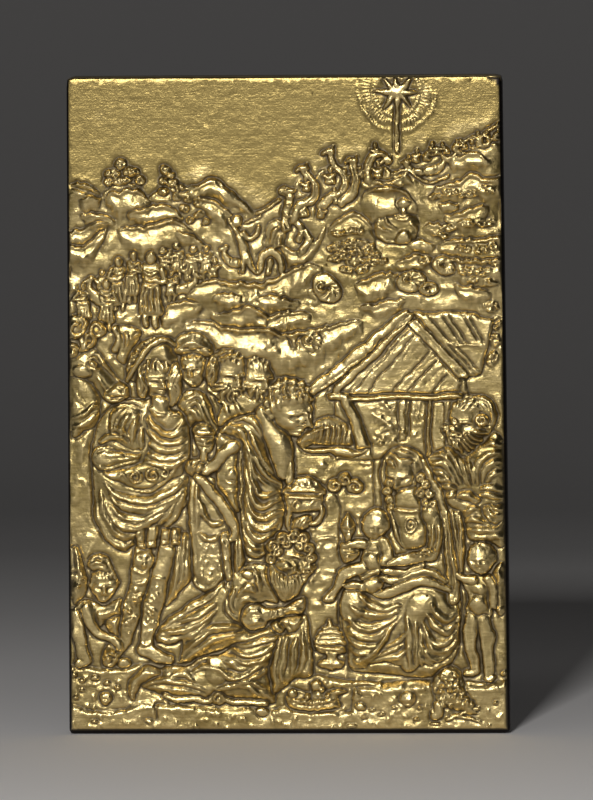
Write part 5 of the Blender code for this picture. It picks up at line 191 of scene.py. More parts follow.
def pleats(layer, lines, width=0.7, height=0.5, taper=0.35, on=None):
    """Ridges of cloth set side by side on what is there, so that neighbours meet in a sharp valley.

    Finer ones lie between, and each is steeper on one side. A third number at a point is its width there.
    """
    base = layer.copy()
    width *= 0.86
    for nth, points in enumerate(lines):
        path = curve([(*q[:2], q[2] * 0.86 if len(q) > 2 else width) for q in points])
        area = window(path, path[:, 2].max() * 1.2)
        dist, cols, share, side = along(path, area)
        full = np.clip(np.sin(np.clip(share, 0, 1) * math.pi), 0, 1) ** (taper + 0.2) if taper else 1.0
        across = dist * side / (cols[..., 2] * np.maximum(full, 0.05)) - 0.12
        across = np.where(across > 0, across * 0.85, across)
        q = np.abs(across)
        crest = 0.6 * (1 - q) + 0.4 * np.sqrt(np.clip(1 - q * q, 0, 1))
        streak = 0.10 * np.cos(8 * across + 2.3 * nth + 4 * share) * (1 - q)
        rise = height * 1.15 * np.minimum(full, 1.0) * (crest + streak)
        ok = (q < 1) & (base[area] > NOWHERE / 2)
        if on is not None:
            ok &= on[area]
        layer[area] = np.where(ok, np.maximum(layer[area], base[area] + rise), layer[area])
    if width > 0.45:
        for nth, (a, b) in enumerate(zip(lines[:-1], lines[1:])):
            a, b = even(a, 7), even(b, 7)
            gap = np.hypot(*(a - b).T)
            if gap.mean() < 3.2 * width and gap.max() < 6 * width:
                for t in (0.36, 0.64) if gap.mean() > 1.2 * width else (0.5,):
                    fold(layer, (a * (1 - t) + b * t)[nth % 2:7 - (nth + 1) % 2], 0.16, 0.2 * height + 0.05,
                        0.8, on=on)
    return layer


def even(points, n):
    """n points spaced evenly along the smooth line through points."""
    path = curve([q[:2] for q in points])
    ends = np.concatenate([[0], np.cumsum(np.hypot(*np.diff(path, axis=0).T))])
    at = np.linspace(0, ends[-1], n)
    return np.stack([np.interp(at, ends, path[:, 0]), np.interp(at, ends, path[:, 1])], axis=1)


def beads(layer, points, gap=0.5, size=0.22, height=0.22):
    """A row of small round beads along a smooth line, set on what is there."""
    path = curve([q[:2] for q in points])
    n = max(2, int(np.hypot(*np.diff(path, axis=0).T).sum() / gap))
    for u, v in even(points, n):
        area = window([(u, v)], size)
        q = np.hypot(GRID_U[area] - u, GRID_V[area] - v) / size
        add = height * np.sqrt(np.clip(1 - q * q, 0, 1))
        layer[area] += np.where((q < 1) & (layer[area] > NOWHERE / 2), add, 0)
    return layer


def curl(layer, u, v, size, height=0.35, turns=1.6, start=0.0, hand=1, width=None):
    """A spiral ridge, as of a lock of hair or a scroll."""
    t = np.linspace(0, 1, 14)
    r = size * (1 - 0.85 * t)
    a = math.radians(start) + hand * t * turns * 2 * math.pi
    points = np.stack([u + r * np.cos(a), v + r * np.sin(a)], axis=1)
    return pleats(layer, [points], width or size * 0.26, height * 1.6, 0.2)


def dabs(layer, outline, count, size, height, seed, turn=None, long=1.6):
    """Small raised touches scattered inside an outline, as for leaves and rough ground."""
    rng = np.random.default_rng(seed)
    p = np.array(outline, float)
    low, high = p.min(axis=0), p.max(axis=0)
    done = 0
    for _ in range(count * 6):
        u, v = low + rng.random(2) * (high - low)
        inside = False
        for a, b in zip(p, np.roll(p, -1, axis=0)):
            if (a[1] > v) != (b[1] > v) and u < (b[0] - a[0]) * (v - a[1]) / (b[1] - a[1]) + a[0]:
                inside = not inside
        if not inside:
            continue
        s = size * (0.7 + 0.6 * rng.random())
        a = math.radians(turn + 30 * rng.normal()) if turn is not None else rng.random() * math.pi
        area = window([(u, v)], s * long)
        du, dv = GRID_U[area] - u, GRID_V[area] - v
        q = ((du * math.cos(a) + dv * math.sin(a)) / (s * long)) ** 2 + ((dv * math.cos(a) - du
            * math.sin(a)) / s) ** 2
        add = height * (0.6 + 0.6 * rng.random()) * np.sqrt(np.clip(1 - q, 0, 1))
        layer[area] += np.where((q < 1) & (layer[area] > NOWHERE / 2), add, 0)
        done += 1
        if done >= count:
            break
    return layer


def blurred(field, radius):
    """A field smoothed by three passes of a square mean."""
    n = max(1, int(round(radius / PITCH)))
    for _ in range(3):
        for axis in (0, 1):
            pad = [(0, 0), (0, 0)]
            pad[axis] = (n + 1, n)
            c = np.cumsum(np.pad(field, pad, mode="edge"), axis=axis)
            lo = np.take(c, range(0, field.shape[axis]), axis=axis)
            hi = np.take(c, range(2 * n + 1, field.shape[axis] + 2 * n + 1), axis=axis)
            field = (hi - lo) / (2 * n + 1)
    return field


def patch(box, soft=1.5):
    """One inside a box of the face (u0, v0, u1, v1), fading to nothing outside it over soft."""
    u0, v0, u1, v1 = box
    across = np.clip(np.minimum(GRID_U - u0, u1 - GRID_U) / soft, 0, 1)
    return across * np.clip(np.minimum(GRID_V - v0, v1 - GRID_V) / soft, 0, 1)


def drift(radius, seed):
    """A smooth random field over the face, of spread one, that wanders over about radius."""
    field = blurred(np.random.default_rng(seed).normal(size=(NV, NU)), radius)
    return (field - field.mean()) / field.std()


def wandered(field, reach, radius, seed):
    """A field whose places are shifted a little here and there, as a hand does."""
    c = np.clip(GRID_U / PITCH + drift(radius, seed) * reach / PITCH, 0, NU - 1.001)
    r = np.clip(GRID_V / PITCH + drift(radius, seed + 1) * reach / PITCH, 0, NV - 1.001)
    c0 = c.astype(int)
    r0 = r.astype(int)
    fc = c - c0
    fr = r - r0
    low = field[r0, c0] * (1 - fc) + field[r0, c0 + 1] * fc
    high = field[r0 + 1, c0] * (1 - fc) + field[r0 + 1, c0 + 1] * fc
    return low * (1 - fr) + high * fr


def pressed(height, gentle=0.8, power=0.5):
    """Low relief: slopes steeper than gentle are pressed down and the heights summed again from them."""
    across = np.diff(height, axis=1) / PITCH
    up = np.diff(height, axis=0) / PITCH
    steep = np.hypot(np.pad(across, ((0, 0), (0, 1)), mode="edge"), np.pad(up, ((0, 1), (0, 0)), mode="edge"))
    keep = np.maximum(steep / gentle, 1.0) ** (power - 1)
    across *= np.minimum(keep[:, :-1], keep[:, 1:]) * PITCH
    up *= np.minimum(keep[:-1], keep[1:]) * PITCH
    bend = np.zeros_like(height)
    bend[:, :-1] += across
    bend[:, 1:] -= across
    bend[:-1] += up
    bend[1:] -= up
    # The heights whose bends these are, found wave by wave on a mirrored sheet
    rows, cols = bend.shape
    sheet = np.fft.rfft2(np.block([[bend, bend[:, ::-1]], [bend[::-1], bend[::-1, ::-1]]]))
    wave = 2 * np.cos(np.pi * np.arange(2 * rows) / rows)[:, None] + 2 * np.cos(np.pi * np.arange(cols + 1)
        / cols) - 4
    wave[0, 0] = 1
    sheet /= wave
    sheet[0, 0] = 0
    low = np.fft.irfft2(sheet, s=(2 * rows, 2 * cols))[:rows, :cols]
    return low - np.median(low[int(104 / PITCH):int(110 / PITCH), int(8 / PITCH):int(42 / PITCH)])


def lowered(height):
    """Presses the relief low, keeping its edges sharp and its broad heights true."""
    low = pressed(height)
    low += 0.62 * blurred(np.clip(height, 0, 3), 3.0) - blurred(low, 3.0)
    return 0.95 * low


def chased(height):
    """The relief as cast and then cut: pressed low, with its fine work gone over deeper."""
    fine = np.tanh((height - blurred(height, 0.25)) / 0.25)
    return lowered(height) + 0.26 * np.clip(fine, -0.45, 1.0)


def terrace(ground, line, rise, fade=4.0, lip=0.45, groove=0.22):
    """A hill standing forward below a smooth line, with a crisp lip, and sinking back into the ground."""
    path = curve(line)
    ridge = np.interp(GRID_U[0], path[:, 0], path[:, 1])
    left, right = path[0, 0], path[-1, 0]
    span = np.clip((GRID_U[0] - left) / (right - left), 0, 1)
    fall = np.where((span > 0) & (span < 1), np.sin(span * math.pi), 0)
    if left <= 0.5:
        fall = np.where(span < 0.5, 1.0, fall)
    if right >= 74.5:
        fall = np.where(span > 0.5, 1.0, fall)
    fall = np.where((GRID_U[0] < left) | (GRID_U[0] > right), 0, fall) ** 0.4
    below = ridge[None, :] - GRID_V
    d = np.clip(below / lip, 0, 1)
    step = d * d * (3 - 2 * d) * np.exp(-np.clip(below, 0, None) / fade)
    cut = np.exp(-((below + 0.15) / 0.3) ** 2)
    return ground + fall[None, :] * (rise * step - groove * cut)


def ledge(ground, line, rise=0.8, apron=2.6, lip=0.3):
    """A shelf of rock: a thin lip along the line, a hollow under it, and a slope that comes forward."""
    path = curve(line)
    left, right = path[0, 0], path[-1, 0]
    wobble = np.interp(GRID_U[0], np.arange(-1, 77, 0.7),
        np.random.default_rng(int(7 * left + 3 * right)).normal(size=112) * 0.16)
    ridge = np.interp(GRID_U[0], path[:, 0], path[:, 1]) + wobble
    span = np.clip((GRID_U[0] - left) / (right - left), 0, 1)
    fall = np.sin(span * math.pi)
    fall = np.where((left <= 0.5) & (span < 0.5) | (right >= 74.5) & (span > 0.5), 1.0, fall)
    fall = np.where((GRID_U[0] < left) | (GRID_U[0] > right), 0, fall) ** 0.5
    below = (ridge[None, :] - GRID_V) / np.clip(fall, 0.3, 1)
    d = np.clip(below / lip, 0, 1)
    shelf = 0.62 * np.exp(-(np.clip(below - lip, 0, None) / 0.55) ** 1.5) + 0.3 + 0.75 * (1
        - np.exp(-np.clip(below - lip, 0, None) / (0.6 * apron)))
    away = np.exp(-(np.clip(below - apron, 0, None) / (0.8 * apron)) ** 2)
    cut = np.exp(-((below + 0.12) / 0.22) ** 2)
    return ground + fall[None, :] * (1.35 * rise * d * d * (3 - 2 * d) * shelf * away - 0.18 * cut)


def crumpled(ground, where, amount, seed):
    """Broken rock: sharp creases between uneven facets, large and small."""
    crease = sum((size * np.abs(drift(radius, seed + n)) for n, (radius, size) in enumerate(((2.2, 0.6),
        (0.9, 0.26), (0.35, 0.1)))))
    return ground + amount * where * (0.6 - crease)


def lay(ground, layer, groove=0.25, width=0.22):
    """Sets a layer on the ground where it stands higher, with a chased line cut round it."""
    up = layer > ground
    if groove:
        groove *= 0.6
        near = np.clip(blurred(up.astype(float), width) * 2.2, 0, 1)
        ground = np.where(up, ground, ground - groove * near)
    return np.where(up, layer, ground)


def turned(points, yaw, pitch, roll):
    """Points turned about the upright, then nodded, then rolled in the picture plane, all in degrees."""
    x, y, z = points
    a, b, c = (math.radians(k) for k in (yaw, pitch, roll))
    x, y = x * math.cos(a) + y * math.sin(a), y * math.cos(a) - x * math.sin(a)
    y, z = y * math.cos(b) + z * math.sin(b), z * math.cos(b) - y * math.sin(b)
    x, z = x * math.cos(c) - z * math.sin(c), z * math.cos(c) + x * math.sin(c)
    return x, y, z


def bump(x, z, cx, cz, sx, sz):
    return np.exp(-((x - cx) / sx) ** 2 - ((z - cz) / sz) ** 2)


def splat(layer, u, v, h):
    """Drops a cloud of surface points on the raster, keeps the highest in each cell, closes pinholes."""
    c = np.round(u / PITCH).astype(int).ravel()
    r = np.round(v / PITCH).astype(int).ravel()
    h = h.ravel()
    ok = (c >= 0) & (c < NU) & (r >= 0) & (r < NV)
    c, r, h = c[ok], r[ok], h[ok]
    own = np.full((NV, NU), NOWHERE)
    np.maximum.at(own, (r, c), h)
    r0, r1, c0, c1 = r.min(), r.max() + 1, c.min(), c.max() + 1
    part = own[r0:r1, c0:c1]
    for _ in range(2):
        pad = np.pad(part, 1, constant_values=NOWHERE)
        stack = np.stack([pad[1 + i:pad.shape[0] - 1 + i, 1 + j:pad.shape[1] - 1 + j] for i in (-1, 0, 1)
            for j in (-1, 0, 1) if i or j])
        hits = (stack > NOWHERE / 2).sum(axis=0)
        mean = np.where(stack > NOWHERE / 2, stack, 0).sum(axis=0) / np.maximum(hits, 1)
        hole = (part <= NOWHERE / 2) & (hits >= 5)
        part = np.where(hole, mean, part)
    layer[r0:r1, c0:c1] = np.maximum(layer[r0:r1, c0:c1], part)
    return layer


def head(layer, u, v, size, top, yaw=0, pitch=0, roll=0, hair="short", beard=0.0, broad=1.0, relief=0.62,
         child=False, seed=0, ear=True):
    """A head whose crown-to-chin height is size, facing the viewer at yaw 0, its highest point at top.
    Features are low bumps on an egg: calm and evenly spaced, in the proportions of a drawing manual."""
    n = max(90, int(size / PITCH * 2.6))
    lat = np.linspace(-math.pi / 2, math.pi / 2, n)[:, None]
    lon = np.linspace(-math.pi, math.pi, 2 * n)[None, :]
    x = np.cos(lat) * np.sin(lon)
    y = np.cos(lat) * np.cos(lon)
    z = np.sin(lat) * np.ones_like(lon)
    front = np.clip(y * 3, 0, 1)
    jaw = np.clip(-z, 0, 1)
    narrow = 0.06 if child else 0.2
    X, Y, Z = x * (0.78 * broad - narrow * jaw**1.5), y * (0.92 - 0.1 * jaw), z.copy()
    f = np.zeros_like(X)
    soft = 0.6 if child else 1.0
    b = lambda cx, cz, sx, sz: bump(X, Z, cx, cz, sx, sz)
    drop = -0.12 if child else 0.0
    brow, eye, tip, lip, chin = (0.16 + drop, 0.02 + drop, -0.28 + drop * 0.6, -0.53 + drop * 0.3, -0.82)
    f += 0.10 * soft * (b(-0.27, brow, 0.22, 0.07) + b(0.27, brow, 0.22, 0.07))
    f -= 0.18 * soft * (b(-0.27, eye, 0.17, 0.10) + b(0.27, eye, 0.17, 0.10))
    f += 0.14 * soft * (b(-0.27, eye - 0.01, 0.11, 0.055) + b(0.27, eye - 0.01, 0.11, 0.055))
    bridge = np.clip((brow + 0.04 - Z) / (brow - tip + 0.04), 0, 1)
    f += (0.08 + 0.22 * bridge) * soft * np.exp(-(X
        / (0.075 + 0.05 * bridge)) ** 2) * np.clip((brow + 0.14 - Z) * 6, 0, 1) * np.clip((Z - tip + 0.08)
        * 14, 0, 1)
    f += 0.07 * soft * (b(-0.11, tip, 0.05, 0.05) + b(0.11, tip, 0.05, 0.05))
    f += (0.10 if child else 0.06) * (b(-0.42, tip + 0.02, 0.22, 0.22) + b(0.42, tip + 0.02, 0.22, 0.22))
    f += 0.09 * (b(0, lip + 0.06, 0.19, 0.05) + b(0, lip - 0.06, 0.15, 0.05)) - 0.08 * b(0, lip, 0.19, 0.024)
    f += 0.12 * b(0, chin, 0.2, 0.13)
    Y = Y + f * front * (1.3 if child else 1.9)
    if ear:
        lobe = bump(y, z, -0.02, -0.06, 0.13, 0.24)
        X = X + np.sign(x) * 0.12 * lobe * (1 - 0.75 * bump(y, z, 0.0, -0.04, 0.055, 0.13))
    if beard:
        edge = np.clip((-0.30 - z + 0.62 * np.clip(1 - y, 0, 1)) * 7, 0, 1) * np.clip((y + 0.25) * 5, 0, 1)
        mouth = bump(X, Z, 0, lip, 0.15, 0.05) * front
        a = np.arctan2(x, -(z - 0.1))
        strand = 0.075 * np.sin(24 * a + 7 * z + 2 * np.sin(9 * z + seed))
        low = np.clip(-z - 0.35, 0, 1)
        w = edge * (1 - 0.9 * mouth)
        Y = Y + w * (0.15 + strand)
        X = X + np.sign(x) * np.clip(np.abs(x) * 3, 0, 1) * w * (0.07 + strand)
        Z = Z - w * low**1.3 * beard * (1.5 + 0.12 * np.sin(14 * a + seed))
        for side in (-1, 1):
            along_lip = np.clip((side * X) / 0.34, 0, 1.2)
            line = lip + 0.13 - 0.16 * along_lip**1.5
            Y = Y + 0.1 * front * np.exp(-((z - line)
                / 0.06) ** 2) * (side * X > -0.03) * np.clip((0.42 - side * X) * 8, 0, 1)
    if hair:
        line = {"short": 0.46, "curly": 0.48, "wavy": 0.44, "long": 0.40, "cap": 0.42, "bald": 0.95}[hair]
        back = np.clip(0.28 - y, 0, 1)
        burns = 1.3 * np.clip(np.abs(x) - 0.66, 0, 1) if hair == "curly" else -0.35 * np.clip(np.abs(x)
            - 0.35, 0, 1)
        scalp = np.clip((z - line + 2.2 * back + burns) * 9, 0, 1)
        scalp *= np.clip((z + 0.62 + 0.5 * back) * 6, 0, 1)
        a = np.arctan2(x, z + 0.1)
        if hair in ("short", "bald"):
            tex, thick = 0.06 * np.sin(20 * a + 6 * y) * np.sin(13 * y + 3 * z + seed), 0.09
        elif hair == "curly":
            tex, thick = 0.11 * np.sin(12 * a + seed) * np.sin(14 * y + 4 * x + seed), 0.15
        elif hair == "cap":
            tex, thick = 0.03 * np.sin(34 * a), 0.24
        else:
            tex, thick = 0.10 * np.sin(18 * (y + 0.5 * z) + 4 * np.sin(4 * a + seed)), 0.13
        grow = 1 + scalp * (thick + tex)
        X, Y, Z = X * grow, Y * grow, Z * (1 + scalp * (thick + tex) * 0.8)
    k = size / 2
    X, Y, Z = turned((X, Y, Z), yaw, pitch, roll)
    show = Y > -0.3
    h = top - (np.max(Y) - Y) * k * relief
    return splat(layer, (u + X * k)[show], (v + Z * k)[show], h[show])


def passer(layer, u, v, s, top, seed):
    """A small cloaked figure on foot or in the saddle, s its width: robe and folds, arm, head and hat."""
    rng = np.random.default_rng(seed)
    lean, side = 0.35 * s * rng.normal(), rng.choice((-1, 1))
    neck = (u + lean, v + 1.5 * s)
    mass(layer, [(u - 0.5 * s, v), (u - 0.52 * s, v + 0.7 * s), (u - 0.42 * s + lean, v + 1.35 * s),
        (u + 0.42 * s + lean, v + 1.35 * s), (u + 0.55 * s, v + 0.7 * s), (u + 0.5 * s, v)], top, 0.4, 0.35)
    for k in (-0.3, 0.0, 0.3):
        fold(layer, [(u + k * s * 1.2, v), (u + k * s + 0.2 * s * side, v + 0.6 * s), (neck[0] + k * s * 0.6,
            neck[1] - 0.25 * s)], 0.15, 0.22, 0.3)
    rod(layer, [(neck[0] - 0.35 * s * side, neck[1] - 0.3 * s), (neck[0] + 0.1 * s * side, neck[1] - 0.75
        * s), (neck[0] + 0.7 * s * side, neck[1] - 0.45 * s)], 0.17 * s, top + 0.3)
    blob(layer, neck[0] + 0.05 * s * side, neck[1] + 0.22 * s, 0.27 * s, 0.34 * s, top + 0.4)
    fold(layer, [(neck[0] - 0.45 * s, neck[1] + 0.42 * s), (neck[0], neck[1] + 0.55 * s), (neck[0] + 0.45 * s,
        neck[1] + 0.4 * s)], 0.16, 0.3, 0.2)
    return layer


def walker(layer, u, v, w, tall, top, side):
    """A small figure in a belted coat, w wide and tall high, with legs, folds, a bent arm, head and hat."""
    belt, chest = v + 0.52 * tall, v + 0.8 * tall
    for k in (-0.24, 0.22):
        rod(layer, [(u + k * w, v, 0.15 * w, top - 0.3), (u + k * w, belt, 0.22 * w, top)], 0.2 * w, top)
    mass(layer, [(u - 0.55 * w, v + 0.15 * tall), (u - 0.36 * w, belt), (u - 0.5 * w, chest),
        (u, chest + 0.06 * tall), (u + 0.5 * w, chest), (u + 0.36 * w, belt),
        (u + 0.55 * w, v + 0.15 * tall)], top + 0.1, 0.5, 0.7)
    for k in (-0.34, -0.12, 0.1, 0.32):
        fold(layer, [(u + k * w, belt), (u + 1.4 * k * w, v + 0.15 * tall)], 0.23, 0.4, 0.2)
    for h in (0.0, 0.09, 0.18):
        fold(layer, [(u - 0.42 * w, belt + (h + 0.05) * tall), (u, belt + h * tall), (u + 0.42 * w, belt
            + (h + 0.06) * tall)], 0.23, 0.4, 0.2)
    rod(layer, [(u + 0.5 * w * side, chest - 0.03 * tall), (u + 0.64 * w * side, belt + 0.08 * tall),
        (u + 0.2 * w * side, belt + 0.1 * tall)], 0.14 * w, top + 0.4)
    blob(layer, u + 0.06 * w * side, v + 0.92 * tall, 0.24 * w, 0.09 * tall, top + 0.7)
    fold(layer, [(u - 0.34 * w, v + 0.95 * tall), (u, v + 1.01 * tall), (u + 0.34 * w, v + 0.95 * tall)],
        0.23, 0.4, 0.2)
    return layer


def steed(layer, u, v, s, top, side):
    """A small horse or camel from the side: rump, arched neck, head and reins."""
    rod(layer, [(u - 1.1 * s * side, v, 0.6 * s, top), (u, v + 0.1 * s, 0.62 * s, top),
        (u + 0.8 * s * side, v + 0.5 * s, 0.5 * s, top)], s, top)
    rod(layer, [(u + 0.7 * s * side, v + 0.4 * s, 0.5 * s, top),
        (u + 1.3 * s * side, v + 1.2 * s, 0.33 * s, top), (u + 1.2 * s * side, v + 1.9 * s, 0.27 * s, top)],
        s, top)
    rod(layer, [(u + 1.1 * s * side, v + 2.0 * s, 0.27 * s, top + 0.1),
        (u + 1.8 * s * side, v + 1.6 * s, 0.2 * s, top + 0.1)], s, top)
    fold(layer, [(u + 0.3 * s * side, v + 0.9 * s), (u + 0.9 * s * side, v + 1.5 * s),
        (u + 0.9 * s * side, v + 2.2 * s)], 0.14, 0.25, 0.2)
    fold(layer, [(u + 0.1 * s * side, v - 0.3 * s), (u + 0.3 * s * side, v + 0.3 * s), (u, v + 0.7 * s)],
        0.12, -0.2, 0.2)
    return layer


def leafy(layer, u, v, ru, rv, top, seed, turn=0):
    """A bush or a tree crown: a rounded clump broken into small bright leaves."""
    blob(layer, u, v, ru, rv, top, min(0.55, top), turn)
    ring = [(u + 1.05 * ru * math.cos(a), v + 1.05 * rv * math.sin(a)) for a in np.arange(0, 6.2, 0.7)]
    return dabs(layer, ring, int(12 * ru * rv) + 6, 0.2, 0.3, seed, 15)


def star(ground):
    """Eight-pointed star with its beam, inside a ring of short engraved strokes."""
    for r0, r1, n in ((4.6, 6.0, 64), (6.3, 7.0, 88), (3.6, 4.4, 48)):
        for i in range(n):
            a = 2 * math.pi * i / n
            c, s = math.cos(a), math.sin(a)
            if s < -0.99 or 110.4 + r1 * s > 113.4:
                continue
            fold(ground, [(57.3 + r0 * c, 110.4 + r0 * s), (57.3 + r1 * c, 110.4 + r1 * s)], 0.11, 0.16, 0.3)
    layer = blank()
    rod(layer, [(57.3, 109.6, 0.42, 0.7), (57.3, 104, 0.4, 0.7), (57.2, 100.2, 0.4, 0.6)], 0.4, 0.7, 0.35)
    fold(layer, [(57.3, 109), (57.25, 104), (57.2, 100.4)], 0.12, -0.25, 0.1)
    for k, length in enumerate((3.8, 3.6, 3.4, 3.6, 4.0, 3.7, 3.2, 3.5)):
        a = math.radians(k * 45)
        c, s = math.cos(a), math.sin(a)
        rod(layer, [(57.3, 110.4, 0.75, 1.5), (57.3 + length * 0.5 * c, 110.4 + length * 0.5 * s, 0.5, 1.2),
            (57.3 + length * c, 110.4 + length * s, 0.12, 0.7)], 0.5, 1.2)
    return lay(ground, layer, 0.3, 0.2)


def hills(ground):
    """Low hills behind one another: shelves of broken rock whose thin lips catch the light."""
    far = [[(0, 94.4), (3.4, 93.4), (5.6, 93), (6.6, 94), (9, 95.2), (12.4, 94.4), (13.4, 92.6), (15, 93.4),
        (17, 94.4), (19.8, 93.6), (22, 94.3), (24.8, 95.6), (26.4, 94.6), (29.6, 92.4), (32.4, 90),
        (34.4, 90.8), (36.6, 92.6), (38.4, 94)], [(38, 93.4), (40.6, 96), (43, 95.6), (44, 97.4), (47, 98),
        (49.6, 98), (51.6, 97.6), (54.2, 98.4), (56.6, 96.8), (59, 98), (60.4, 99.6), (63, 100), (65.4, 100),
        (67.4, 99.8), (70, 101), (72.4, 101.6), (75, 102.4)]]
    for line in far:
        ground = terrace(ground, line, 0.5, 60, 0.6, 0.1)
    for line, rise, apron in [([(0, 94.6), (2.4, 94.9), (4.6, 94.2), (5.6, 93.2)], 0.7, 2.0), ([(17.6, 94.2),
            (21, 94.3), (23.6, 95.2), (25.4, 95.7), (27, 94.6), (29.6, 92.4), (31.6, 90.2)], 0.9, 1.6),
            ([(6.2, 92.6), (7.6, 93.6), (10, 93.9), (12.6, 93.5), (14.2, 92)], 1.1, 2.6), ([(1.6, 92.1),
            (3.4, 92.9), (5.4, 92.8)], 0.7, 1.6), ([(2, 89.4), (4, 89.9), (6.6, 89.5), (8, 88.6)], 0.8, 1.6),
            ([(21.6, 92.2), (24, 92.4), (26.4, 91.2), (28.6, 89.4)], 0.8, 2.0), ([(10.2, 90), (12.4, 90.8),
            (15, 91.2), (17.4, 91.1), (19.6, 89.2)], 1.1, 1.8), ([(8.4, 87), (11, 87.6), (14, 87.6),
            (17, 88.4), (19.6, 88.1), (21.4, 86.8)], 1.0, 3.2), ([(0, 84.6), (2.6, 84.4), (5, 85.9),
            (6.6, 87)], 0.8, 1.6), ([(0, 87.4), (2.4, 87.4), (4.8, 88.4), (7, 88.1)], 0.6, 1.4),
            ([(18.6, 86.4), (21, 86.2), (23.4, 84.6), (25.6, 82)], 0.6, 1.6), ([(19.4, 77.4), (21.4, 77.2),
            (24.4, 78), (28, 77.8), (32, 77.5), (35, 78.2), (38.6, 79.9), (41.6, 80.8), (44, 80.6)], 1.1,
            3.4), ([(24.6, 71.8), (27, 72.3), (29.2, 72.8), (31, 73.9), (32.6, 73.2), (34.6, 72), (37, 72.6),
            (39.6, 72.9), (42, 71.8)], 1.0, 2.2), ([(33, 75), (35.4, 75.6), (38, 75.2), (40, 74.4)], 0.7,
            1.5), ([(15.4, 72.6), (18, 74), (20.6, 74.4), (23, 73.6)], 0.7, 2.2), ([(25, 75.4), (27.4, 76),
            (30, 75.6)], 0.5, 1.4), ([(20, 70.6), (23, 71), (26, 70.2), (29, 69.8), (31.4, 69.6), (34, 69.6),
            (36.4, 68.8), (38, 68.4), (40, 68.9), (42.4, 69.9), (45.4, 70.5), (48.6, 71.1), (51, 71)], 1.2,
            3.6), ([(45, 87.2), (47, 88.8), (49.8, 89.7), (52, 88.2), (53.6, 86.2)], 0.8, 2.8),
            ([(50.4, 94.6), (52.6, 95.2), (55.4, 95), (58.2, 96), (60, 95.2)], 0.8, 1.4), ([(50.8, 92.2),
            (52.8, 93.6), (55.6, 94), (58, 93.6), (60.6, 91)], 1.1, 3.6), ([(58.6, 84.6), (61, 84.9),
            (63.4, 84)], 0.5, 1.2), ([(62.6, 93), (64.6, 94.4), (67, 95.2), (70, 96.2), (72.4, 95.4),
            (75, 95.6)], 1.0, 2.0), ([(64.4, 91.2), (66.4, 91.6), (68, 91)], 0.6, 1.0), ([(65.4, 89.2),
            (68, 89.6), (71, 90.5), (73, 90.7)], 1.1, 2.0), ([(66, 98.4), (69, 99.9), (71.6, 99.6),
            (73.4, 98.4)], 0.9, 1.6), ([(61.6, 87.2), (64, 87.9), (67, 87.2)], 0.7, 1.5), ([(64, 84),
            (67.4, 85.2), (71, 85), (75, 85.6)], 0.9, 2.2), ([(64.6, 80.6), (68, 81.8), (72, 81.4), (75, 82)],
            0.9, 2.4), ([(66.8, 77.2), (69, 76.9), (71.6, 76.4), (73.4, 75.6)], 0.7, 1.6), ([(49.6, 77.4),
            (52.6, 78.4), (56, 79.2), (57.6, 78.6)], 1.1, 2.4), ([(50.6, 73.6), (53, 74.2), (56, 74.6),
            (58.6, 74.6)], 0.7, 1.2), ([(41.4, 76.4), (43.6, 77), (46, 76)], 0.4, 1.4), ([(36, 84.6),
            (39.6, 83), (42, 84.4), (44.6, 87.4)], 0.6, 1.6), ([(56.6, 80.8), (60, 82.4), (63, 82)], 0.8,
            1.6)]:
        ground = ledge(ground, line, rise, apron)
    return ground


def weathering(ground):
    """The rough rock of the hills, and of the bank behind the left-hand figures."""
    rock = np.clip((GRID_V - 66) / 5, 0, 1) * np.clip(ground / 0.3, 0, 1)
    return crumpled(ground, np.maximum(rock, patch((-5, 27, 5.5, 62))), 0.34, 301)


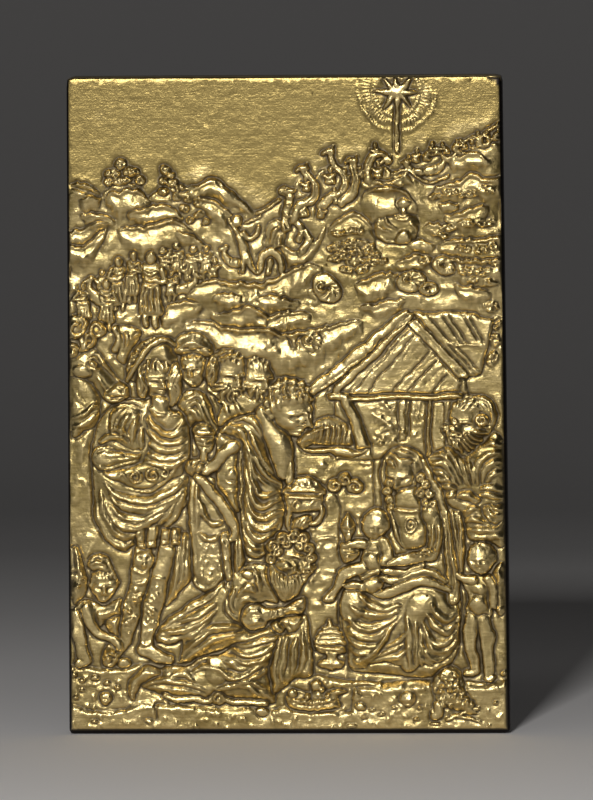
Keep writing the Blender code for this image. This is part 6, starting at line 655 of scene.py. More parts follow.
def scrub(ground):
    """Bushes, ferns and a tree on the hills, and the low growth between them."""
    tree = blank()
    for n, (u, v, ru, rv) in enumerate([(8.9, 98.2, 1.0, 1.0), (7.5, 96.5, 1.4, 0.8), (10.8, 96.8, 1.5, 0.9),
            (12.2, 95.3, 1.0, 0.8), (8.8, 95.4, 1.9, 0.7), (6.8, 95.2, 0.7, 0.7), (16.8, 97.3, 0.9, 0.9),
            (17.7, 96.4, 0.8, 0.6), (16.4, 95.4, 0.8, 0.9), (18, 94.9, 1.1, 0.8), (19.4, 93.9, 0.9, 0.6),
            (16.4, 93.4, 1.0, 0.8), (18.8, 92.6, 0.9, 0.8), (20.8, 92.2, 0.8, 0.7), (22.4, 91.4, 0.8, 0.7),
            (20, 90.6, 0.9, 0.8), (22.4, 89.4, 0.9, 0.7), (23.6, 88.2, 0.8, 0.6), (20.9, 88.6, 0.7, 0.6),
            (37.6, 93.6, 1.2, 1.0)]):
        leafy(tree, u, v, ru, rv, 1.1, 20 + n)
    ground = lay(ground, tree, 0.2)
    for n, (u, v, ru, rv) in enumerate([(46.6, 83.6, 1.4, 0.9), (49, 84.4, 1.5, 0.8), (51.4, 84, 1.5, 0.8),
            (48, 82.4, 1.5, 0.8), (50.4, 82.6, 1.4, 0.7), (52.8, 82.6, 1.3, 0.8), (49.6, 81.2, 1.3, 0.6),
            (46.4, 81.8, 1.2, 0.7), (52.2, 80.9, 1.2, 0.6), (54.2, 81.2, 0.9, 0.6), (48.2, 80, 1.0, 0.5),
            (51, 79.8, 1.0, 0.5), (48.6, 86.6, 1.1, 0.6), (50.4, 86.4, 0.9, 0.5), (46.6, 86.2, 0.9, 0.5),
            (63.8, 92.6, 1.0, 0.5), (66.4, 93.4, 1.3, 0.6), (69.6, 92.8, 1.3, 0.6), (72.6, 93.4, 1.3, 0.6),
            (66, 87, 1.2, 0.6), (69.2, 87.8, 1.3, 0.6), (72.4, 88, 1.3, 0.7), (64.6, 85.6, 1.0, 0.6),
            (68.6, 83.4, 1.2, 0.6), (71.6, 83.2, 1.3, 0.7), (73.8, 84, 0.9, 0.6), (69, 79.6, 1.2, 0.7),
            (72.2, 79.4, 1.3, 0.7), (74, 81, 0.8, 0.6), (70, 78, 1.0, 0.5), (73.4, 77.4, 1.0, 0.6),
            (61.6, 81.2, 0.8, 0.5), (73.2, 73.4, 1.2, 0.8), (74, 70.4, 0.9, 1.0), (73.6, 67.4, 0.9, 1.1),
            (73.4, 64.2, 0.9, 1.1)]):
        clump = blank()
        leafy(clump, u, v, 1.2 * ru, 1.2 * rv, 0.28, 60 + n)
        ground = np.maximum(ground, np.where(clump > NOWHERE / 2, ground + clump, ground))
    for n, (u, v, ru, rv, turn) in enumerate([(44.7, 76.6, 2.9, 2.0, -50), (59.4, 77.6, 2.5, 1.9, 15),
            (65, 80.4, 2.3, 1.5, -20), (62.4, 76.4, 1.9, 1.1, 0), (42.1, 67.4, 1.9, 1.8, 0)]):
        round_bush = blank()
        blob(round_bush, u, v, ru, rv, 1.9, 0.8, turn)
        for k in range(5):
            a = math.radians(turn + 70 - 35 * k)
            fold(round_bush, [(u - 0.3 * ru * math.cos(a), v - 0.3 * rv * math.sin(a)), (u + 0.4 * ru
                * math.cos(a + 0.5), v + 0.4 * rv * math.sin(a + 0.5)), (u + 0.95 * ru * math.cos(a), v
                + 0.95 * rv * math.sin(a))], 0.2, -0.3, 0.4)
        curl(round_bush, u - 0.3 * ru, v + 0.2 * rv, 0.45 * rv, 0.3, 1.2, 60 + turn, -1)
        ground = lay(ground, round_bush, 0.3)
    for line in [[(35.2, 69), (37, 68.4), (38.2, 67.4), (38.7, 66)], [(38.9, 66.2), (39.6, 67.6),
            (40.8, 68.8)], [(40.6, 66.9), (42.2, 67), (43.6, 66.4)]]:
        fold(ground, line, 0.22, -0.4, 0.4)
    dabs(ground, [(26, 68.6), (56, 69.6), (48, 62), (36, 60.6), (35, 65)], 90, 0.5, 0.07, 34)
    return dabs(ground, [(0, 72), (20, 72), (44, 79), (44, 71), (24, 68), (0, 60)], 120, 0.5, 0.1, 36, 10)


def camels(ground):
    """Camels and riders coming over the crest, necks in S-curves, and riders beneath the star's beam."""
    for points, top in [([(39, 88.6), (40.4, 91), (42.6, 92.2), (43, 94.6), (41.6, 96.2), (41, 97)], 1.6),
            ([(44, 91), (45.6, 92.4), (47.6, 93.2), (48, 95.8), (46.2, 98), (45.4, 99.6)], 1.5),
            ([(47.6, 91.6), (49.4, 93.4), (50, 95.8), (49.5, 98.2)], 1.4), ([(52.2, 95.2), (52, 97),
            (52.6, 98.8), (53.8, 99.8), (55, 99.6), (55.6, 98.2)], 1.4)]:
        layer = blank()
        rod(layer, [(u, v, 0.95 - 0.11 * i, top) for i, (u, v) in enumerate(points)], 0.7, top)
        pleats(layer, [[(u - 0.3, v) for u, v in points[1:]], [(u + 0.35, v) for u, v in points[1:]]], 0.3,
            0.25)
        u, v = points[-1]
        rod(layer, [(u + 0.3, v + 0.4, 0.5, top + 0.2), (u - 0.6, v + 0.5, 0.4, top + 0.2),
            (u - 1.2, v + 0.1, 0.28, top + 0.1)], 0.4, top)
        rod(layer, [(u + 0.3, v + 0.6, 0.2, top), (u + 0.5, v + 1.2, 0.12, top)], 0.2, top)
        for k in (0, 0.35, 0.7):
            fold(layer, [(u - 0.6 + k, v + 1.0), (u - 0.3 + k, v + 0.5), (u - 0.2 + k, v - 0.2)], 0.11, 0.2,
                0.2)
        ground = lay(ground, layer, 0.35)
    layer = blank()
    for n, (u, v, s) in enumerate([(41.4, 93.4, 1.3), (45.6, 94.6, 1.6), (46.6, 91.2, 1.3), (48.5, 94.8, 1.2),
            (53.9, 95.6, 1.5), (54, 99.2, 1.2), (41, 88.8, 1.5), (43.8, 88.8, 1.2), (51, 95.6, 1.0)]):
        passer(layer, u, v, s, 1.1, 70 + n)
    for line in [[(40.2, 98.2), (41.2, 98.7), (42, 98.2)], [(44.4, 101), (45.4, 101.4), (46.2, 100.9)],
            [(53.4, 102.6), (54.4, 102.9), (55.4, 102.4)], [(44.4, 91.6), (46.4, 90.8), (48.6, 91.4)],
            [(51.8, 96.2), (53, 95.4), (55, 95.6)], [(40.6, 92.6), (41.6, 91), (41.8, 89)]]:
        fold(layer, line, 0.22, 0.32)
    ground = lay(ground, layer, 0.3)
    layer = blank()
    for n, (u, v, s, side) in enumerate([(60, 96.6, 1.1, -1), (63.6, 96.8, 1.2, 1), (66.4, 98.6, 0.9, 1),
            (57.8, 95.8, 0.9, 1), (68.8, 99.6, 0.8, -1), (72.4, 101, 0.8, 1)]):
        steed(layer, u, v, s, 1.0, side)
    for n, (u, s) in enumerate([(58.9, 1.0), (60.5, 1.2), (62.3, 1.3), (64.1, 1.25), (65.8, 1.1), (67.4, 0.9),
            (69, 0.9), (70.4, 0.8), (71.6, 1.2), (73.2, 0.9), (74.5, 1.2)]):
        passer(layer, u, 97.6 + 0.28 * (u - 58.9) + 0.3 * (n % 2), s, 1.2, 80 + n)
    for line in [[(67.2, 100.6), (70.2, 102.4), (72.8, 103)], [(72.4, 103.2), (74.9, 105)], [(56.6, 96.4),
            (58.6, 97), (60.4, 95.8), (63, 95), (66, 96)]]:
        rod(layer, line, 0.22, 1.1)
    ground = lay(ground, layer, 0.3)
    # cloaked rider on the dome of rock
    layer = blank()
    mass(layer, [(52.8, 87), (53.6, 89.2), (55.4, 89.2), (56.8, 90), (57.4, 92), (59, 92), (59.8, 90),
        (60.8, 88.2), (60.6, 86), (59.6, 84.6), (55.4, 84.4), (53.6, 85.2)], 1.3, 0.6, 0.8)
    blob(layer, 58.2, 91.2, 1.3, 0.9, 1.8)
    blob(layer, 58.3, 90.1, 0.7, 0.7, 1.7)
    mass(layer, [(56.6, 85.4), (57.4, 86.6), (58.6, 86.8), (59.6, 85.6), (59.2, 84.4), (57.2, 84.4)], 1.9,
        0.5, 0.5)
    for line in [[(56.4, 89.6), (57.2, 88.4), (58.6, 88.4), (59.6, 89)], [(55, 89), (55.6, 87.4), (57, 86.6)],
            [(53.4, 87.6), (54.6, 86.6), (56, 86)], [(59.2, 88), (60.4, 86.8), (60.6, 85.6)], [(57, 89.2),
            (58.4, 89), (59.4, 89.6)], [(53, 86), (55, 84.8), (58, 84.2), (62, 84.3)]]:
        fold(layer, line, 0.22, 0.4)
    return lay(ground, layer, 0.4)


def herald(ground):
    """Small standing man with raised arms, the beasts he leads and the tree stump beside him."""
    layer = blank()
    steed(layer, 28.6, 81, 1.4, 1.1, -1)
    rod(layer, [(33.1, 79.2, 0.4, 1.1), (33.5, 81.6, 0.6, 1.2), (34.9, 83, 0.7, 1.3), (36.5, 82, 0.6, 1.2),
        (37, 79.4, 0.4, 1.1)], 0.6, 1.2)
    rod(layer, [(34.7, 79.2, 0.4, 1.0), (35, 81.4, 0.5, 1.1)], 0.4, 1.0)
    mass(layer, [(34, 84), (34.4, 87.4), (36, 88.6), (37.4, 87.4), (37.4, 84), (35.6, 83)], 0.7, 0.4, 1.2)
    pleats(layer, [[(35, 84), (35.4, 86.2), (36.8, 87.4)], [(36.4, 83.4), (36.6, 85.4), (37.6, 86.4)]], 0.5,
        0.35)
    blob(layer, 38.4, 92.6, 0.9, 0.8, 1.4)
    blob(layer, 38.4, 93.6, 1.2, 0.5, 1.5)
    rod(layer, [(38.2, 91.6, 0.9, 1.2), (38, 89.4, 1.0, 1.3), (37.6, 87, 0.9, 1.2)], 0.9, 1.3)
    rod(layer, [(38.8, 88.6, 0.6, 1.2), (40.4, 87, 0.6, 1.2), (40, 85, 0.6, 1.1)], 0.6, 1.2)
    for line in [[(37.2, 91.4), (38.2, 90.8), (39.2, 91.4)], [(37.2, 89.6), (38.4, 89), (39.4, 89.6)],
            [(36, 88.6), (37.4, 87), (37.2, 85.2)], [(38.6, 86.4), (39.6, 85.4), (41, 86.4)], [(38, 84.8),
            (38.8, 83.4), (40.6, 83)], [(35.2, 83.4), (36.8, 83.9), (38.2, 83)]]:
        fold(layer, line, 0.25, 0.4)
    rod(layer, [(40.6, 86.6, 0.6, 1.1), (41.6, 84.8, 0.7, 1.2), (40.6, 83, 0.6, 1.2)], 0.6, 1.1)
    rod(layer, [(32.6, 89.6), (34.4, 90.4), (36.4, 92)], 0.28, 1.0)
    ground = lay(ground, layer, 0.35)
    man = blank()
    rod(man, [(29.9, 85.6, 0.85, 1.6), (30.4, 83.4, 0.9, 1.6), (30.8, 81.8, 0.8, 1.6)], 0.85, 1.6)
    rod(man, [(30.6, 82.2, 0.6, 1.5), (30.4, 80.8, 0.45, 1.4), (30.2, 79.4, 0.35, 1.2)], 0.5, 1.5)
    rod(man, [(31, 82, 0.6, 1.4), (31.6, 80.4, 0.45, 1.3), (32.6, 79.3, 0.35, 1.1)], 0.5, 1.4)
    rod(man, [(30.4, 86.4, 0.42, 1.6), (31.4, 85.3, 0.38, 1.5), (32.4, 85.6, 0.36, 1.4),
        (33, 87.2, 0.3, 1.3)], 0.4, 1.5)
    rod(man, [(29.4, 86.4, 0.42, 1.5), (28.6, 87.6, 0.36, 1.4), (28, 88.4, 0.3, 1.2)], 0.4, 1.4)
    blob(man, 29.4, 88.3, 0.95, 1.0, 1.9)
    fold(man, [(28.6, 89), (29.4, 89.2), (30.2, 88.8)], 0.2, 0.2)
    rod(man, [(31, 88), (33.4, 89.2)], 0.2, 1.1)
    return lay(ground, man, 0.4)


def procession(ground):
    """Walkers and horses winding down the hillside at the left, with a tall guide in front of them."""
    layer = blank()
    for n in range(11):
        passer(layer, 5.8 + 1.9 * n, 76.2 + 0.3 * n + 0.8 * math.sin(3 * n), 1.8, 0.8, 70 + n)
    ground = lay(ground, layer, 0.3)
    for people, top in [([(16.4, 77.4, 2.2, 6.4), (18.7, 78.4, 2.3, 6.2), (21.4, 77.9, 2.4, 6.0),
            (24, 78.4, 2.2, 5.6)], 1.0), ([(10.9, 74.4, 2.3, 8.6), (8.6, 73, 2.6, 9.0),
            (17.6, 74.6, 2.0, 5.0)], 1.2), ([(6.4, 69.6, 2.6, 8.6), (2.6, 70.4, 2.2, 7.4)], 1.4),
            ([(14.1, 70.2, 3.6, 12.8)], 1.7)]:
        layer = blank()
        for n, (u, v, w, tall) in enumerate(people):
            walker(layer, u, v, w, tall, top, 1 - 2 * (n % 2))
        ground = lay(ground, layer, 0.35)
    layer = blank()
    steed(layer, 5.8, 74.6, 1.9, 1.4, -1)
    steed(layer, 20.4, 76.4, 1.4, 1.2, 1)
    pleats(layer, [[(7.2, 80.6), (8.6, 81.4), (10, 81)], [(7, 79.4), (8.6, 80.2), (10.2, 79.8)], [(9, 82.6),
        (10.6, 82.2), (12, 83.2)]], 0.4, 0.4)
    ground = lay(ground, layer, 0.35)
    layer = blank()
    mass(layer, [(8.4, 70.2), (8.6, 67.6), (8.2, 65), (9.6, 63.8), (11.4, 66.6), (12.4, 69), (10.6, 70)], 1.6,
        0.6, 0.9)
    pleats(layer, [[(8.6, 70), (9, 67.4), (8.4, 65)], [(9.6, 69.6), (10, 68), (9.4, 66)], [(11, 69.6),
        (13, 71), (15.6, 72.4)], [(10.4, 67.6), (12, 69), (14.4, 70.6)]], 0.5, 0.45)
    rod(layer, [(7.9, 66.2, 0.6, 1.8), (8.6, 68, 0.65, 1.9), (8, 70, 0.5, 1.8)], 0.6, 1.8)
    return lay(ground, layer, 0.35)


def foreground(ground):
    """Stony ground in two steps with stones and pebbles on it."""
    low = blank()
    mass(low, [(-3, 11.4), (4, 10.6), (9, 10.8), (12, 11.6), (20, 10), (40, 9.6), (48, 8.6), (52, 8.3),
        (58, 8.2), (62, 8.6), (68, 8.4), (71, 8.2), (78, 8.4), (78, -4), (-3, -4)], 1.0, 0.6, 0.6,
        smooth=False)
    ground = lay(ground, low, 0.1)
    low = blank()
    mass(low, [(-3, 4.8), (1, 4.6), (3, 3.6), (9, 4), (10.4, 4.4), (14, 4.9), (18, 4.6), (24, 4.1), (30, 4),
        (34, 4), (37, 4.1), (42, 3.6), (46, 3.2), (48, 3.4), (48.4, 7.6), (52, 7.7), (55, 8), (58, 7.9),
        (62, 8.3), (68, 8.1), (72, 7.8), (78, 8.2), (78, -4), (-3, -4)], 1.7, 0.9, 0.75, smooth=False)
    ground = lay(ground, low, 0.1)
    for line in [[(46.6, 8.1), (50, 8.2), (53.6, 7.6)], [(55.4, 7.9), (58, 8), (61.6, 8.2)], [(67.8, 8.2),
            (70, 8.1), (73.8, 7.8)], [(10.4, 4.2), (12.6, 4.4), (14.4, 4.7)], [(20.6, 4), (26, 3.9),
            (31, 3.8), (35, 4)], [(43.6, 3), (45, 2.8), (47.4, 3.6)]]:
        fold(ground, line, 0.4, 0.35, 0.4)
    for line in [[(14.4, 4.6), (14.8, 3), (14.9, 1.4)], [(49.2, 7.4), (49.8, 6.4), (50, 5.6)], [(53, 7.2),
            (53.6, 6.4)], [(5, 3.1), (6.6, 3), (8.2, 3.4)], [(31.6, 3.2), (32.4, 2.2), (33.4, 2.8)]]:
        fold(ground, line, 0.18, -0.3, 0.3)
    stones = blank()
    for u, v, w, h, top in [(5.9, 5.4, 1.0, 1.0, 2.6), (32.8, 3.1, 1.1, 0.8, 2.3), (49.8, 4, 0.9, 0.7, 2.4),
            (57.9, 5.4, 1.5, 1.3, 2.6), (62.9, 3.4, 0.9, 0.6, 2.4), (73.1, 4.5, 0.4, 0.3, 2.2),
            (59.4, 1.8, 0.6, 0.3, 2.1), (50.6, 2.2, 0.6, 0.3, 2.1), (53.4, 2.7, 0.5, 0.3, 2.1),
            (51.8, 3.4, 0.5, 0.3, 2.1), (3.9, 1.5, 0.6, 0.4, 2.1), (13.4, 1.5, 0.9, 0.4, 2.1),
            (4.2, 8.9, 0.7, 0.5, 1.6), (1.8, 8.3, 0.5, 0.35, 1.5), (6, 8.1, 0.5, 0.5, 1.5),
            (7.8, 7.3, 0.5, 0.4, 1.5), (1.8, 6.8, 0.5, 0.3, 1.6), (0.8, 9.3, 0.5, 0.4, 1.6),
            (0.7, 5.4, 0.5, 0.3, 1.6), (62.8, 1.3, 0.8, 0.3, 2.1), (72.2, 0.8, 0.4, 0.3, 2.0),
            (74.4, 9.2, 0.6, 0.4, 1.7), (48.6, 0.6, 0.9, 0.3, 2.0), (9.2, 11.6, 1.2, 0.9, 1.7),
            (60.4, 4, 0.5, 0.25, 2.0), (55.6, 3.8, 0.5, 0.3, 2.0)]:
        blob(stones, u, v, w, h, top, min(w, h) * 0.7)
    dabs(stones, [(5, 6), (6.8, 6), (6.8, 4.8), (5, 4.8)], 8, 0.2, 0.2, 61)
    fold(stones, [(56.6, 4.9), (57.9, 4.6), (59.2, 4.9)], 0.25, -0.3)
    ground = lay(ground, stones, 0.25, 0.2)
    dabs(ground, [(0, 11), (75, 9), (75, 0.2), (0, 0.2)], 330, 0.3, 0.13, 62)
    return ground


def hut(ground):
    """Thatched shed: stepped left slope, boarded gable, boards and ridge at the right, beam and posts."""
    wall = blank()
    mass(wall, [(46, 59), (58.8, 72.2), (60.2, 71.6), (69, 60.4), (69, 47), (46, 47)], 0.95, 0.3, 0.6,
        smooth=False)
    ground = np.maximum(ground, np.where(wall > NOWHERE / 2, wall, ground))
    right = blank()
    mass(right, [(59.6, 72.3), (66, 72.4), (70, 72), (73.6, 71), (72.6, 66.4), (71.4, 61.6), (68.6, 60.6)],
        1.5, 0.4, 0.5, smooth=False)
    for a, b in [((62.4, 72), (66.4, 67.2)), ((64.6, 72), (68.4, 66.9)), ((66, 72), (69.6, 66.8)),
            ((68.4, 71.8), (71, 67.4)), ((69.6, 71.6), (72, 66.8)), ((65.6, 67), (70.6, 61.4)), ((66.8, 67),
            (71.6, 61.8))]:
        fold(right, [a, b], 0.16, -0.3, 0.2)
    fold(right, [(65.6, 67.3), (67, 66.6), (69, 66.9), (71.8, 66.4)], 0.2, 0.3, 0.3)
    ground = lay(ground, right, 0.35)
    gable = blank()
    mass(gable, [(48.2, 58.4), (59.6, 70.6), (68.2, 60.2), (67.6, 58.2)], 1.35, 0.3, 0.4, smooth=False)
    for low, high in [((51.4, 58.4), (60.2, 68.4)), ((55.8, 58.6), (62.7, 65.6)), ((58.6, 58.6),
            (63.8, 64.2)), ((62.7, 58.4), (65.5, 61.6)), ((49, 58.8), (59.8, 69.9))]:
        fold(gable, [low, high], 0.13, -0.4, 0.12)
    rng = np.random.default_rng(41)
    for _ in range(60):
        u0, v0, s = 49 + 17 * rng.random(), 58.6 + 9 * rng.random(), 0.8 + 1.6 * rng.random()
        fold(gable, [(u0, v0), (u0 + s * 0.68, v0 + s * 0.73)], 0.1, -0.09, 0.5)
    ground = lay(ground, gable, 0.3)
    bundle = blank()
    for shift in (-0.55, 0.0, 0.55):
        rod(bundle, [(59.8 + shift, 70.9, 0.35, 2.0), (64 + shift, 66.2, 0.4, 2.1),
            (68.4 + shift, 61.2, 0.42, 2.1)], 0.4, 2.1)
    ground = lay(ground, bundle, 0.35)
    thatch = blank()
    steps = [((58.6, 72.2), (54.4, 68.6)), ((56, 70.2), (51.8, 66.4)), ((53, 67.6), (47.8, 62.9)),
        ((49.6, 64.6), (45, 60.6)), ((47, 62.2), (42.2, 58.8))]
    for i, (a, b) in enumerate(steps):
        mid = ((a[0] + b[0]) / 2, (a[1] + b[1]) / 2)
        rod(thatch, [(a[0], a[1], 0.45, 1.7), (mid[0] - 0.1, mid[1] + 0.1, 1.0, 1.9), (b[0], b[1], 0.75,
            2.0)], 0.9, 1.8)
    rod(thatch, [(59.3, 71.7, 0.5, 2.1), (53.6, 66, 0.6, 2.1), (47.4, 60.2, 0.65, 2.1),
        (46.2, 58.8, 0.6, 2.0)], 0.55, 2.0)
    for i in range(26):
        t = i / 25
        u, v = 58.4 - 14.6 * t, 71.2 - 11.4 * t
        fold(thatch, [(u + 0.6, v + 0.1), (u - 0.5, v - 0.7)], 0.14, -0.16, 0.4)
    ground = lay(ground, thatch, 0.4)
    beams = blank()
    mass(beams, [(44.6, 58.3), (46.4, 58.8), (49, 58.1), (68.2, 58.2), (68.2, 57.2), (49, 57.1), (45, 57.4)],
        1.9, 0.5, 0.35, smooth=False)
    mass(beams, [(46.2, 58.8), (48.3, 58.7), (52.3, 49), (49.8, 48.7)], 2.0, 0.5, 0.5, smooth=False)
    mass(beams, [(56.9, 57.3), (58.4, 57.3), (58.4, 50), (56.9, 50)], 1.15, 0.3, 0.3, smooth=False)
    mass(beams, [(61.7, 57.6), (62.5, 57.6), (62.5, 47.2), (61.7, 47.2)], 1.6, 0.5, 0.35, smooth=False)
    mass(beams, [(62.5, 57.2), (65, 57), (65.2, 48.6), (62.8, 48.2)], 1.1, 0.3, 0.3, smooth=False)
    ground = lay(ground, beams, 0.4)
    fold(ground, [(58.8, 57), (58.8, 54), (58.8, 50.8)], 0.2, -0.45, 0.1)
    fold(ground, [(61.9, 57), (61.9, 52), (61.9, 47.6)], 0.18, -0.4, 0.1)
    fold(ground, [(52.4, 50), (52.5, 44), (52.4, 36)], 0.16, -0.25, 0.1)
    fold(ground, [(46.4, 41), (46.6, 36), (46.3, 31)], 0.16, -0.3, 0.1)
    for line in [[(59, 57.1), (60.2, 57), (61.2, 57)], [(52.6, 53.4), (54, 53.8), (55.4, 52.6)],
            [(53.6, 51.6), (55, 52.2), (56.4, 51.4)], [(56.6, 51.2), (57.6, 51.6), (58.4, 51)], [(42.4, 32.9),
            (44, 33.1), (45.6, 33)]]:
        fold(ground, line, 0.3, 0.3, 0.4)
    dabs(ground, [(52.4, 57), (56.8, 57), (57, 50), (53, 49)], 40, 0.4, 0.14, 42, 10)
    dabs(ground, [(59, 57), (61.6, 57), (61.6, 49.8), (59.4, 49.8)], 36, 0.26, 0.08, 43)
    dabs(ground, [(42, 47), (52, 47), (52, 34), (46, 31), (46, 20), (41, 20)], 110, 0.5, 0.1, 44, 5)
    return ground


def horse(ground):
    """Horse's head and curled mane at the left edge."""
    neck = blank()
    mass(neck, [(0, 63), (1.6, 62.4), (4.6, 60.2), (5.4, 58), (5.2, 55.6), (4.6, 53), (2.6, 52), (0, 51.6)],
        1.3, 0.7, 1.2)
    pleats(neck, [[(0, 54.2), (2.4, 54.8), (5, 57.2)], [(0, 52.6), (3, 53.2), (5.2, 55.4)]], 0.7, 0.5)
    fold(neck, [(0.4, 60), (1.6, 58.6), (2.6, 57)], 0.2, -0.15)
    fold(neck, [(0.3, 58.4), (1.6, 57), (3, 55.8)], 0.2, -0.15)
    ground = lay(ground, neck, 0.4)
    skull = blank()
    mass(skull, [(-0.4, 64), (0.8, 66), (3, 66.6), (5, 65.6), (6.8, 63), (8.4, 60.8), (9.9, 59.6), (10.1, 58),
        (9, 56.8), (7.2, 56.6), (5.8, 57.6), (4.6, 59.4), (3.2, 60.6), (1, 61.2), (-0.4, 61.6)], 2.5, 1.2,
        2.4)
    blob(skull, 2.3, 62.5, 1.7, 1.4, 2.75, 1.2)
    mass(skull, [(6.2, 59.2), (7.6, 60.2), (9.4, 60), (10, 58.4), (9, 56.9), (7.2, 56.8), (6, 57.6)], 2.8,
        0.9, 1.0)
    blob(skull, 4.3, 63.6, 0.8, 0.5, 3.3, turn=-30)
    pleats(skull, [[(3, 64), (4.4, 64.7), (5.7, 63.6)], [(3.2, 63), (4.3, 62.7), (5.5, 62.7)], [(5, 65.4),
        (6.6, 62.8), (8.6, 60.4)], [(4.6, 61.6), (5.6, 60.2), (6.4, 58.8)], [(8.2, 59.8), (9.3, 59.4),
        (9.3, 58.3), (8.4, 58.4)], [(6.2, 57.4), (7.6, 56.9), (9.2, 57.1)]], 0.32, 0.5, 0.3)
    fold(skull, [(6.2, 58.3), (7.6, 57.6), (9.4, 57.9)], 0.23, -0.45)
    mass(skull, [(1.6, 66), (2.2, 68), (3.2, 67.8), (3.2, 66)], 3.0, 0.5, 0.5)
    ground = lay(ground, skull, 0.5)
    mane = blank()
    for u, v, s, hand in [(0.2, 66, 1.3, 1), (1.2, 70.2, 1.9, -1), (3.2, 67.9, 1.5, 1), (4.9, 69.4, 1.4, -1)]:
        blob(mane, u, v, s * 1.1, s * 1.1, 2.5)
        curl(mane, u, v, s, 0.5, 1.3, 60 * u, hand)
    pleats(mane, [[(6.6, 66.4), (7.2, 68.4), (7, 70.6)], [(8, 66.6), (8.3, 68.6), (7.8, 70.6)]], 0.6, 0.5)
    return lay(ground, mane, 0.4)


def two_beards(ground):
    """Two bearded men looking over the central king's shoulder."""
    back = blank()
    mass(back, [(24, 59.4), (26.4, 56.6), (25.6, 53), (28, 53.6), (31, 55), (34, 54.6), (34.4, 57.4),
        (30.4, 59)], 1.6, 0.5, 0.9)
    pleats(back, [[(24.6, 58), (26.4, 56.8), (28, 54.2)], [(28.4, 57.4), (29.6, 55.4), (31, 54.8)]], 0.6, 0.4)
    ground = lay(ground, back, 0.3)
    face = blank()
    head(face, 32.3, 61.0, 7.6, 2.9, yaw=24, pitch=8, hair="short", beard=0.35, seed=5, broad=0.94)
    pleats(face, [[(30.2, 63.6), (31.6, 65.4), (33.4, 65.5), (35, 64.2)], [(30.6, 62.8), (32, 64.5),
        (33.6, 64.6), (34.8, 63.4)]], 0.5, 0.5, 0.3)
    ground = lay(ground, face, 0.4)
    face = blank()
    head(face, 27.3, 61.9, 8.0, 3.3, yaw=28, pitch=10, roll=-6, hair="curly", beard=0.42, seed=7)
    blob(face, 24.9, 62.4, 1.2, 2.7, 3.2)
    pleats(face, [[(26, 65.4), (24.2, 64.6), (24.6, 62.8), (23.8, 61.2)], [(26.3, 64.4), (25, 63.4),
        (25.3, 61.6), (24.6, 60)], [(24.6, 65), (26.4, 66.8), (29, 66.6), (30.7, 65)], [(25.2, 64.2),
        (27, 65.9), (29.2, 65.7), (30.6, 64.2)], [(26.4, 64), (28, 65), (30, 64.5)]], 0.5, 0.6, 0.3)
    return lay(ground, face, 0.45)


def cap_man(ground):
    """Man in a pleated cap behind the young king, holding up a lidded goblet."""
    body = blank()
    mass(body, [(18.6, 57.6), (20.8, 59), (23.2, 58.6), (24.6, 56.4), (25.7, 52.4), (24.8, 51.2),
        (22.6, 52.8), (20.8, 52.4), (20, 50), (19.6, 54)], 2.4, 0.9, 1.2)
    pleats(body, [[(20, 57.2), (22.4, 58.4), (23.6, 56.4), (25.2, 52.6)], [(20.2, 55.6), (21.8, 57),
        (22.8, 55.2), (24.6, 52)], [(20, 54.6), (21.2, 55.6), (22.2, 54.2), (23, 53)]], 0.75, 0.6)
    ground = lay(ground, body, 0.45)
    cup = blank()
    mass(cup, [(21.6, 51.6), (22, 49.2), (22.8, 48.2), (23.9, 48.2), (24.6, 49.4), (24.9, 51.6)], 3.0, 0.9,
        1.2)
    mass(cup, [(21.3, 52.4), (22.6, 53.4), (24.2, 53.3), (25.1, 52.2), (24.8, 51.2), (21.7, 51.3)], 3.2, 0.7,
        0.9)
    rod(cup, [(23, 48.4), (23, 46.6)], 0.55, 2.8)
    for v in (51.2, 50.2, 49.4):
        fold(cup, [(21.8, v), (23.2, v - 0.15), (24.8, v)], 0.14, -0.25, 0)
    pleats(cup, [[(21.4, 51.8), (23.2, 51.5), (25, 51.8)]], 0.35, 0.35, 0.1)
    ground = lay(ground, cup, 0.4)
    hand = blank()
    mass(hand, [(19.7, 45.4), (20.2, 46.7), (22, 47), (24, 46.7), (24.3, 45.2), (23, 44.1), (21, 44.2)], 3.1,
        0.8, 0.9)
    pleats(hand, [[(20.2, 45), (21.4, 46.7)], [(21.2, 44.6), (22.3, 46.5)], [(22.2, 44.4), (23.2, 46.4)],
        [(23, 44.4), (24, 45.8)]], 0.42, 0.35)
    ground = lay(ground, hand, 0.4)
    face = blank()
    head(face, 21.4, 62.6, 6.0, 3.2, yaw=-8, pitch=4, hair="short", seed=1)
    pleats(face, [[(19, 62.8), (19.6, 61), (21, 60), (22.8, 60.2), (23.6, 61.6)]], 0.4, 0.35)
    ground = lay(ground, face, 0.4)
    cap = blank()
    mass(cap, [(17.8, 65.6), (18.6, 67.9), (20.6, 69), (22.8, 68.9), (24.5, 67.4), (25.2, 65.2), (23.9, 64.8),
        (21.6, 65.4), (19.4, 65)], 3.1, 1.3, 1.8)
    for i in range(19):
        a = math.radians(8 + i * 9)
        fold(cap, [(21.5 + 0.9 * math.cos(a), 66 + 0.6 * math.sin(a)), (21.5 + 3.4 * math.cos(a), 66.1 + 2.7
            * math.sin(a))], 0.14, -0.22, 0.3)
    fold(cap, [(18.4, 65.8), (20, 66.4), (21.4, 65.9), (23, 66.4), (24.8, 65.8)], 0.2, -0.25)
    return lay(ground, cap, 0.4)


